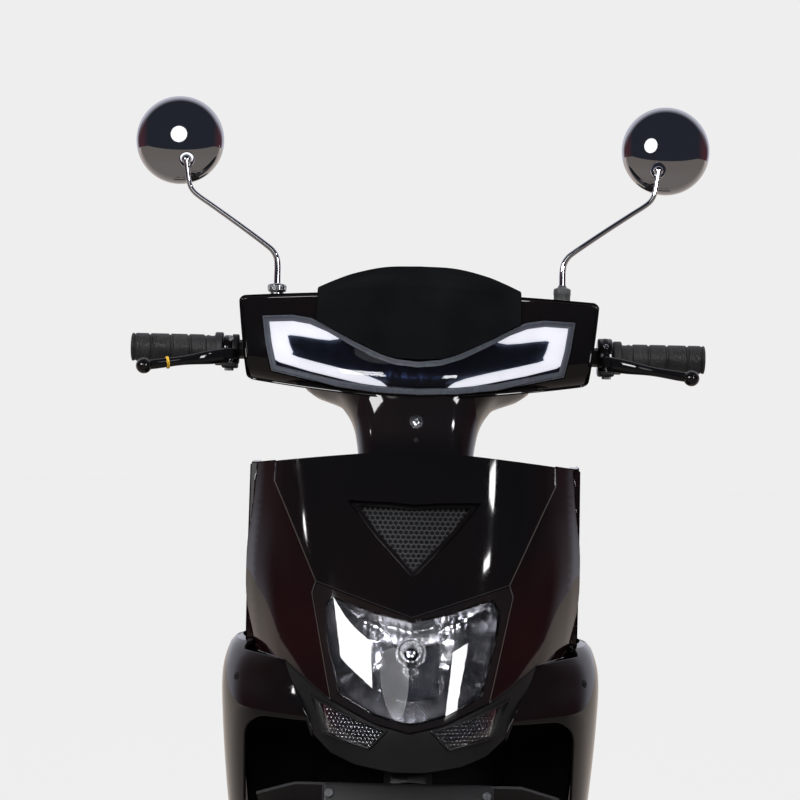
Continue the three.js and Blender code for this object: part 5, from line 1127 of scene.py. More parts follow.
# black paint for the side panels, whose colour drifts towards dark red: the red is a painted reflection
FLANK_RED_REFLECTION = gloss_paint("gloss_flank_red_reflection", (0.0035, 0.003, 0.0033), (0.011, 0.0036, 0.0036))
shield_front()
for hand in (-1, 1):
    shield_flank(hand)
grille()


# ---------------------------------------------------------------- head cowl

COWL_HALF, COWL_FOOT_HALF, COWL_CROWN, COWL_SHOULDER, COWL_FOOT, COWL_HEEL = 213, 200, 1045, 1037, 922, 943
COWL_FACE, COWL_SPLIT, COWL_SWEEP, COWL_BACK = -348, -245, 46, -190
COWL_DROP = COWL_CROWN - COWL_FOOT
LEAN_DEPTH = 80
LEAN_FRONT = [(0, 0.32), (0.15, 0.2), (0.4, 0.07), (0.75, 0), (0.92, 0.08), (1, 0.24)]
LEAN_REAR = [(0, 0.9), (0.42, 0.1), (0.6, 0), (0.85, 0.05), (1, 0.4)]
LENS_LINE = [
    (0, 0.43), (0.14, 0.46), (0.26, 0.54), (0.4, 0.68), (0.56, 0.86), (0.68, 0.96), (0.8, 1),
    (1, 0.985), (0.97, 0.6), (0.93, 0.28), (0.5, 0.09), (0.25, 0.03), (0, 0.01),
]
GUIDE_LINE = [
    (0.5, 0.78), (0.9, 0.95), (0.945, 0.9), (0.92, 0.6), (0.875, 0.4), (0.25, 0.12), (0.31, 0.22),
    (0.76, 0.44), (0.8, 0.52), (0.83, 0.68), (0.81, 0.75), (0.56, 0.69),
]


def cowl_span(x):
    share = min(abs(x) / COWL_HALF, 1.0) ** 1.5
    return mix(COWL_CROWN, COWL_SHOULDER, share), mix(COWL_FOOT, COWL_HEEL, share)


def cowl_face(x, z):
    """Depth of the front of the cowl behind a point of the front view."""
    top, foot = cowl_span(x)
    t = clamp((top - z) / (top - foot), 0, 1)
    u = clamp(x / COWL_HALF, -1, 1)
    return COWL_FACE + COWL_SWEEP * u * u + table(LEAN_FRONT, t)[1] * LEAN_DEPTH


def cowl_front_point(a, b):
    t = clamp(b / COWL_DROP, 0, 1)
    u = clamp(a / COWL_HALF, -1, 1)
    top, foot = cowl_span(u * COWL_HALF)
    x = u * mix(COWL_HALF, COWL_FOOT_HALF, t)
    y = COWL_FACE + COWL_SWEEP * u * u + table(LEAN_FRONT, t)[1] * LEAN_DEPTH
    return Vector((x, y, mix(top, foot, t)))


def cowl_rear_point(a, b):
    t = clamp(b / COWL_DROP, 0, 1)
    u = clamp(a / COWL_HALF, -1, 1)
    top, foot = cowl_span(u * COWL_HALF)
    x = u * mix(COWL_HALF, COWL_FOOT_HALF, t)
    return Vector((x, COWL_BACK - table(LEAN_REAR, t)[1] * 50, mix(top, foot, t)))


def on_cowl(x, z):
    t = 0.5
    for _ in range(12):
        u = clamp(x / mix(COWL_HALF, COWL_FOOT_HALF, t), -1, 1)
        top, foot = cowl_span(u * COWL_HALF)
        t = clamp((top - z) / (top - foot), 0, 1)
    return u * COWL_HALF, t * COWL_DROP


def on_cowl_all(points):
    return [on_cowl(x, z) for x, z in points]


def in_lens(shares):
    return [(x * 184, mix(926, 1016, z)) for x, z in shares]


def rounded_box(half, low, high, corner, steps=5):
    """A box outline with rounded corners, for both sides of the middle."""
    points = []
    for cx, cy, start in ((half - corner, high - corner, 0), (-half + corner, high - corner, 90),
                          (-half + corner, low + corner, 180), (half - corner, low + corner, 270)):
        for k in range(steps + 1):
            angle = math.radians(start + 90 * k / steps)
            points.append((cx + corner * math.cos(angle), cy + corner * math.sin(angle)))
    return points


COWL_RIM = 4.5


def cowl_front():
    outer = rounded_box(COWL_HALF - COWL_RIM, COWL_RIM, COWL_DROP - COWL_RIM, 3.0)
    lens = on_cowl_all(resampled(grown(in_lens(both(LENS_LINE)), 0.5), 4))

    def wall(a, b, loop, edge):
        if loop == 1:
            return edge + Vector((0, 9, 0))
        return Vector((edge.x, COWL_SPLIT - 0.4, edge.z))

    return trimmed("cowl_face", cowl_front_point, outer, GLOSS, [lens], step=7, edge_step=3.5,
                   rim=COWL_RIM, wall=wall)


CREST_HALF, CREST_TOP, CREST_SHOULDER, CREST_FOOT, CREST_VEE_TOP = 119, 1077, 1049, 966, 1012
CREST_BROW, CREST_BACK, CREST_BOW = 10, -252, 18
CREST_TOP_LINE = [(0, 1), (0.35, 0.93), (0.66, 0.62), (0.85, 0.3), (1, 0)]
CREST_VEE_LINE = [(0, 0), (0.28, 0.06), (0.54, 0.33), (0.74, 0.58), (0.94, 0.85), (1, 0.92)]
CREST_RUN = 74


def crest_point(a, b):
    """The hood over the dash: b up to CREST_RUN is its top, then it runs down the cowl's face."""
    u = clamp(a / CREST_HALF, -1, 1)
    x = u * CREST_HALF
    top_z = mix(CREST_SHOULDER, CREST_TOP, table(CREST_TOP_LINE, abs(u))[1])
    brow_z = COWL_CROWN + mix(CREST_BROW, 0, u * u)
    face_y = cowl_face(x, brow_z) - 3.6
    back_y = CREST_BACK - CREST_BOW * u * u
    if b <= CREST_RUN:
        s = clamp(b / CREST_RUN, 0, 1)
        y = mix(back_y, face_y, s)
        drop = s + 0.22 * s * (1 - s) * -1
        return Vector((x, y, mix(top_z, brow_z, drop)))
    z = brow_z - (b - CREST_RUN)
    return Vector((x, cowl_face(x, z) - 3.6, z))


def crest():
    surface = rounded_in_b(crest_point, CREST_RUN, 9)
    foot = []
    for k in range(41):
        u = -1 + k / 20
        brow_z = COWL_CROWN + mix(CREST_BROW, 0, u * u)
        vee = mix(CREST_FOOT, CREST_VEE_TOP, table(CREST_VEE_LINE, abs(u))[1])
        foot.append((u * (CREST_HALF - 1.2), CREST_RUN + brow_z - vee - 1.2))
    outer = [(-(CREST_HALF - 1.2), 1.2), ((CREST_HALF - 1.2), 1.2)] + foot[::-1]
    return trimmed("cowl_crest", surface, outer, SATIN_HOOD, step=6, edge_step=3.5, rim=1.2, thickness=3.4)


def cowl_under():
    """A bead under the hood's back edge, which shows between the hood and the dash."""
    path = []
    for k in range(25):
        u = -1 + k / 12
        top_z = mix(CREST_SHOULDER, CREST_TOP, table(CREST_TOP_LINE, abs(u))[1])
        path.append((u * (CREST_HALF - 5), CREST_BACK - CREST_BOW * u * u + 5, top_z - 5.4))
    return tube("crest_bead", path, 1.5, SATIN, sides=8)


def cowl_lens():
    line = in_lens(both(LENS_LINE))
    frame = trimmed("lens_frame", lambda a, b: cowl_front_point(a, b) + Vector((0, -0.3, 0)),
                    on_cowl_all(resampled(grown(line, -1.3), 4)), LENS_FRAME,
                    [on_cowl_all(resampled(grown(line, -6.2), 4))], step=5, edge_step=3, rim=1.0, thickness=3)
    cover = trimmed("lens_cover", lambda a, b: cowl_front_point(a, b) + Vector((0, 0.5, 0)),
                    on_cowl_all(resampled(grown(line, -6.6), 4)), SMOKE, step=7, edge_step=4, rim=0.5,
                    thickness=1.6)

    def board(a, b):
        p = cowl_front_point(a, b)
        facet = abs((a / 21) % 1 - 0.5) * 3.2
        return p + Vector((0, 8.5 + facet, 0))

    back = trimmed("lens_board", board, on_cowl_all(resampled(grown(line, -3.0), 4)), LENS_BOARD, step=6,
                   edge_step=4, rim=0.4, thickness=1.5)
    piece = joined("daylight_lens", [frame, cover, back])
    finish_piece(piece, "steering", "smoke", "drl_lens")


def light_guide(side):
    name = side_name(side)
    line = in_lens([(x * side, z) for x, z in GUIDE_LINE])
    rounded = catmull([(x, 0, z) for x, z in line], 3, True)
    outline = on_cowl_all([(p[0], p[2]) for p in rounded])

    def face(a, b):
        return cowl_front_point(a, b) + Vector((0, 3.2, 0))

    piece = trimmed(f"light_guide_bar_{name}", face, outline, GUIDE, step=4, edge_step=2.5, rim=1.4,
                    thickness=3.2)
    finish_piece(piece, "steering", "glow", f"light_guide_{name}")


def cowl_rear():
    outer = rounded_box(COWL_HALF - 3, 3, COWL_DROP - 3, 3.0)

    def wall(a, b, loop, edge):
        return Vector((edge.x, COWL_SPLIT + 0.4, edge.z))

    face = trimmed("cowl_back", cowl_rear_point, outer, SATIN, step=8, edge_step=4, rim=3.0, out=-1,
                   wall=wall)

    def off_back(a, b, distance):
        return cowl_rear_point(a, b) + surface_normal(cowl_rear_point, a, b) * -1 * distance

    def dash_face(a, b):
        return off_back(a, b, 0.7)

    def dash_cover(a, b):
        return off_back(a, b, 1.0 + 1.6 * (1 - (a / 74) ** 2))

    ring = rounded_box(80, 8, 58, 16)
    glass = rounded_box(74, 13, 53, 12)
    frame = trimmed("dash_frame", dash_face, ring, GLOSS, [glass], step=6, edge_step=3, rim=1.1, out=-1,
                    thickness=2.0)
    cover = trimmed("dash_glass", dash_cover, rounded_box(73.4, 13.6, 52.4, 11.5), DASH, step=6, edge_step=3,
                    rim=0.6, out=-1, thickness=1.2)
    lamps = []
    for k in range(4):
        a = -102 - 9 * k if k < 2 else 102 + 9 * (k - 2)
        p = dash_face(a, 30)
        n = surface_normal(cowl_rear_point, a, 30) * -1
        lamps.append(lathe(f"dash_lamp_{k}", [(0, -1), (3, -1), (3, 0.6), (2.4, 1.2), (0, 1.4)],
                           REFLECTOR, 20,
                           standing(p, n)))
    bars = []
    for k in range(11):
        a = -46 + 9.2 * k
        p = dash_cover(a, 24) + Vector((0, 0.5, 0))
        bars.append(block(f"dash_mark_{k}", (p.x - 0.5, p.y - 0.5, p.z - 2.4),
                          (p.x + 0.5, p.y + 0.3, p.z + 2.4),
                          DASH_MARK, 0.2, 1))
    piece = joined("cowl_back_shell", [face, frame, cover, *lamps, *bars])
    finish_piece(piece, "steering", "satin", "cowl_rear")


def front_group():
    piece = joined("cowl_shell", [cowl_front(), crest(), cowl_under()])
    finish_piece(piece, "steering", "gloss", "cowl_front")


def glow_paint(name="light_guide", colour=(0.90, 0.91, 1.0), strength=1.0):
    """A lit or milky plastic: pale all over, with a soft drift in brightness."""
    mat, tree, bsdf = shader(name, colour, 0.25, coat=0.4)
    vector = object_space(tree)
    soft = noise(tree, vector, 14, 2)
    dimmer = tuple(c * 0.88 for c in colour)
    tree.links.new(ramp(tree, soft, dimmer, colour), bsdf.inputs["Base Color"])
    tree.links.new(ramp(tree, soft, dimmer, colour), bsdf.inputs["Emission Color"])
    bsdf.inputs["Emission Strength"].default_value = strength
    return mat


def dash_paint():
    """Dark display glass with a faint grid of segments behind it."""
    mat, tree, bsdf = shader("dash_glass", (0.01, 0.012, 0.015), 0.05, coat=0.6)
    vector = object_space(tree)
    bricks = tree.nodes.new("ShaderNodeTexVoronoi")
    bricks.inputs["Scale"].default_value = 160
    tree.links.new(vector, bricks.inputs["Vector"])
    tree.links.new(ramp(tree, bricks.outputs["Distance"], (0.008, 0.010, 0.012), (0.020, 0.026, 0.030)),
                   bsdf.inputs["Base Color"])
    return mat


SATIN_HOOD = satin_plastic("hood_black", (0.0045, 0.005, 0.0055), 0.24, 1800, 0.00001)
SATIN_HOOD.node_tree.nodes["Principled BSDF"].inputs["Specular IOR Level"].default_value = 0.0
LENS_FRAME = satin_plastic("lens_frame", (0.05, 0.055, 0.068), 0.25, 2200, 0.00001)
LENS_BOARD = metal_paint("lens_board", (0.20, 0.225, 0.28), 0.22, 0.6)
GUIDE = glow_paint(colour=(1.0, 0.93, 0.85), strength=2.5)
DASH = dash_paint()
DASH_MARK = glow_paint("dash_mark", (0.8, 0.8, 0.8), 0.1)
front_group()
cowl_lens()
for hand in (-1, 1):
    light_guide(hand)
cowl_rear()


# ---------------------------------------------------------------- headlight, chin and signals

def off_shield(set_back):
    return lambda a, b: shield(a, b) + Vector((0, set_back, 0))


def headlight_bezel():
    outer = outline_on_shield(both(BEZEL_LINE), GAP)
    hole = outline_on_shield(both(LAMP_LINE), 0.2)

    def wall(a, b, loop, edge):
        return edge + Vector((0, 16 if loop else 9, 0))

    return trimmed("lamp_bezel", shield, outer, GLOSS, [hole], step=6, edge_step=3, rim=1.0, wall=wall)


def lamp_outline(inset):
    points = [(x * SHIELD_HALF, SHIELD_TOP - z * SHIELD_DROP) for x, z in both(LAMP_LINE)]
    return grown(points, -inset)


LAMP_CENTRE = Vector((0, 0, 637))
LAMP_DEPTH = 66


def ray_length(outline, angle):
    """How far the outline lies from the lamp's centre along a direction of the front view."""
    dx, dz = math.cos(angle), math.sin(angle)
    best = 0
    count = len(outline)
    for k in range(count):
        ax, az = outline[k][0], outline[k][1] - LAMP_CENTRE.z
        bx, bz = outline[(k + 1) % count][0], outline[(k + 1) % count][1] - LAMP_CENTRE.z
        ex, ez = bx - ax, bz - az
        det = dx * -ez + ex * dz
        if abs(det) < 1e-9:
            continue
        r = (ax * -ez + ex * az) / det
        s = (dx * az - dz * ax) / det
        if -1e-6 <= s <= 1 + 1e-6 and r > 0:
            best = max(best, r)
    return best


HEAD_TUBE_R = 29


def tube_face(z):
    """The foremost line of the head tube, which stands close behind the bowl."""
    along = (z - AXIS_FOOT.z) / math.cos(RAKE)
    return AXIS_FOOT.y + along * math.sin(RAKE) - HEAD_TUBE_R / math.cos(RAKE)


def reflector():
    """The bowl behind the lens: stepped flutes above the bulb, broad facets beside and below it."""
    outline = resampled(lamp_outline(1.5), 2)
    spokes, rings = 160, 30
    points, faces = [], []
    lengths = [ray_length(outline, 2 * math.pi * k / spokes) for k in range(spokes)]
    lengths = [(lengths[k - 1] + 2 * lengths[k] + lengths[(k + 1) % spokes]) / 4 for k in range(spokes)]
    hole = 13.0
    for j in range(rings + 1):
        s = j / rings
        for k in range(spokes):
            angle = 2 * math.pi * k / spokes
            radius = mix(hole, lengths[k], s)
            x, z = radius * math.cos(angle), LAMP_CENTRE.z + radius * math.sin(angle)
            a, b = on_shield(clamp(x, -160, 160), z)
            front = shield(a, b).y + 9
            share = radius / lengths[k]
            depth = LAMP_DEPTH * (1 - share ** 2.2)
            up = math.sin(angle)
            flute = 0
            if up > 0.25:
                flute = 1.7 * abs(math.sin(math.pi * x / 8.5)) * smooth_step((up - 0.25) / 0.2)
                flute *= smooth_step((share - 0.3) / 0.2)
            if up < -0.1:
                turn = (angle / math.radians(11)) % 1
                flute -= 1.6 * abs(turn - 0.5) * smooth_step((-up - 0.1) / 0.2) * share
            step_back = 3.0 * math.floor(share * 4) / 4 if up <= 0.25 else 0
            y = min(front + depth * 0.92, front + 60) + flute + step_back
            if abs(x) < HEAD_TUBE_R + 4:
                y = min(y, tube_face(z) - 2)
            points.append(Vector((x, y, z)))
    faces += ring_faces(rings, spokes)
    return smooth_by_angle(new_object("lamp_bowl", points, faces, MIRROR), 24)


def facing_front(y, z):
    """Turns a lathe so that its height runs forwards."""
    return Matrix.Translation((0, y, z)) @ turned(90, "X")


def bulb():
    seat = facing_front(-450, LAMP_CENTRE.z)
    holder = lathe("lamp_bulb_holder", [
        (0, -12), (17, -12), (17.5, -8), (17.5, 2), (16.5, 3.2), (15, 3.2), (14.2, 2), (13.4, -4), (12.5, -5),
        (0, -5),
    ], STEEL, 40, seat)
    glass = lathe("lamp_bulb_glass", [(7.5, -5), (8, 0), (8, 22), (7.6, 26)], CLEAR, 32, seat)
    cap = lathe("lamp_bulb_cap", [
        (0, 16), (7.4, 16.4), (8.4, 18), (8.6, 25), (8.2, 28), (6.6, 30), (4.0, 31.2), (0, 31.6),
    ], CHROME, 32, seat)
    return [holder, glass, cap]


def lamp_block():
    """The housing behind the bowl, which closes it towards the wheel."""
    outline = resampled(lamp_outline(-2.2), 5)
    points, faces = [], []
    depth_rows = [(1.0, 12), (0.97, 40), (0.86, 60), (0.5, 72), (0.0, 74)]
    count = len(outline)
    for share, back in depth_rows:
        for x, z in outline:
            x1, z1 = x * share, LAMP_CENTRE.z + (z - LAMP_CENTRE.z) * share
            a, b = on_shield(x, z)
            points.append(Vector((x1, min(shield(a, b).y + back, -374), z1)))
    faces += ring_faces(len(depth_rows) - 1, count)
    obj = new_object("lamp_back", points, faces, SATIN)
    fix_normals(obj)
    return smooth_by_angle(obj, 40)


def headlight():
    piece = joined("headlight_unit", [headlight_bezel(), reflector(), lamp_block(), *bulb()])
    finish_piece(piece, "chassis", "satin", "headlight_housing")
    lens_line = outline_on_shield(both(LAMP_LINE), 0.9)

    def bulged(a, b):
        return shield(a, b) + Vector((0, 0.4, 0))

    lens = trimmed("headlight_cover", bulged, lens_line, CLEAR, step=8, edge_step=4, rim=0.9, thickness=2.2)
    finish_piece(lens, "chassis", "clear", "headlight_lens")


def chin():
    outer = outline_on_shield(both(CHIN_LINE), GAP)
    holes = []
    for side in (-1, 1):
        line = [(x * side, z) for x, z in SIGNAL_LINE]
        holes.append(outline_on_shield(line, -0.4))

    def wall(a, b, loop, edge):
        if loop == 0 and b > 0.9 * SHIELD_DROP:
            return Vector((edge.x * 0.99, min(edge.y + 46, -330), edge.z - 3))
        return edge + Vector((0, 8, 0))

    panel = trimmed("chin_face", shield, outer, SATIN, holes, step=6, edge_step=3, rim=1.2, wall=wall)
    clips = []
    for x, z in ((-48, 537), (48, 537)):
        a, b = on_shield(x, z)
        at = shield(a, b)
        clips.append(lathe(f"chin_clip_{len(clips)}", [(0, -2), (4.2, -2), (4.2, 0.5), (3.4, 1.3), (1.2, 1.3),
                                                       (0.9, 0.6), (0, 0.6)],
                           DEEP, 24, facing_front(at.y, at.z) @ Matrix.Translation((x, 0, 0))))
    piece = joined("chin_cover", [panel, *clips])
    finish_piece(piece, "chassis", "satin", "chin_panel")


def signal(side):
    name = side_name(side)
    line = [(x * side, z) for x, z in SIGNAL_LINE]
    lens_line = outline_on_shield(line, 0.6)

    def lens_face(a, b):
        return shield(a, b) + Vector((0, -0.6, 0))

    def dimpled(a, b):
        pitch = 5.0
        row = round(b / (pitch * HEX_ROW))
        shift = pitch / 2 if row % 2 else 0
        da = (a - shift) / pitch
        da = (da - round(da)) * pitch
        db = b - row * pitch * HEX_ROW
        bump_height = max(0.0, 1 - (da * da + db * db) / 5.3) ** 0.5 * 1.5
        return shield(a, b) + Vector((0, 6.0 - bump_height, 0))

    lens = trimmed(f"signal_cover_{name}", lens_face, lens_line, CLEAR, step=6, edge_step=3, rim=1.2,
                   thickness=2.0)
    back = trimmed(f"signal_back_{name}", dimpled, outline_on_shield(line, 0.9), SIGNAL_SILVER, step=1.25,
                   edge_step=2.5, rim=0.3, thickness=1.2)
    wall_line = outline_on_shield(line, 0.3)
    inner = outline_on_shield(line, 1.6)
    rim = trimmed(f"signal_rim_{name}", off_shield(2.2), wall_line, SATIN, [inner], step=4, edge_step=3,
                  rim=0.3, thickness=7)
    piece = joined(f"turn_signal_{name}", [back, rim, lens])
    finish_piece(piece, "chassis", "clear", f"signal_lens_{name}")


MIRROR = lamp_silver()
SIGNAL_SILVER = metal_paint("signal_silver", (0.26, 0.26, 0.27), 0.22)
headlight()
chin()
for hand in (-1, 1):
    signal(hand)


# ---------------------------------------------------------------- neck

NECK_FOOT, NECK_HEAD, NECK_HALF, NECK_DEPTH = 700, 850, 134, 62
NECK_END = 0.93
NECK_ROWS = [
    (0, 0.49, 0.72), (0.25, 0.52, 0.74), (0.42, 0.56, 0.78), (0.55, 0.63, 0.84),
    (0.66, 0.74, 0.92), (0.76, 1, 0.98), (1, 1, 1),
]


def neck_ring(t, sides=72, inset=0.0):
    row = table(NECK_ROWS, t)
    half, depth = NECK_HALF * row[1] - inset, NECK_DEPTH * row[2] - inset
    points = []
    for k in range(sides):
        c, s = math.cos(2 * math.pi * k / sides), math.sin(2 * math.pi * k / sides)
        points.append(steer_point(
            half * math.copysign(abs(c) ** 0.7, c), depth * math.copysign(abs(s) ** 0.7, s),
            mix(NECK_FOOT, NECK_HEAD, t),
        ))
    return points


def neck():
    sides, rows = 72, 26
    points, faces = [], []
    places = [k / rows for k in range(rows) if k / rows <= NECK_END] + [NECK_END]
    for t in places:
        points += neck_ring(t, sides)
    faces += ring_faces(len(places) - 1, sides)
    start = len(points)
    for t, inset in ((0.0, 3.0), (0.25, 3.0)):
        points += neck_ring(t, sides, inset)
    for k in range(sides):
        faces.append((k, (k + 1) % sides, start + (k + 1) % sides, start + k))
        faces.append((start + k, start + (k + 1) % sides, start + sides + (k + 1) % sides, start + sides + k))
    cover = new_object("neck_skin", points, faces, GLOSS)
    fix_normals(cover)
    smooth_by_angle(cover, 50)

    def on_neck(along, x=0.0):
        t = (along - NECK_FOOT) / (NECK_HEAD - NECK_FOOT)
        row = table(NECK_ROWS, t)
        return Matrix.Translation(steer_point(x, -NECK_DEPTH * row[2], along)) @ turned(90 - RAKE_DEGREES,
                                                                                        "X")

    screw = lathe("neck_screw", [
        (0, -1), (8.2, -1), (8.2, 0.2), (7.8, 0.9), (6.9, 1.0), (6.7, 0.4), (6.4, 0.4), (6.2, 1.4),
        (5.0, 2.8),
        (3.0, 3.5), (1.9, 3.6), (1.7, 2.2), (0, 2.2),
    ], STEEL, 40, on_neck(746))
    clip = lathe("neck_clip", [(0, -1), (3.2, -1), (3.2, 0.4), (2.4, 1.0), (0, 1.0)], DEEP, 24, on_neck(723))
    piece = joined("neck_shroud", [cover, screw, clip])
    finish_piece(piece, "steering", "gloss", "neck_cover")


# ---------------------------------------------------------------- wings

WING_HALF, WING_TOP, WING_FOOT, WING_DEPTH, WING_BACK = 220, 640, 336, 252, -236
ARCH_HALF, ARCH_TOP, ARCH_CORNER = 188, 562, 26
WING_SECTION = [
    (0.495, 0.95), (0.64, 0.87), (0.8, 0.76), (0.9, 0.66), (0.965, 0.53), (0.995, 0.38), (1, 0.22),
    (0.97, 0.08), (0.93, 0),
]
WING_ROWS = [
    (0, 0.93, 0.83), (0.03, 0.965, 0.88), (0.12, 1, 0.93), (0.25, 1, 1), (0.55, 0.97, 0.94),
    (0.8, 0.93, 0.82), (1, 0.89, 0.66),
]
WING_CURVE = catmull([(x, y, 0) for x, y in WING_SECTION], 10)
WING_RUN = [0.0]
for before_point, after_point in zip(WING_CURVE, WING_CURVE[1:]):
    leap = Vector((
        (after_point[0] - before_point[0]) * WING_HALF, (after_point[1] - before_point[1]) * WING_DEPTH, 0,
    ))
    WING_RUN.append(WING_RUN[-1] + leap.length)


def wing_section(a):
    """Across and ahead shares at a distance along the wing's section from its inner edge."""
    a = clamp(a, 0, WING_RUN[-1])
    k = min(int(np.searchsorted(WING_RUN, a, side="right")), len(WING_RUN) - 1)
    span = WING_RUN[k] - WING_RUN[k - 1]
    local = (a - WING_RUN[k - 1]) / span
    p, q = WING_CURVE[k - 1], WING_CURVE[k]
    return mix(p[0], q[0], local), mix(p[1], q[1], local)


def wing_point(a, b):
    """b runs down from the wing's top; above it the panel turns in as a shelf."""
    t = clamp(b / (WING_TOP - WING_FOOT), 0, 1)
    row = table(WING_ROWS, t)
    across, ahead = wing_section(a)
    return Vector((across * WING_HALF * row[1], WING_BACK - ahead * WING_DEPTH * row[2],
                   mix(WING_TOP, WING_FOOT, t)))


WING_TURN = WING_RUN[60]


def on_wing(x, z):
    """The place on the wing's front of a point of the front view."""
    b = WING_TOP - z
    row = table(WING_ROWS, clamp(b / (WING_TOP - WING_FOOT), 0, 1))
    across = x / (WING_HALF * row[1])
    low, high = 0.0, WING_TURN
    for _ in range(30):
        middle = (low + high) / 2
        if wing_section(middle)[0] < across:
            low = middle
        else:
            high = middle
    return (low + high) / 2, b


def wing(side):
    name = side_name(side)
    end = WING_RUN[-1] - 1.5
    top = 2.0

    def shares(points):
        return [(x * SHIELD_HALF, SHIELD_TOP - z * SHIELD_DROP) for x, z in points]

    chin_edge = shares([(0.545, 0.905), (0.59, 0.845), (0.7, 0.73), (0.729, 0.682)])
    chin_edge = [(x + 1.6, z - 0.8) for x, z in chin_edge]
    side_edge = shares([(0.76, 0.684), (0.911, 0.672), (1.0, 0.667)])
    arch = [(ARCH_HALF, WING_FOOT + 3)]
    for k in range(7):
        angle = math.pi / 2 * k / 6
        arch.append((ARCH_HALF - ARCH_CORNER * (1 - math.cos(angle)),
                     ARCH_TOP - ARCH_CORNER * (1 - math.sin(angle))))
    arch.append((chin_edge[0][0] + 8, ARCH_TOP))
    front = [on_wing(x, z) for x, z in resampled_line(chin_edge + side_edge, 5)]
    inner = [on_wing(x, z) for x, z in resampled_line(arch, 5)]
    last = front[-1]
    outline = inner + front
    outline += [(last[0] + 6, top + 1), (last[0] + 12, top), (end, top), (end, WING_TOP - WING_FOOT - 2)]
    outline += [(inner[0][0] + 0.1, WING_TOP - WING_FOOT - 2)]

    def surface(a, b):
        p = wing_point(a, b)
        return Vector((p.x * side, p.y, p.z))

    def wall(a, b, loop, edge):
        if b < top + 1.5 and a > last[0] + 3:
            return Vector((edge.x * 0.965, edge.y, edge.z + 2.0))
        return None

    if side < 0:
        outline = outline[::-1]
    panel = trimmed(f"wing_skin_{name}", surface, outline, GLOSS, step=7, edge_step=4, rim=1.4,
                    out=-side, wall=wall)
    clip_places = [on_wing(199, 600)]
    clips = []
    for k, (a, b) in enumerate(clip_places):
        p = surface(a, b)
        n = surface_normal(surface, a, b) * -side
        clips.append(lathe(f"wing_clip_{name}_{k}",
                           [(0, -1), (4.6, -1), (4.6, 0.4), (3.8, 1.1), (1.4, 1.2), (1.2, 0.5),
                                                 (0, 0.5)],
                           DEEP, 24, standing(p, n)))
    piece = joined(f"wing_panel_{name}", [panel, *clips])
    finish_piece(piece, "chassis", "gloss", f"wing_{name}")


def resampled_line(points, step):
    """An open line cut into stretches of about one step."""
    out = [tuple(points[0])]
    for a, b in zip(points, points[1:]):
        start, end = Vector(a), Vector(b)
        parts = max(1, round((end - start).length / step))
        out += [tuple(start.lerp(end, k / parts)) for k in range(1, parts + 1)]
    return out


neck()
for hand in (-1, 1):
    wing(hand)


# ---------------------------------------------------------------- grips, levers and mirrors

def along_x(x, side=1):
    """Turns a lathe so that its height runs outwards along the bar, from the place x."""
    return Matrix.Translation((x * side, BAR_Y, BAR_Z)) @ turned(90 * side, "Y")


def wavy_lathe(name, profile, material, wave, place, sides=64):
    """A turned shape whose grooves swing along it as they go round."""
    points, faces = [], []
    low, high = profile[0][1], profile[-1][1]
    for r, h in profile:
        share = 4 * (h - low) * (high - h) / (high - low) ** 2
        for k in range(sides):
            angle = 2 * math.pi * k / sides
            shift = wave * math.sin(angle) * clamp(share * 1.6, 0, 1)
            points.append(place @ Vector((r * math.cos(angle), r * math.sin(angle), h + shift)))
    faces += ring_faces(len(profile) - 1, sides)
    obj = new_object(name, points, faces, material)
    fix_normals(obj)
    return smooth_by_angle(obj, 38)


def grip(side):
    """Rubber grip with a flange, grooves and fine ribs between them, and a closed end."""
    run = 344 - 234
    profile = [(12.0, 0.2), (19.2, 0.2), (20, 1.0), (20, 8.6), (19.4, 9.6), (18.2, 10), (16.4, 10.2),
               (15.6, 11.4),
               (15.5, 15), (16.4, 18.6)]
    grooves = [0.2, 0.385, 0.585, 0.805, 0.965]
    for start, end in zip(grooves, grooves[1:]):
        low, high = start * run + 1.6, end * run - 1.6
        profile += [(15.4, start * run - 0.6), (15.4, start * run + 0.6), (16.8, low + 0.4)]
        ribs = int((high - low) / 2.4)
        for k in range(ribs):
            h = low + 1.2 + k * (high - low - 2) / max(ribs - 1, 1)
            profile += [(17.0, h - 0.7), (16.75, h), (17.0, h + 0.5)]
        profile += [(16.8, high - 0.2)]
    profile += [(15.6, run - 3.6), (16.6, run - 3.0), (16.9, run - 1.4), (16.2, run - 0.4), (14.5, run),
                (0.05, run)]
    heights = [p[1] for p in profile]
    ordered = [p for k, p in enumerate(profile) if k == 0 or heights[k] >= max(heights[:k]) - 0.01]
    wave = 4.2 if side < 0 else 0.0
    body = wavy_lathe(f"grip_body_{side}", ordered, GRIP, wave, along_x(234, side))
    if side < 0:
        finish_piece(body, "throttle", "grip", "throttle_grip")
    else:
        finish_piece(body, "steering", "grip", "grip_left")


def ring_of(name, x0, x1, radius, bore, material, side, edge=1.2):
    width = x1 - x0
    profile = [
        (bore, 0), (radius - edge, 0), (radius - edge * 0.3, edge * 0.3), (radius, edge),
        (radius, width - edge),
        (radius - edge * 0.3, width - edge * 0.3), (radius - edge, width), (bore, width),
    ]
    return lathe(name, profile, material, 64, along_x(x0, side), 45)


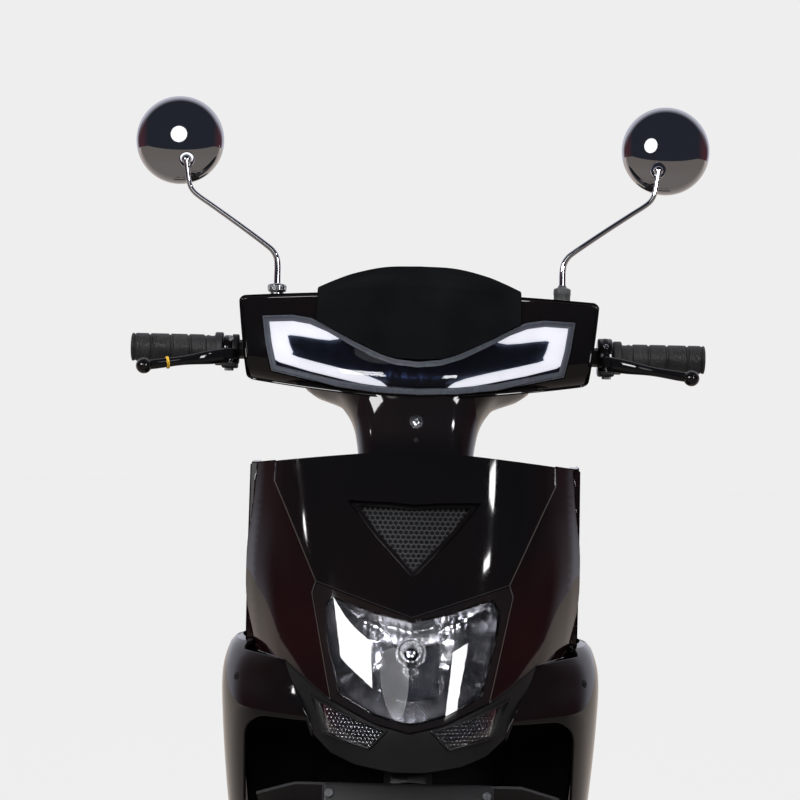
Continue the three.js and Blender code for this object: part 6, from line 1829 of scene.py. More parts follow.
def perch(side):
    name = side_name(side)
    radius = 23 if side > 0 else 18
    parts = []
    if side > 0:
        parts.append(ring_of("perch_a", 215.2, 232.8, radius, 11.9, GLOSS, side, 2.2))
        parts.append(ring_of("perch_band", 221.0, 227.0, radius, 11.9, SATIN, side, 0.4))
    else:
        parts.append(ring_of("perch_b", 215.2, 223.0, radius, 11.9, SATIN, side, 1.0))
        parts.append(ring_of("perch_c", 223.4, 232.8, radius - 1.2, 11.9, GLOSS, side, 1.6))
    low_x, high_x = sorted((215.4 * side, 232.6 * side))
    parts.append(block("perch_shelf", (low_x, BAR_Y - 46.5, 952.8), (high_x, BAR_Y - 2, 959.4), SATIN,
                       2.2, 3))
    pivot = (224 * side, BAR_Y - 38)
    parts.append(rod("perch_pin", (pivot[0], pivot[1], 952.0), (pivot[0], pivot[1], 976.2), 3, STEEL, 24,
                     0.5))
    parts.append(lathe("perch_nut", [(0, 0), (5.2, 0), (5.6, 0.5), (5.6, 2.6), (5.0, 3.2), (0, 3.2)],
                       STEEL, 6,
                       Matrix.Translation((pivot[0], pivot[1], 949.6))))
    for dz in (-12.5, 12.5):
        reach = math.sqrt(max(radius ** 2 - dz ** 2, 1))
        centre = Vector((224 * side, BAR_Y - reach + 1.5, BAR_Z + dz))
        parts.append(lathe("perch_bolt",
                           [(0, 0), (3.4, 0), (3.4, 2.0), (2.9, 2.6), (1.6, 2.6), (1.5, 1.4), (0, 1.4)],
                           STEEL, 20, facing_front(centre.y,
                                                   centre.z) @ Matrix.Translation((centre.x, 0, 0))))
    piece = joined(f"lever_clamp_{name}", parts)
    finish_piece(piece, "steering", "satin", f"lever_perch_{name}")


def lever(side):
    name = side_name(side)
    root = Vector((224, BAR_Y - 38, 968))
    tip = Vector((322, BAR_Y - 66, 953))
    rings, sides = 26, 28
    points, faces = [], []
    for j in range(rings + 1):
        t = j / rings
        centre = root.lerp(tip, t)
        centre.y -= 8 * math.sin(math.pi * t) + 2.0 * math.sin(2 * math.pi * t)
        half = mix(8.4, 5.2, smooth_step(t * 1.3)) + 0.5 * math.sin(3 * math.pi * t)
        deep = mix(4.6, 3.4, t)
        for k in range(sides):
            angle = 2 * math.pi * k / sides
            c, s = math.cos(angle), math.sin(angle)
            points.append(Vector((
                centre.x * side,
                centre.y + deep * math.copysign(abs(c) ** 0.85, c),
                centre.z + half * math.copysign(abs(s) ** 0.85, s),
            )))
    faces += ring_faces(rings, sides)
    faces.append(tuple(range(sides)))
    faces.append(tuple(rings * sides + k for k in range(sides)))
    blade = new_object(f"lever_blade_{name}", points, faces, LEVER)
    fix_normals(blade)
    smooth_by_angle(blade, 45)
    ball = lathe("lever_ball", [(9.4 * math.sin(math.pi * k / 20), -9.4 * math.cos(math.pi * k / 20))
                                for k in range(21)],
                 LEVER, 36, Matrix.Translation((tip.x * side, tip.y, tip.z)), 60)
    hub = lathe("lever_hub", [(3.2, -3.8), (8.2, -3.8), (9, -3.0), (9, 7.2), (8.2, 8), (3.4, 8)], LEVER, 40,
                Matrix.Translation((root.x * side, root.y, root.z)))
    parts = [blade, ball, hub]
    if side < 0:
        at = root.lerp(tip, 0.72)
        centre = (at.x * side, at.y - 8 * math.sin(math.pi * 0.72), at.z)
        turn = Vector((tip.x * side, tip.y, tip.z)) - Vector((root.x * side, root.y, root.z))
        band = ring_lathe("lever_band", [(6.3, -1.8), (7.1, -1.5), (7.3, 0), (7.1, 1.5), (6.3, 1.8)],
                          BAND, 36,
                          standing(centre, turn))
        parts.append(band)
    piece = joined(f"brake_blade_{name}", parts)
    finish_piece(piece, f"lever_{name}", "gloss", f"brake_lever_{name}")


def stalk(side):
    name = side_name(side)
    x0, y0, x1, y1, z1 = 170, -268, 282, -264, 1201
    shares = [
        (0, 0, 0), (0, 0.12, 0), (0, 0.2, 0), (0.012, 0.26, 0), (0.05, 0.31, 0.06), (0.12, 0.355, 0.2),
        (0.4, 0.498, 0.45), (0.7, 0.645, 0.7), (0.86, 0.722, 0.88), (0.93, 0.77, 0.97), (0.965, 0.83, 1),
        (0.985, 0.92, 1), (1, 0.995, 1),
    ]
    rise = z1 - COWL_CROWN
    path = [((x0 + a * (x1 - x0)) * side, mix(y0, y1 - 4.2, c), COWL_CROWN + b * rise) for a, b, c in shares]
    smooth = catmull(path, 8)
    count = len(smooth)
    radii = [mix(4.0, 3.0, smooth_step(k / count * 1.6)) for k in range(count)]
    bar_piece = tube(f"stalk_rod_{name}", smooth, 3.2, CHROME, sides=24, radii=radii)
    ball = lathe("stalk_ball", [(6 * math.sin(math.pi * k / 16), -6 * math.cos(math.pi * k / 16))
                                for k in range(17)], CHROME, 28, Matrix.Translation((x1 * side, y1, z1)), 60)
    seat = 1039.2
    foot = Matrix.Translation((x0 * side, y0, seat))
    if side < 0:
        base = lathe("stalk_nut", [
            (0, 0), (7.6, 0), (8.0, 0.4), (8.0, 5.2), (7.6, 5.6), (9.8, 6.0), (10.6, 6.6), (10.8, 7.4),
            (10.8, 13.6),
            (10.2, 14.6), (8.6, 15.2), (5.2, 15.4), (4.4, 16.2), (0, 16.2),
        ], STEEL, 44, foot, 24)
        knurls = []
        for k in range(30):
            turn = Matrix.Rotation(2 * math.pi * k / 30, 4, "Z")
            knurls.append(block("stalk_knurl", (10.2, -0.55, 7.6), (11.2, 0.55, 13.2), STEEL, 0.25, 1,
                                foot @ turn))
        parts = [bar_piece, ball, base, *knurls]
    else:
        base = lathe("stalk_boot", [
            (0, 0), (10.2, 0), (10.4, 1.2), (9.9, 2.2), (9.9, 9.0), (10.3, 10.0), (10.3, 15.6),
            (9.6, 17.2), (6.4, 18.2),
            (5.0, 19.6), (4.3, 21.4), (0, 21.4),
        ], BOOT, 44, foot, 30)
        parts = [bar_piece, ball, base]
    piece = joined(f"mirror_stalk_{name}", parts)
    finish_piece(piece, f"stalk_{name}", "chrome", f"mirror_arm_{name}")


def mirror_head(side):
    name = side_name(side)
    place = Matrix.Translation((293 * side, -232, 1227)) @ turned(90, "X")
    dome = []
    for k in range(30):
        s = k / 29
        r = 53 * math.sin(s * math.pi / 2 * 0.985)
        dome.append((r, 24 * (math.cos(s * math.pi / 2) ** 0.92) if s < 1 else 0))
    profile = dome + [(53.0, -0.6), (52.8, -1.8), (52.2, -2.2), (51.2, -2.2), (50.6, -1.6), (50.4, 0.0)]
    shell = lathe(f"mirror_dome_{name}", profile, CHROME, 128, place, 40)
    glass = lathe(f"mirror_glass_{name}", [(0, 0.55), (25, 0.35), (40, 0.05), (50.2, -0.4), (50.2, 0.8)],
                  MIRROR_GLASS, 96,
                  place, 60)
    boss_place = Matrix.Translation((282 * side, -261, 1201)) @ turned(-90, "X")
    boss = lathe("mirror_boss", [
        (6.4, 0), (8.6, 0.2), (9.4, 1.2), (9.5, 4), (9.5, 12), (9.2, 20), (8.4, 21.5), (0, 21.5),
    ], CHROME, 40, boss_place, 40)
    piece = joined(f"mirror_{name}_head", [shell, glass, boss])
    finish_piece(piece, f"mirror_{name}", "chrome", f"mirror_head_{name}")


def switches():
    for name, node, z, body, material, slot in (
        ("horn_cap", "horn_button", 966, "horn", HORN, "red"),
        ("turn_cap", "turn_switch", 984, "turn_knob", SATIN, "satin"),
    ):
        face = BAR_Y + math.sqrt(23 ** 2 - (z - BAR_Z) ** 2)
        place = Matrix.Translation((224, face, z)) @ turned(-90, "X")
        cap = lathe(name,
                    [(0, -4.6), (4.9, -4.6), (4.9, 2.4), (4.5, 3.3), (3.4, 3.8), (1.6, 3.5), (0, 3.4)],
                    material, 36,
                    place, 35)
        if name == "turn_cap":
            rib = block("turn_rib", (-4.0, -0.9, 2.2), (4.0, 0.9, 3.9), GREY, 0.5, 2, place)
            cap = joined("turn_knob_cap", [cap, rib])
        finish_piece(cap, body, slot, node)


def key():
    place = Matrix.Translation((72, -250, 760)) @ turned(-90, "X")
    barrel = lathe("key_barrel",
                   [(0, 8.4), (8.6, 8.4), (8.9, 9), (8.9, 23.6), (8.2, 25.4), (6.6, 26), (2.4, 26),
                                  (2.2, 25), (0, 25)],
                   STEEL, 44, place)
    bow = []
    for k in range(40):
        angle = 2 * math.pi * k / 40
        bow.append((11.6 * math.copysign(abs(math.cos(angle)) ** 0.8, math.cos(angle)),
                    37 + 10.4 * math.copysign(abs(math.sin(angle)) ** 0.8, math.sin(angle))))
    hole = circle(2.6, 16, (0, 42))
    head = trimmed("key_bow", lambda a, b: Vector((72 + 1.4, -250 + b, 760 + a)), bow, SATIN, [hole], step=4,
                   edge_step=1.6, rim=0.7, thickness=2.8, out=1)
    blade = block("key_blade", (71.2, -226, 756.6), (72.8, -213.5, 763.4), STEEL, 0.4, 1)
    piece = joined("ignition_key_set", [barrel, head, blade])
    finish_piece(piece, "key", "steel", "ignition_key")


def mirror_glass():
    mat, tree, bsdf = shader("mirror_glass", (0.86, 0.88, 0.92), 0.01, 1.0)
    vector = object_space(tree)
    tree.links.new(spread(tree, noise(tree, vector, 300, 2), 0.004, 0.02), bsdf.inputs["Roughness"])
    return mat


MIRROR_GLASS = mirror_glass()
BAND = satin_plastic("yellow_band", (0.60, 0.36, 0.03), 0.5)
LEVER = gloss_paint("lever_black", (0.004, 0.004, 0.0045), (0.006, 0.006, 0.0065))
BOOT = rubber_paint("boot_rubber", (0.05, 0.051, 0.053), 0.45)
HORN = satin_plastic("horn_red", (0.28, 0.02, 0.015), 0.35)
for hand in (-1, 1):
    grip(hand)
    perch(hand)
    lever(hand)
    stalk(hand)
    mirror_head(hand)
switches()
key()


# ---------------------------------------------------------------- wheels, fork and fenders

def on_axle(axle):
    """Turns a lathe so that its height runs along the axle, towards +X."""
    return Matrix.Translation(axle) @ turned(90, "Y")


TYRE_SIDE = [
    (127.5, 25.7), (131, 26.2), (138, 26.6), (143, 31.5), (150, 35.6), (158, 38.0), (167, 39.0), (176, 38.2),
    (184, 35.9), (189.5, 33.2), (193.2, 29.8), (196.4, 25.6), (199.2, 21.0), (201.6, 15.8), (203.6, 10.4),
    (204.7, 5.2), (205, 0),
]


def tread_depth(angle, x):
    """Two grooves run round the tyre, and slanting sipes cut its shoulders into blocks."""
    groove = max(0.0, 1 - abs(abs(x) - 9.5) / 1.9)
    cells = 40
    lean = math.copysign(0.0042, x) * 0.9
    phase = (angle / (2 * math.pi) * cells + abs(x) * 0.052 + (0.5 if x > 0 else 0)) % 1
    sipe = max(0.0, 1 - abs(phase - 0.5) / 0.12) if 11.5 < abs(x) < 33.5 else 0
    middle = (angle / (2 * math.pi) * cells * 0.5 + lean * x) % 1
    notch = max(0.0, 1 - abs(middle - 0.5) / 0.05) if abs(x) < 5.5 else 0
    return 3.4 * min(1.0, groove * 1.8) + 2.9 * min(1.0, sipe * 1.7) + 1.6 * min(1.0, notch * 1.6)


def tyre(name, axle, body, node):
    half = []
    for (r0, x0), (r1, x1) in zip(TYRE_SIDE, TYRE_SIDE[1:]):
        parts = 3 if r0 > 188 else 1
        half += [(mix(r0, r1, k / parts), mix(x0, x1, k / parts)) for k in range(parts)]
    half.append(TYRE_SIDE[-1])
    section = half + [(r, -x) for r, x in reversed(half[:-1])]
    section += [(124.5, -24), (124.5, 24)]
    sides = 480
    points, faces = [], []
    for r, x in section:
        for k in range(sides):
            angle = 2 * math.pi * k / sides
            cut = tread_depth(angle, x) if r > 187 else 0
            if 160 < r < 175 and abs(x) > 38:
                cut = 0.5 * (1 if k % 4 < 2 else 0)
            rr = r - (cut if r > 187 else 0)
            xx = x - math.copysign(cut, x) if 160 < r < 175 else x
            points.append(Vector((xx, axle[1] + rr * math.cos(angle), axle[2] + rr * math.sin(angle))))
    rows = len(section)
    faces += ring_faces(rows, sides, closed=True)
    obj = new_object(name, points, faces, TYRE)
    fix_normals(obj)
    smooth_by_angle(obj, 32)
    finish_piece(obj, body, "tyre", node)


def rim_profile(inner):
    return [
        (inner, 29.4), (inner + 1, 30), (134, 30), (136.4, 29.4), (137, 28), (136.6, 26.4), (134, 25.9),
        (128, 25.7),
        (126, 24.0), (121, 14), (119, 10), (119, -10), (121, -14), (126, -24.0), (128, -25.7), (134, -25.9),
        (136.6, -26.4), (137, -28), (136.4, -29.4), (134, -30), (inner + 1, -30), (inner, -29.4),
    ]


def spoke(angle, side_shift, root, tip, material):
    """A cast spoke: wide and deep at the hub, waisted, and flared into the rim."""
    rows, sides = 12, 20
    points, faces = [], []
    for j in range(rows + 1):
        t = j / rows
        r = mix(root, tip, t)
        half_width = mix(15, 11, t) + 5.5 * t ** 6
        half_depth = mix(14, 10, t) + 3.0 * t ** 8
        for k in range(sides):
            turn = 2 * math.pi * k / sides
            c, s = math.cos(turn), math.sin(turn)
            x = half_depth * math.copysign(abs(c) ** 0.55, c) + side_shift
            w = half_width * math.copysign(abs(s) ** 0.55, s)
            points.append(Vector((x, w, r)))
    faces += ring_faces(rows, sides)
    turn = Matrix.Rotation(angle, 4, "X")
    place = Matrix.Translation(FRONT_AXLE) @ turn
    obj = new_object("rim_spoke", [place @ p for p in points], faces, material)
    fix_normals(obj)
    return smooth_by_angle(obj, 40)


def brake_disc():
    outline = circle(90, 90)
    inner = circle(60, 60)
    holes = [inner]
    for k in range(30):
        turn = 2 * math.pi * k / 30
        radius = (67, 74, 81)[k % 3]
        centre = (radius * math.cos(turn), radius * math.sin(turn))
        holes.append(circle(2.9, 12, centre))

    def face(a, b):
        return Vector((48.6, FRONT_AXLE[1] + a, FRONT_AXLE[2] + b))

    ring = trimmed("disc_ring", face, outline, DISC, holes, step=8, edge_step=3, rim=0.3, thickness=3.0)
    arms = []
    for k in range(5):
        angle = 2 * math.pi * (k / 5 + 1 / 5 + 0.113)
        place = Matrix.Translation(FRONT_AXLE) @ Matrix.Rotation(angle, 4, "X")
        arms.append(block("disc_arm", (45.2, -6, 16), (48.4, 6, 62), ALLOY, 1.0, 2, place))
        arms.append(lathe("disc_bolt",
                          [(0, 0), (4.6, 0), (4.8, 0.4), (4.8, 2.2), (4.2, 2.8), (2.3, 2.8), (2.2, 1.2),
                                        (0, 1.2)],
                          STEEL, 24, place @ Matrix.Translation((48.2, 0, 24)) @ turned(90, "Y")))
    return [ring, *arms]


def front_wheel():
    barrel = ring_lathe("rim_barrel", rim_profile(113), ALLOY, 128, on_axle(FRONT_AXLE), 35)
    hub = lathe("rim_hub", [
        (8.6, -40), (22, -40), (24, -38), (24, -30), (29, -26), (30, -20), (30, 34), (26, 38), (26, 48),
        (24.5, 49.5),
        (8.6, 49.5),
    ], ALLOY, 64, on_axle(FRONT_AXLE), 30)
    spokes = [spoke(2 * math.pi * (k / 5 + 1 / 5 + 0.017), 0, 24, 116, ALLOY) for k in range(5)]
    valve = rod("rim_valve", (8, FRONT_AXLE[1] + 30, FRONT_AXLE[2] + 110),
                (13, FRONT_AXLE[1] + 26, FRONT_AXLE[2] + 94), 3, GRIP, 20, 0.8)
    piece = joined("front_wheel_cast", [barrel, hub, *spokes, *brake_disc(), valve])
    finish_piece(piece, "front_wheel", "alloy", "front_rim")
    tyre("front_tyre_tread", FRONT_AXLE, "front_wheel", "front_tyre")


def hub_motor():
    face = [
        (8.6, 54), (14, 54), (15, 53), (29, 53), (30, 52), (30, 49), (31.5, 47.6), (60, 46.8), (90, 46.2),
        (98, 46.6),
        (100, 46.4), (102.5, 43), (105, 33), (106.5, 30), (112, 29.6),
    ]
    other = [(r, -x) for r, x in face]
    outer = rim_profile(112)
    shell = lathe("motor_shell", face + outer[1:-1] + other[::-1], ALLOY, 128, on_axle(REAR_AXLE), 30)
    bolts, ribs = [], []
    for side in (-1, 1):
        for k in range(12):
            angle = 2 * math.pi * (k + 0.5) / 12
            place = Matrix.Translation(REAR_AXLE) @ Matrix.Rotation(angle, 4, "X")
            turned_place = turned(90 * side, "Y")
            bolts.append(lathe("motor_bolt",
                               [(0, 0), (4.2, 0), (4.4, 0.4), (4.4, 1.9), (3.8, 2.4), (2.0, 2.4), (1.9, 1.2),
                                              (0, 1.2)],
                               STEEL, 18, place @ Matrix.Translation((46.0 * side, 0, 93)) @ turned_place))
            low_x, high_x = sorted((46.4 * side, 49.4 * side))
            ribs.append(block("motor_rib", (low_x, -1.8, 34), (high_x, 1.8, 84), ALLOY, 0.8, 2, place))
    piece = joined("motor_wheel_hub", [shell, *bolts, *ribs])
    finish_piece(piece, "rear_wheel", "alloy", "hub_motor")
    tyre("rear_tyre_tread", REAR_AXLE, "rear_wheel", "rear_tyre")


def along_steer(x, back, along):
    """Turns a lathe so that its height runs up the steering axis."""
    return STEER @ Matrix.Translation((x, back, along))


def fork():
    for side in (-1, 1):
        name = side_name(side)
        leg = lathe(f"slider_{name}", [
            (0, -26), (13, -26), (16, -24), (19, -18), (19.6, -10), (19.6, 70), (18.4, 78), (18.4, 190),
            (19.8, 196),
            (20, 200), (20, 214), (19.2, 216), (18.8, 220), (17.2, 222), (15.4, 222), (15.4, 212),
        ], ALLOY, 56, along_steer(74 * side, -14, 0), 28)
        seal = lathe("slider_seal", [(15.2, 216), (18.6, 216.6), (19.0, 219), (17.2, 222.6), (15.3, 223)],
                     GRIP, 48,
                     along_steer(74 * side, -14, 0), 28)
        nut = lathe("axle_nut",
                    [(0, 20), (12.4, 20), (13.6, 21), (13.6, 28), (12.6, 29.6), (8.6, 30), (8, 31), (0, 31)],
                    STEEL, 6, along_steer(74 * side, -14, 0) @ turned(90 * side, "Y"), 20)
        low_x, high_x = sorted((49.6 * side, 66 * side))
        lug = block("fender_lug", (low_x, -22, 178), (high_x, -6, 204), ALLOY, 2, 3, STEER)
        parts = [leg, seal, nut, lug]
        if side > 0:
            parts.append(rod("front_axle", steer_point(-84, -14, 0), steer_point(94, -14, 0), 8, STEEL,
                             32, 0.6))
            parts.append(block("caliper_a", (51.2, 1, 54), (77, 44, 103), CALIPER, 4, 4, STEER))
            parts.append(block("caliper_b", (40.2, 6, 58), (43.0, 42, 99), CALIPER, 1, 2, STEER))
            parts.append(block("caliper_bridge", (42, 38, 60), (58, 43.8, 97), CALIPER, 1.6, 3, STEER))
            for dz in (66, 91):
                turned_place = Matrix.Translation((76.4, 23, dz)) @ turned(90, "Y")
                parts.append(lathe("caliper_bolt",
                                   [(0, 0), (5, 0), (5, 1.0), (4.4, 1.6), (2.2, 1.6), (2.1, 0.6), (0, 0.6)],
                                   STEEL, 24, STEER @ turned_place))
            piston = Matrix.Translation((74, 23, 78.5)) @ turned(90, "Y")
            parts.append(lathe("caliper_cap", [(0, 0), (9, 0), (9.4, 3), (8.4, 4), (0, 4)], CALIPER, 36,
                               STEER @ piston))
        piece = joined(f"fork_leg_{name}", parts)
        finish_piece(piece, "fork_lower", "alloy", f"fork_slider_{name}")
    tubes = [lathe("stanchion",
                   [(0, 112), (14.6, 112), (15, 113), (15, 290), (15, 316), (14, 318), (0, 318)], CHROME, 48,
                   along_steer(74 * side, -14, 0), 30) for side in (-1, 1)]
    yoke = block("fork_yoke", (-94, -32, 290), (94, 18, 318), FRAME, 5, 4, STEER)
    stem = rod("fork_stem", steer_point(0, 0, 292), steer_point(0, 0, 840), 15, FRAME, 40, 1)
    rings = [lathe("fork_bearing",
                   [(14, h), (17.4, h), (18.4, h + 1), (18.4, h + 11), (17.4, h + 12), (14, h + 12)], STEEL,
                   40, along_steer(0, 0, 0)) for h in (320, 548)]
    bolts = []
    for x in (-86, 86):
        turned_place = Matrix.Translation((x, -32, 304)) @ turned(90, "X")
        bolts.append(lathe("yoke_bolt",
                           [(0, 0), (5, 0), (5, 2), (4.4, 2.8), (2.4, 2.8), (2.3, 1.2), (0, 1.2)], STEEL, 24,
                           STEER @ turned_place))
    piece = joined("fork_crown_set", [yoke, stem, *tubes, *rings, *bolts])
    finish_piece(piece, "steering", "frame", "fork_crown")


def fender(name, axle, radius, half, start, end, material, body, slot, node):
    """A band over a wheel: a runs round it and b across."""
    r = radius - 0.2

    def band(a, b):
        u = clamp(b / half, -1, 1)
        bow = 1 - 0.055 * abs(u) ** 5
        if abs(u) > 0.93:
            bow -= 0.12 * ((abs(u) - 0.93) / 0.07) ** 1.4 * 0.55
        angle = a / radius
        return Vector((axle[0] + b, axle[1] + r * bow * math.cos(angle), axle[2] + r * bow * math.sin(angle)))

    low, high = math.radians(start) * radius + 2, math.radians(end) * radius - 2
    corner = 26
    outline = []
    for ca, cb, turn in ((high - corner, half - corner - 1.5, 0), (low + corner, half - corner - 1.5, 90),
                         (low + corner, -half + corner + 1.5, 180),
                         (high - corner, -half + corner + 1.5, 270)):
        for k in range(7):
            angle = math.radians(turn + 90 * k / 6)
            outline.append((ca + corner * math.cos(angle), cb + corner * math.sin(angle)))
    shell = trimmed(name, band, outline, material, step=9, edge_step=5, rim=1.4, thickness=2.6, out=-1)
    finish_piece(shell, body, slot, node)


DISC = metal_paint("disc_steel", (0.5, 0.5, 0.52), 0.3, 1.0, (1, 14, 14))
CALIPER = metal_paint("caliper_coat", (0.02, 0.02, 0.022), 0.35, 0.3)
front_wheel()
hub_motor()
fork()
fender("front_fender_band", FRONT_AXLE, 222, 49, 14, 152, GLOSS, "fork_lower", "gloss", "front_fender")
fender("rear_fender_band", REAR_AXLE, 280, 58, 41, 118, SATIN, "chassis", "satin", "rear_fender")


# ---------------------------------------------------------------- body covers

BODY_FRONT, BODY_BACK, BODY_HALF, BODY_TOP, BODY_FOOT = 172, 806, 160, 684, 304
BODY_RUN, BODY_RISE = BODY_BACK - BODY_FRONT, BODY_TOP - BODY_FOOT
COVER_ROWS = [
    (0, 0.8, 0.94, 0), (0.14, 0.94, 0.955, 0.04), (0.33, 1, 0.965, 0.25), (0.52, 0.985, 0.975, 0.44),
    (0.74, 0.87, 0.985, 0.6), (0.93, 0.65, 0.995, 0.72), (1, 0.46, 1, 0.775),
]
COVER_SECTION = [(0, 0.86), (0.16, 0.95), (0.4, 1), (0.7, 0.97), (1, 0.9)]


def cover_point(a, b, proud=0.0):
    """a runs back along the body and b down its side, 0 to 300 from top to foot."""
    s, t = clamp(a / BODY_RUN, 0, 1), clamp(b / 300, 0, 1)
    row = table(COVER_ROWS, s)
    bulge = table(COVER_SECTION, t)[1]
    crease = 2.2 * math.exp(-((t - 0.34 - 0.10 * s) / 0.035) ** 2)
    ends = smooth_step((s - 0.06) / 0.2), smooth_step((0.98 - s) / 0.2)
    scoop = 5.0 * math.exp(-((t - 0.68) / 0.13) ** 2) * ends[0] * ends[1]
    x = BODY_HALF * row[1] * bulge - scoop + proud - 1.0 + min(crease, 1.0)
    top, foot = BODY_FOOT + row[2] * BODY_RISE, BODY_FOOT + row[3] * BODY_RISE
    return Vector((x, BODY_FRONT + s * BODY_RUN, mix(top, foot, t)))


def side_cover(side):
    name = side_name(side)

    def surface(a, b):
        p = cover_point(a, b)
        return Vector((p.x * side, p.y, p.z))

    def lower(a, b):
        p = cover_point(a, b, -1.2)
        return Vector((p.x * side, p.y, p.z))

    def line_at(share):
        return [(a, 300 * (0.70 - 0.08 * a / BODY_RUN) + share) for a in np.linspace(2.5, BODY_RUN - 2.5, 44)]

    top_line = [(a, 3.0) for a in np.linspace(BODY_RUN - 2.5, 2.5, 44)]
    upper = line_at(-1.0) + top_line
    foot_line = [(a, 297.0) for a in np.linspace(BODY_RUN - 2.5, 2.5, 44)]
    under = line_at(1.0) + foot_line
    if side < 0:
        upper, under = upper[::-1], under[::-1]
    skin = trimmed(f"cover_upper_{name}", surface, upper, GLOSS, step=9, edge_step=5, rim=1.6, out=-side)
    trim = trimmed(f"cover_lower_{name}", lower, under, SATIN, step=9, edge_step=5, rim=1.6, out=-side)
    screws = []
    for k, (a, b) in enumerate(((60, 248), (300, 240), (500, 236))):
        p = lower(a, b)
        n = surface_normal(lower, a, b) * -side
        screws.append(lathe(f"cover_screw_{k}",
                            [(0, -1), (5.4, -1), (5.4, 0.2), (4.6, 0.8), (3.4, 0.2), (1.6, 0.2),
                                                 (1.5, -0.6), (0, -0.6)], STEEL, 24, standing(p, n)))
    piece = joined(f"body_side_{name}", [skin, trim, *screws])
    finish_piece(piece, "chassis", "gloss", f"side_cover_{name}")


def body_front():
    """The slotted panel under the seat's nose, with the storage tub and the seat's hinge lugs behind it."""
    half = [(COVER_ROWS[0][1] * BODY_HALF * share[1] - 3.4,
             mix(BODY_FOOT + 0.94 * BODY_RISE, BODY_FOOT, share[0]))
            for share in COVER_SECTION]
    half = [(x, max(z, 322)) for x, z in half]
    dense = []
    for (x0, z0), (x1, z1) in zip(half, half[1:]):
        dense += [(mix(x0, x1, k / 4), mix(z0, z1, k / 4)) for k in range(4)]
    dense.append(half[-1])
    outline = [(x, -z) for x, z in dense] + [(-x, -z) for x, z in reversed(dense)]
    outline = grown(outline, -1.6)

    def face(a, b):
        foot, head = smooth_step((-b - 330) / 60), smooth_step((640 + b) / 60)
        swell = 3.2 * smooth_step(1 - abs(a) / 92) * foot * head
        return Vector((a, BODY_FRONT + 3.4 - swell, -b))

    slots = []
    for k in range(4):
        z = 368 + 11 * k
        slots.append([(x, -zz) for x, zz in rounded_box(40 - 3 * k, z, z + 5, 2.3, 3)])
    panel = trimmed("body_front_face", face, outline, GLOSS, slots, step=9, edge_step=4, rim=1.6, thickness=3)
    parts = [panel]
    low, high = Vector((-63, 175.4, 432)), Vector((63, 443, 650))
    for name, a, b in (
        ("tub_floor", (low.x, low.y, low.z), (high.x, high.y, low.z + 3)),
        ("tub_back", (low.x, high.y - 3, low.z), (high.x, high.y, high.z)),
        ("tub_side_r", (low.x, low.y, low.z), (low.x + 3, high.y, high.z)),
        ("tub_side_l", (high.x - 3, low.y, low.z), (high.x, high.y, high.z)),
    ):
        parts.append(block(name, a, b, SATIN, 1.2, 2))
    for x in (-60.5, 60.5):
        for k in range(6):
            y = 205 + 42 * k
            low_x, high_x = sorted((x, x + math.copysign(4.5, x)))
            parts.append(block("tub_rib", (low_x, y, 440), (high_x, y + 3, 646), SATIN, 0.8, 2))
    lip = [(-61.5, 180, 650), (-61.5, 441.5, 650), (61.5, 441.5, 650), (61.5, 180, 650)]
    parts.append(tube("tub_lip", lip, 2.2, SATIN, sides=12))
    for side in (-1, 1):
        low_x, high_x = sorted((14.4 * side, 26.2 * side))
        parts.append(block("hinge_lug", (low_x, 150, 664.4), (high_x, 176, 679.6), STEEL, 2, 3))
        parts.append(block("hinge_post", (low_x, 172.6, 640), (high_x, 175.4, 668), STEEL, 0.6, 2))
    piece = joined("body_front_and_tub", parts)
    finish_piece(piece, "chassis", "satin", "storage_tub")


# ---------------------------------------------------------------- floor and leg shield

def floorboard():
    front, back, top = -229, 171.6, 339
    section = [(0, top - 1.2), (146, top - 1.2), (151, top - 1.6), (156, top - 3.4), (160.4, top - 7),
               (163.4, top - 12),
               (165.2, top - 18), (164.4, top - 26), (160, 302), (157, 296)]
    section = [(-x, z) for x, z in reversed(section)] + section[1:]
    inner = [(x * 0.982, z - 3) for x, z in section]
    inner[0] = (section[0][0] + 3, 296)
    inner[-1] = (section[-1][0] - 3, 296)
    rows = 24
    loop = section + inner[::-1]
    points, faces = [], []
    for j in range(rows + 1):
        y = mix(front, back, j / rows)
        points += [Vector((x, y, z)) for x, z in loop]
    n = len(loop)
    faces += ring_faces(rows, n)
    for j in (0, rows):
        m = len(section)
        for k in range(m - 1):
            faces.append((j * n + k, j * n + k + 1, j * n + n - 2 - k, j * n + n - 1 - k))
    tray = new_object("floor_tray", points, faces, SATIN)
    fix_normals(tray)
    smooth_by_angle(tray, 30)
    parts = [tray]
    for k in range(13):
        x = -132 + 22 * k
        trim_y = 12 if k % 2 else 0
        parts.append(block("floor_rib", (x - 4.2, front + 14 + trim_y, top - 2.6),
                           (x + 4.2, back - 12 - trim_y, top), GRIP,
                           0.9, 3))
    for side in (-1, 1):
        for k in range(16):
            y = front + 26 + 23 * k
            low_x, high_x = sorted((143.5 * side, 149.5 * side))
            parts.append(block("floor_stud", (low_x, y, top - 3), (high_x, y + 9, top - 0.6), GRIP, 1.0, 2))
    piece = joined("floor_mat_and_tray", parts)
    finish_piece(piece, "chassis", "satin", "floorboard")


LEG_ROWS = [
    (0, 0.955), (0.12, 0.975), (0.4, 0.975), (0.445, 1.055), (0.7, 1.03), (1, 0.955),
]
LEG_TOP, LEG_FOOT = 850, 345
NECK_NOTCH_REACH = 83.5
NECK_NOTCH_HALF, NECK_NOTCH_DEPTH = 34, 20


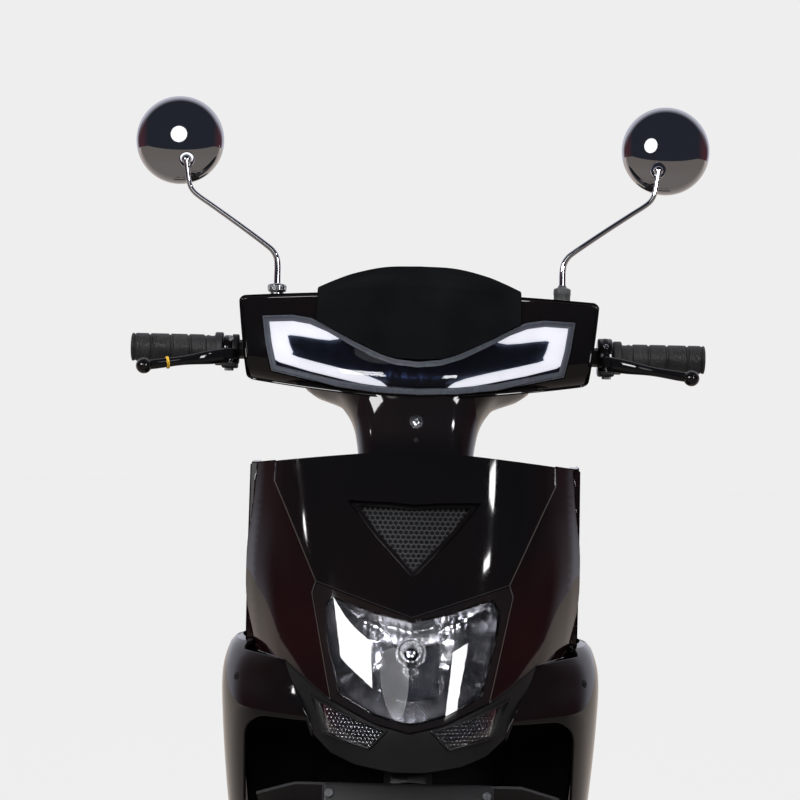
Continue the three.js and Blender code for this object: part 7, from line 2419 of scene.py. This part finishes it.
def leg_point(a, b):
    """The rider's side of the leg shield."""
    t = clamp(b / (LEG_TOP - LEG_FOOT), 0, 1)
    u = clamp(a / SHIELD_HALF, -1, 1)
    after = next(i for i, row in enumerate(LEG_ROWS) if row[0] >= t) if t > 0 else 0
    if after == 0:
        width = LEG_ROWS[0][1]
    else:
        low, high = LEG_ROWS[after - 1], LEG_ROWS[after]
        width = mix(low[1], high[1], (t - low[0]) / (high[0] - low[0]))
    drop = 18 * abs(u) ** 1.4 * (1 - t) ** 3
    bulge = 16 * (1 - abs(u) ** 6)
    return Vector((u * SHIELD_HALF * width, SHIELD_BACK + bulge + 3, LEG_TOP - b - drop))


def inner_shield():
    corner = 1.6
    outer = rounded_box(SHIELD_HALF - corner - 0.5, 2.2, LEG_TOP - LEG_FOOT - 2.2, 5)

    def rise(z):
        return mix(LEG_FOOT, LEG_TOP, z)

    pocket = [(-0.8 * SHIELD_HALF, rise(0.62)), (-0.8 * SHIELD_HALF, rise(0.9)),
              (-0.16 * SHIELD_HALF, rise(0.9)),
              (-0.16 * SHIELD_HALF, rise(0.62))]
    low_x, high_x = pocket[0][0] + 2, pocket[2][0] - 2
    low_z, high_z = pocket[0][1] + 2, pocket[1][1] - 2
    mouth = [(x + (low_x + high_x) / 2, LEG_TOP - z) for x, z in rounded_box(
        (high_x - low_x) / 2, low_z, high_z, 9)]
    width_share = 0.975
    mouth = [(x / width_share, b) for x, b in mouth]
    key_hole = circle(9.9, 28, (72 / width_share, LEG_TOP - 760 - 1.4))
    # a shallow notch at the top clears the neck as it turns
    outer = [(x, b + NECK_NOTCH_DEPTH * smooth_step(1.6 - 1.6 * abs(x) / NECK_NOTCH_HALF) if b < 6 else b)
             for x, b in resampled(outer, 3)]

    def neck_back(x):
        return NECK_Y + NECK_NOTCH_REACH * math.sqrt(max(0.0, 1 - (x / NECK_HALF_X) ** 2))

    def wall(a, b, loop, edge):
        if loop == 1:
            return Vector((edge.x, SHIELD_BACK - 58, edge.z))
        if loop == 0:
            front = SHIELD_BACK + 0.4
            if b < 60 and abs(edge.x) < NECK_HALF_X:
                front = min(max(front, neck_back(edge.x)), edge.y - 1.2)
            return Vector((edge.x, front, edge.z))
        return None

    face = trimmed("leg_face", leg_point, outer, SATIN, [mouth, key_hole], step=9, edge_step=4,
                   rim=corner, out=-1,
                   thickness=2.6, wall=wall)
    back_wall = block("pocket_back", (low_x - 1, SHIELD_BACK - 61, low_z - 2),
                      (high_x + 1, SHIELD_BACK - 57.6, high_z + 1),
                      SATIN, 1.0, 2)
    ring_outer = grown(mouth, 6.0)
    frame = trimmed("pocket_frame", lambda a, b: leg_point(a, b) + Vector((0, 0.9, 0)), ring_outer, GLOSS,
                    [grown(mouth, 0.4)], step=5, edge_step=3, rim=0.8, out=-1, thickness=1.6)
    key_ring = lathe("key_ring",
                     [(9.6, -2), (9.6, 1.2), (10.4, 2.0), (12.6, 2.0), (13.6, 1.2), (13.8, -1)], STEEL, 48,
                     Matrix.Translation((72, SHIELD_BACK + 18.8, 760)) @ turned(-90, "X"))
    hook = tube("bag_hook", [(0, -233, 722), (0, -226, 724), (0, -214, 721), (0, -209, 712), (0, -210, 703),
                             (0, -216, 700), (0, -220, 704)], 3.2, GLOSS, sides=14)
    hook_plate = block("hook_plate", (-11, -233.4, 708), (11, -229.6, 738), GLOSS, 1.6, 3)
    lines = []
    for x in (-1, 1):
        path = [(x * (120 - 0.10 * k), -230.4 - 0.0006 * (120 - 0.1 * k) ** 2 * 0.1, 600 - 2.0 * k)
                for k in range(0, 110, 6)]
        lines.append(tube("leg_bead", path, 1.6, SATIN, sides=10))
    screws = []
    for x in (-150, 150):
        for z in (430, 560):
            u = x / SHIELD_HALF
            y = SHIELD_BACK + 16 * (1 - abs(u) ** 6) + 3
            screws.append(lathe("leg_screw",
                                [(0, -1), (5.2, -1), (5.2, 0.4), (4.2, 1.0), (1.6, 1.0), (1.5, 0), (0, 0)],
                                STEEL, 24, Matrix.Translation((x, y, z)) @ turned(-90, "X")))
    piece = joined("leg_shield", [face, back_wall, frame, key_ring, hook, hook_plate, *lines, *screws])
    finish_piece(piece, "chassis", "satin", "inner_shield")


# ---------------------------------------------------------------- tail, rail, stands and running gear

def tail_light():
    half = catmull([(0, 845, 0), (28, 842.5, 0), (46.2, 836.2, 0), (58, 824, 0), (63.4, 813.5, 0),
                    (65.6, 798, 0),
                    (66, 783, 0)], 6)
    line = [(-p[0], p[1]) for p in reversed(half)] + [(p[0], p[1]) for p in half[1:]]
    rows = 46
    points, faces = [], []
    for j in range(rows + 1):
        t = j / rows
        z = mix(602, 660, t)
        edge = 1 - (1 - min(1, 8 * t)) ** 2 * 0.035 - (1 - min(1, 8 * (1 - t))) ** 2 * 0.035
        rib = 0.45 * abs(math.sin(math.pi * t * 11)) if 0.1 < t < 0.9 else 0.45
        for x, y in line:
            points.append(Vector((x * edge, 783 + (y - 783) * edge - rib * ((y - 783) / 62), z)))
    n = len(line)
    for j in range(rows):
        for k in range(n - 1):
            faces.append((j * n + k, j * n + k + 1, (j + 1) * n + k + 1, (j + 1) * n + k))
    faces.append(tuple(range(n)))
    faces.append(tuple(rows * n + k for k in range(n)))
    for j in range(rows):
        faces.append((j * n, (j + 1) * n, (j + 1) * n + n - 1, j * n + n - 1))
    lens = new_object("tail_lens", points, faces, RED)
    fix_normals(lens)
    smooth_by_angle(lens, 32)
    band = tube("tail_band", [(x, y - 1.3, 631) for x, y in line[4:-4]], 1.1, CHROME, sides=10)
    piece = joined("tail_lamp", [lens, band])
    finish_piece(piece, "chassis", "red", "tail_light")


def grab_rail():
    path = [(51, 753, 694), (51, 753, 716), (50.6, 757, 733), (49, 772, 741.6), (45, 792, 741.4),
            (36, 812, 741.2),
            (20, 820.4, 741), (0, 821, 741)]
    full = path + [(-x, y, z) for x, y, z in reversed(path[:-1])]
    loop = tube("rail_loop", catmull(full, 6), 10.6, SATIN, sides=28)
    outline = rounded_box(62, 742, 834, 14)
    slots = []
    for k in range(3):
        slots.append(rounded_box(30, 764 + 20 * k, 772 + 20 * k, 3.8, 4))
    plate = trimmed("rail_plate", lambda a, b: Vector((a, b, 700)), outline, SATIN,
                    slots, step=9, edge_step=4, rim=1.6, thickness=7.8, out=1)
    legs = []
    end = bpy.data.objects["grab_rail"].data
    low_z = min(v.co.z for v in end.vertices) * 1000
    lowest = [v.co for v in end.vertices if v.co.z * 1000 < low_z + 3]
    centre_y = sum(p.y for p in lowest) / len(lowest) * 1000
    for x in (-51, 51):
        legs.append(rod("rail_leg", (x, centre_y, low_z), (x, centre_y, 694), 8, FRAME, 24, 0.8))
    piece = joined("passenger_rail", [loop, plate, *legs])
    finish_piece(piece, "chassis", "satin", "grab_rail")


def stands():
    parts = [rod("stand_shaft", (-97, 342, 204), (97, 342, 204), 8, STEEL, 28, 0.8)]
    top, foot = Vector((97, 342, 204)), Vector((118, 322, 3))
    for side in (-1, 1):
        leg = [Vector((97, 342, 204)), Vector((99, 341, 196)), Vector((108, 331, 96)),
               Vector((117, 322.6, 12)),
               Vector((118, 322, 4))]
        parts.append(tube("stand_leg", [(p.x * side, p.y, p.z) for p in leg], 9, FRAME, sides=24))
        low_x, high_x = sorted(((118 - 17) * side, (118 + 17) * side))
        parts.append(block("stand_foot", (low_x, 299, 0), (high_x, 345, 6), FRAME, 1.4, 3))
        parts.append(lathe("stand_boss", [(8, -7), (14, -7), (15, -6), (15, 6), (14, 7), (8, 7)], FRAME, 36,
                           Matrix.Translation((96 * side, 342, 204)) @ turned(90, "Y")))
    cross = top.lerp(foot, 0.27)
    parts.append(rod("stand_cross", (-cross.x, cross.y, cross.z), (cross.x, cross.y, cross.z), 9, FRAME,
                     28, 0.8))
    piece = joined("centre_stand_frame", parts)
    finish_piece(piece, "main_stand", "frame", "center_stand")
    hub = Vector((129, 110, 262))
    end = Vector((137, 342, 247))
    blade = tube("prop_blade",
                 catmull([hub + Vector((0, 6, 0)), hub + Vector((1, 40, -2)), hub.lerp(end, 0.5), end], 6), 8,
                 FRAME, sides=24)
    boss = lathe("prop_boss", [(8.6, -5), (14, -5), (15, -4), (15, 4), (14, 5), (8.6, 5)], FRAME, 40,
                 Matrix.Translation(hub) @ turned(90, "Y"))
    pad = block("prop_pad", (127, 327, 242), (147, 357, 252), FRAME, 2, 3)
    bolt = lathe("prop_bolt", [(0, -6), (7.6, -6), (7.6, 4.8), (0, 5.0)], STEEL, 24,
                 Matrix.Translation(hub) @ turned(90, "Y"))
    piece = joined("side_stand_arm", [blade, boss, pad])
    finish_piece(piece, "prop_stand", "frame", "side_stand")
    finish_piece(bolt, "chassis", "steel")


def swingarm():
    parts = []
    pivot, axle = Vector((0, 330, 250)), REAR_AXLE.copy()
    run = axle - pivot
    angle = math.atan2(run.z, run.y)
    for side in (-1, 1):
        place = Matrix.Translation((68 * side, 330, 250)) @ Matrix.Rotation(angle, 4, "X")
        parts.append(block("arm_beam", (-7, 6, -16.6), (7, run.length + 4, 16.6), FRAME, 3.2, 3, place))
        parts.append(block("arm_end", (-6, run.length - 4, -15), (6, run.length + 13, 15), FRAME, 3.2, 3,
                           place))
        parts.append(lathe("arm_nut",
                           [(0, 0), (12.6, 0), (13.8, 1), (13.8, 8), (12.8, 9.6), (8.6, 10), (0, 10)],
                           STEEL, 6,
                           Matrix.Translation((75 * side, axle.y, axle.z)) @ turned(90 * side, "Y"),
                           20))
        parts.append(rod("damper_stud", (64 * side, 585, 240), (107 * side, 585, 240), 6, STEEL, 28, 0.6))
        parts.append(rod("damper_plate", (61.5 * side, 585, 234.5), (74.5 * side, 585, 234.5), 21, FRAME,
                         44, 1.2))
        parts.append(lathe("arm_sleeve_end",
                           [(10.8, 0), (19, 0), (20, 1), (20, 13), (19, 14), (10.8, 14)], FRAME, 44,
                           Matrix.Translation((61 if side > 0 else -75, 330, 250)) @ turned(90, "Y")))
    parts.append(lathe("arm_sleeve", [(10.8, -62), (18.6, -62), (18.6, 62), (10.8, 62)], FRAME, 44,
                       Matrix.Translation((0, 330, 250)) @ turned(90, "Y")))
    parts.append(rod("rear_axle_bar", (-68, axle.y, axle.z), (68, axle.y, axle.z), 8, STEEL, 28, 0.6))
    piece = joined("rear_arm_frame", parts)
    finish_piece(piece, "rear_arm", "frame", "swingarm")


DAMPER_FOOT, DAMPER_TOP = Vector((0, 585, 240)), Vector((0, 500, 520))
DAMPER_LENGTH = (DAMPER_TOP - DAMPER_FOOT).length
DAMPER_LEAN = math.atan2(DAMPER_FOOT.y - DAMPER_TOP.y, DAMPER_TOP.z - DAMPER_FOOT.z)


def dampers():
    length = DAMPER_LENGTH
    for side in (-1, 1):
        name = side_name(side)
        place = Matrix.Translation((100 * side, DAMPER_FOOT.y,
                                    DAMPER_FOOT.z)) @ Matrix.Rotation(DAMPER_LEAN, 4, "X")
        eye_turn = turned(90, "Y")
        body = lathe("damper_tube", [
            (6.6, 10), (12, 10), (13.4, 12), (14, 16), (14, 38), (24, 39.4), (25, 40.4), (25, 43),
            (24, 44), (14.2, 44.4),
            (13.2, 48), (13.2, 146), (12.4, 149.4), (6.6, 150),
        ], SATIN, 48, place, 28)
        eye = ring_lathe("damper_eye", [(6.7, -7), (10, -7), (11, -6), (11, 6), (10, 7), (6.7, 7)], ALLOY, 40,
                         place @ eye_turn)
        piece = joined(f"damper_lower_{name}", [body, eye])
        finish_piece(piece, f"damper_body_{name}", "satin", f"shock_body_{name}")
        rod_piece = lathe("damper_shaft", [
            (0, length - 172), (5.6, length - 172), (6, length - 171), (6, length - 34.4),
            (24, length - 34), (25, length - 33),
            (25, length - 31), (24, length - 30), (12, length - 29.4), (12, length - 13), (0, length - 12),
        ], CHROME, 44, place, 28)
        top_eye = ring_lathe("damper_top_eye",
                             [(9.2, -7), (13, -7), (14, -6), (14, 6), (13, 7), (9.2, 7)], ALLOY, 44,
                             place @ Matrix.Translation((0, 0, DAMPER_LENGTH)) @ eye_turn)
        bush = ring_lathe("damper_bush", [(7.4, -6.4), (9.1, -6.4), (9.1, 6.4), (7.4, 6.4)], GRIP, 36,
                          place @ Matrix.Translation((0, 0, DAMPER_LENGTH)) @ eye_turn)
        piece = joined(f"damper_upper_{name}", [rod_piece, top_eye, bush])
        finish_piece(piece, f"damper_rod_{name}", "steel", f"shock_rod_{name}")
        low, high = 40 + 4 + 0.3 + 3.6, length - 30 - 4 - 0.3 - 3.6
        turns, count = 5, 180
        path = []
        for k in range(count + 1):
            t = k / count
            rise = smooth_step(t) * 0.25 + t * 0.75
            turn = 2 * math.pi * turns * t
            path.append(place @ Vector((20.5 * math.cos(turn), 20.5 * math.sin(turn), mix(low, high, rise))))
        spring = tube(f"damper_coil_{name}", path, 3.6, CHROME, sides=14)
        finish_piece(spring, f"damper_body_{name}", "chrome", f"shock_spring_{name}")
        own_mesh(spring)


def battery():
    case = block("battery_case", (-84, -236, 232), (84, 236, 312), SATIN, 5, 4)
    lid = block("battery_lid", (-84, -236, 313), (84, 236, 318), GREY, 2, 3)
    parts = [case, lid]
    for k in range(9):
        y = -196 + 48 * k
        for side in (-1, 1):
            low_x, high_x = sorted((82.6 * side, 84 * side))
            parts.append(block("battery_rib", (low_x, y, 242), (high_x, y + 6, 304), SATIN, 0.6, 2))
    piece = joined("battery_case_set", parts)
    finish_piece(piece, "chassis", "satin", "battery_box")


def red_lens(name="tail_red"):
    mat, tree, bsdf = shader(name, (0.28, 0.004, 0.006), 0.08, coat=0.6)
    vector = object_space(tree)
    cells = tree.nodes.new("ShaderNodeTexVoronoi")
    cells.inputs["Scale"].default_value = 210
    tree.links.new(vector, cells.inputs["Vector"])
    tree.links.new(ramp(tree, cells.outputs["Distance"], (0.42, 0.008, 0.010), (0.16, 0.002, 0.004)),
                   bsdf.inputs["Base Color"])
    bump(tree, bsdf, cells.outputs["Distance"], 0.25, 0.0004)
    return mat


RED = red_lens()
for hand in (-1, 1):
    side_cover(hand)
body_front()
floorboard()
inner_shield()
tail_light()
grab_rail()
stands()
swingarm()
dampers()
battery()


# ---------------------------------------------------------------- seat

SEAT_FOOT, SEAT_CROWN, SEAT_FRONT, SEAT_BACK, SEAT_HALF = 690, 800, 150, 712, 134
SEAT_ROWS = [
    (0, 0.3, 0.16, 0.3), (0.025, 0.52, 0.05, 0.5), (0.09, 0.72, 0, 0.62), (0.22, 0.9, 0, 0.66),
    (0.4, 1, 0, 0.67),
    (0.52, 1, 0, 0.7), (0.6, 0.98, 0, 0.9), (0.7, 0.95, 0, 0.99), (0.85, 0.86, 0, 1), (0.96, 0.7, 0, 0.9),
    (1, 0.5, 0.12, 0.66),
]
SEAT_SECTION = [(0, 0), (0.84, 0), (0.9, 0.12), (0.97, 0.35), (1, 0.6), (0.93, 0.82), (0.76, 0.94),
                (0.4, 0.995), (0, 1)]
SEAM_AT = (0.16, 0.29, 0.42)
REAR_SEAM_AT = (0.75, 0.87)
SIDE_SEAM_SHARE = 0.80
PUFF_PRESSURE, PUFF_FRAMES, PUFF_LIMIT = 4, 20, 7


def seat_ring(s, count=64, slim=0.0):
    """A closed ring round the seat at one place along it, from the middle of the foot round both sides."""
    row = table(SEAT_ROWS, s)
    half, low, high = row[1] * SEAT_HALF - slim, row[2], row[3]
    rise = SEAT_CROWN - SEAT_FOOT
    section = catmull([Vector((a, b, 0)) for a, b in SEAT_SECTION], 6)
    side = [(p.x * half, SEAT_FOOT + mix(low, high, clamp(p.y, 0, 1)) * rise) for p in section]
    lengths = [0.0]
    for (x0, z0), (x1, z1) in zip(side, side[1:]):
        lengths.append(lengths[-1] + math.hypot(x1 - x0, z1 - z0))
    ring = []
    steps_half = count // 2
    for k in range(steps_half + 1):
        want = lengths[-1] * k / steps_half
        j = max(i for i in range(len(lengths)) if lengths[i] <= want + 1e-6)
        j = min(j, len(side) - 2)
        t = (want - lengths[j]) / max(lengths[j + 1] - lengths[j], 1e-6)
        ring.append((mix(side[j][0], side[j + 1][0], t), mix(side[j][1], side[j + 1][1], t)))
    y = mix(SEAT_FRONT, SEAT_BACK, s)
    left = [Vector((x, y, z)) for x, z in ring]
    right = [Vector((-x, y, z)) for x, z in reversed(ring[1:-1])]
    return left + right


def seat_block():
    count, rows, slim = 96, 110, 3.0
    stops = [0.012 + 0.976 * k / rows for k in range(rows + 1)]
    points, faces = [], []
    for s in stops:
        points += seat_ring(s, count, slim)
    faces += ring_faces(rows, count)
    faces.append(tuple(range(count)))
    faces.append(tuple(rows * count + k for k in range(count)))
    obj = new_object("seat_cushion", points, faces, VINYL)
    fix_normals(obj)
    return obj


def inflate(obj):
    """Puffs the cushion with a short cloth simulation; its movement is held to a few millimetres."""
    mesh = obj.data
    before = np.empty(len(mesh.vertices) * 3)
    mesh.vertices.foreach_get("co", before)
    before = before.reshape(-1, 3)
    held = obj.vertex_groups.new(name="held")
    base_z = (SEAT_FOOT + 9) * MM
    for k, p in enumerate(before):
        weight = 1.0 if p[2] < base_z else clamp(1 - (p[2] - base_z) / (26 * MM), 0, 1)
        if weight > 0:
            held.add([k], weight, "REPLACE")
    cloth = obj.modifiers.new("cloth", "CLOTH")
    cloth.settings.quality = 5
    cloth.settings.mass = 0.3
    cloth.settings.tension_stiffness = 22
    cloth.settings.compression_stiffness = 22
    cloth.settings.shear_stiffness = 12
    cloth.settings.bending_stiffness = 4
    cloth.settings.use_pressure = True
    cloth.settings.uniform_pressure_force = PUFF_PRESSURE
    cloth.settings.vertex_group_mass = "held"
    cloth.settings.effector_weights.gravity = 0
    cloth.collision_settings.use_collision = False
    cloth.point_cache.frame_start = 1
    cloth.point_cache.frame_end = PUFF_FRAMES
    scene = bpy.context.scene
    for frame_number in range(1, PUFF_FRAMES + 1):
        scene.frame_set(frame_number)
    graph = bpy.context.evaluated_depsgraph_get()
    puffed = obj.evaluated_get(graph)
    after = np.empty(len(mesh.vertices) * 3)
    puffed.data.vertices.foreach_get("co", after)
    after = after.reshape(-1, 3)
    move = after - before
    size = np.linalg.norm(move, axis=1)
    limit = PUFF_LIMIT * MM
    share = np.where(size > limit, limit / np.maximum(size, 1e-9), 1.0)
    obj.modifiers.remove(cloth)
    mesh.vertices.foreach_set("co", (before + move * share[:, None]).reshape(-1))
    mesh.update()
    scene.frame_set(1)


def seam_place(at, x):
    """How far back a cross seam runs at x; it bows backwards in the middle."""
    return SEAT_FRONT + at * (SEAT_BACK - SEAT_FRONT) + 26 * (1 - (x / 110) ** 2) * 0.55


def groove(obj):
    """Cross seams and the welt lines pressed into the puffed cushion."""
    mesh = obj.data
    count = len(mesh.vertices)
    co = np.empty(count * 3)
    normal = np.empty(count * 3)
    mesh.vertices.foreach_get("co", co)
    mesh.vertices.foreach_get("normal", normal)
    co, normal = co.reshape(-1, 3), normal.reshape(-1, 3)
    y = co[:, 1] / MM
    x = co[:, 0] / MM
    up = np.clip(normal[:, 2], 0, 1)
    depth = np.zeros(count)
    run = SEAT_BACK - SEAT_FRONT

    def pressed(deep, offset, width, low=0.35, span=0.4):
        return deep * np.exp(-(offset / width) ** 2) * np.clip((up - low) / span, 0, 1)

    for at in SEAM_AT:
        offset = y - seam_place(at, x)
        depth += pressed(3.4, offset, 2.1)
        depth += pressed(1.4, offset, 9.0)
    for at in REAR_SEAM_AT:
        depth += pressed(3.0, y - (SEAT_FRONT + at * run), 2.1)
    half = np.array([table(SEAT_ROWS, clamp((v - SEAT_FRONT) / run, 0, 1))[1] * SEAT_HALF for v in y])
    depth += pressed(2.6, np.abs(x) - half * SIDE_SEAM_SHARE, 1.8, 0.2, 0.3)
    co -= normal * (depth * MM)[:, None]
    mesh.vertices.foreach_set("co", co.reshape(-1))
    mesh.update()


def seat_piping():
    """A welt that runs round the seat at its widest line."""
    path = []
    stops = [0.03 + 0.94 * k / 40 for k in range(41)]
    rise = SEAT_CROWN - SEAT_FOOT
    for s in stops:
        row = table(SEAT_ROWS, s)
        z = SEAT_FOOT + mix(row[2], row[3], 0.30) * rise
        path.append(Vector((row[1] * SEAT_HALF * 0.955 - 1.5, mix(SEAT_FRONT, SEAT_BACK, s), z)))
    end = [Vector((-p.x, p.y, p.z)) for p in reversed(path)]
    front_y, back_y = SEAT_FRONT + 10, SEAT_BACK - 9
    loop = path + [Vector((36, back_y + 1, path[-1].z)), Vector((-36, back_y + 1, path[-1].z))] + end
    loop += [Vector((-24, front_y - 2, path[0].z)), Vector((24, front_y - 2, path[0].z))]
    return tube("seat_piping", catmull(loop, 3, True), 2.2, PIPING, sides=10, cap=False)


def seat_base():
    """The moulded base under the cushion: a ring wall that closes the gap above the side covers."""
    def side_at(y):
        s = clamp((y - SEAT_FRONT) / (SEAT_BACK - SEAT_FRONT), 0, 1)
        return table(SEAT_ROWS, s)[1] * SEAT_HALF * 0.84 - 7

    ys = np.linspace(186, 700, 40)
    loop = [(side_at(y), y) for y in ys] + [(-side_at(y), y) for y in ys[::-1]]
    inner = grown(loop, -3.2)
    rings = [(loop, 692), (loop, 675.4), (grown(loop, -0.8), 674.6), (grown(inner, 0.8), 674.6),
             (inner, 675.4),
             (inner, 692)]
    points = [Vector((x, y, z)) for ring, z in rings for x, y in ring]
    faces = ring_faces(len(rings), len(loop), closed=True)
    wall = new_object("seat_base", points, faces, SATIN)
    fix_normals(wall)
    return smooth_by_angle(wall, 40)


def vinyl(name="seat_vinyl"):
    mat, tree, bsdf = shader(name, (0.010, 0.010, 0.0105), 0.38, specular=0.45)
    vector = object_space(tree)
    cells = tree.nodes.new("ShaderNodeTexVoronoi")
    cells.inputs["Scale"].default_value = 620
    tree.links.new(vector, cells.inputs["Vector"])
    tree.links.new(spread(tree, noise(tree, vector, 30, 3), 0.32, 0.5), bsdf.inputs["Roughness"])
    tree.links.new(ramp(tree, noise(tree, vector, 9, 3), (0.008, 0.008, 0.0085), (0.017, 0.0165, 0.017)),
                   bsdf.inputs["Base Color"])
    bump(tree, bsdf, cells.outputs["Distance"], 0.55, 0.00018)
    return mat


VINYL = vinyl()
PIPING = satin_plastic("seat_welt", (0.03, 0.03, 0.032), 0.45)


def stitches(obj):
    """A row of thread along each cross seam."""
    graph = bpy.context.evaluated_depsgraph_get()
    graph.update()
    tree = bvhtree.BVHTree.FromObject(obj, graph)
    threads = []
    for at in SEAM_AT:
        for offset in (-5.0, 5.0):
            for k in range(-15, 16):
                x = 5.6 * k
                y = seam_place(at, x) + offset
                ends = []
                for dx in (-1.9, 1.9):
                    hit = tree.ray_cast(Vector(((x + dx) * MM, y * MM, 0.9)), Vector((0, 0, -1)))
                    if hit[0] is not None:
                        ends.append(hit[0] / MM + hit[1] * 0.1)
                if len(ends) == 2:
                    threads.append(tube("stitch", ends, 0.45, PIPING, sides=6))
    return joined("seat_stitches", threads)


def seat():
    body = seat_block()
    remesh = body.modifiers.new("even", "REMESH")
    remesh.mode = "VOXEL"
    remesh.voxel_size = 5 * MM
    settled(body)
    inflate(body)
    fine = body.modifiers.new("fine", "SUBSURF")
    fine.levels = 1
    fine.render_levels = 1
    settled(body)
    groove(body)
    for face in body.data.polygons:
        face.use_smooth = True
    trimmings = [seat_piping(), stitches(body)]
    knuckle = lathe("seat_hinge_knuckle",
                    [(4.3, -13.6), (7.4, -13.6), (8.0, -13), (8.0, 13), (7.4, 13.6), (4.3, 13.6)],
                    STEEL, 36, Matrix.Translation((0, 158, 676)) @ turned(90, "Y"))
    tongue = block("seat_hinge_leaf", (-13, 154, 680), (13, 176, 694), STEEL, 1.2, 2)
    pan = block("seat_pan", (-70, 200, 691.5), (70, 690, 696), DEEP, 2, 3)
    finish_piece(body, "saddle", "vinyl", "seat")
    fittings = joined("seat_welt_and_hinge", [*trimmings, knuckle, tongue, pan, seat_base()])
    finish_piece(fittings, "saddle", "vinyl")


seat()


# ---------------------------------------------------------------- what the small lights reach

def receivers(group, pieces, state, *lights):
    """Makes the lights reach only the pieces (INCLUDE), or all but the pieces (EXCLUDE)."""
    collection = bpy.data.collections.new(group)
    for name in pieces:
        collection.objects.link(bpy.data.objects[name])
    for entry in collection.collection_objects:
        entry.light_linking.link_state = state
    for name in lights:
        bpy.data.objects[name].light_linking.receiver_collection = collection


receivers("not_mirrors", ("mirror_right_head", "mirror_left_head", "daylight_lens"), "EXCLUDE",
          "lamp_blob", "lamp_strip", "spark_right", "spark_left")
receivers("lens_and_neck", ("daylight_lens", "neck_shroud", "headlight_unit"), "INCLUDE", "low_block",
          "low_strip")
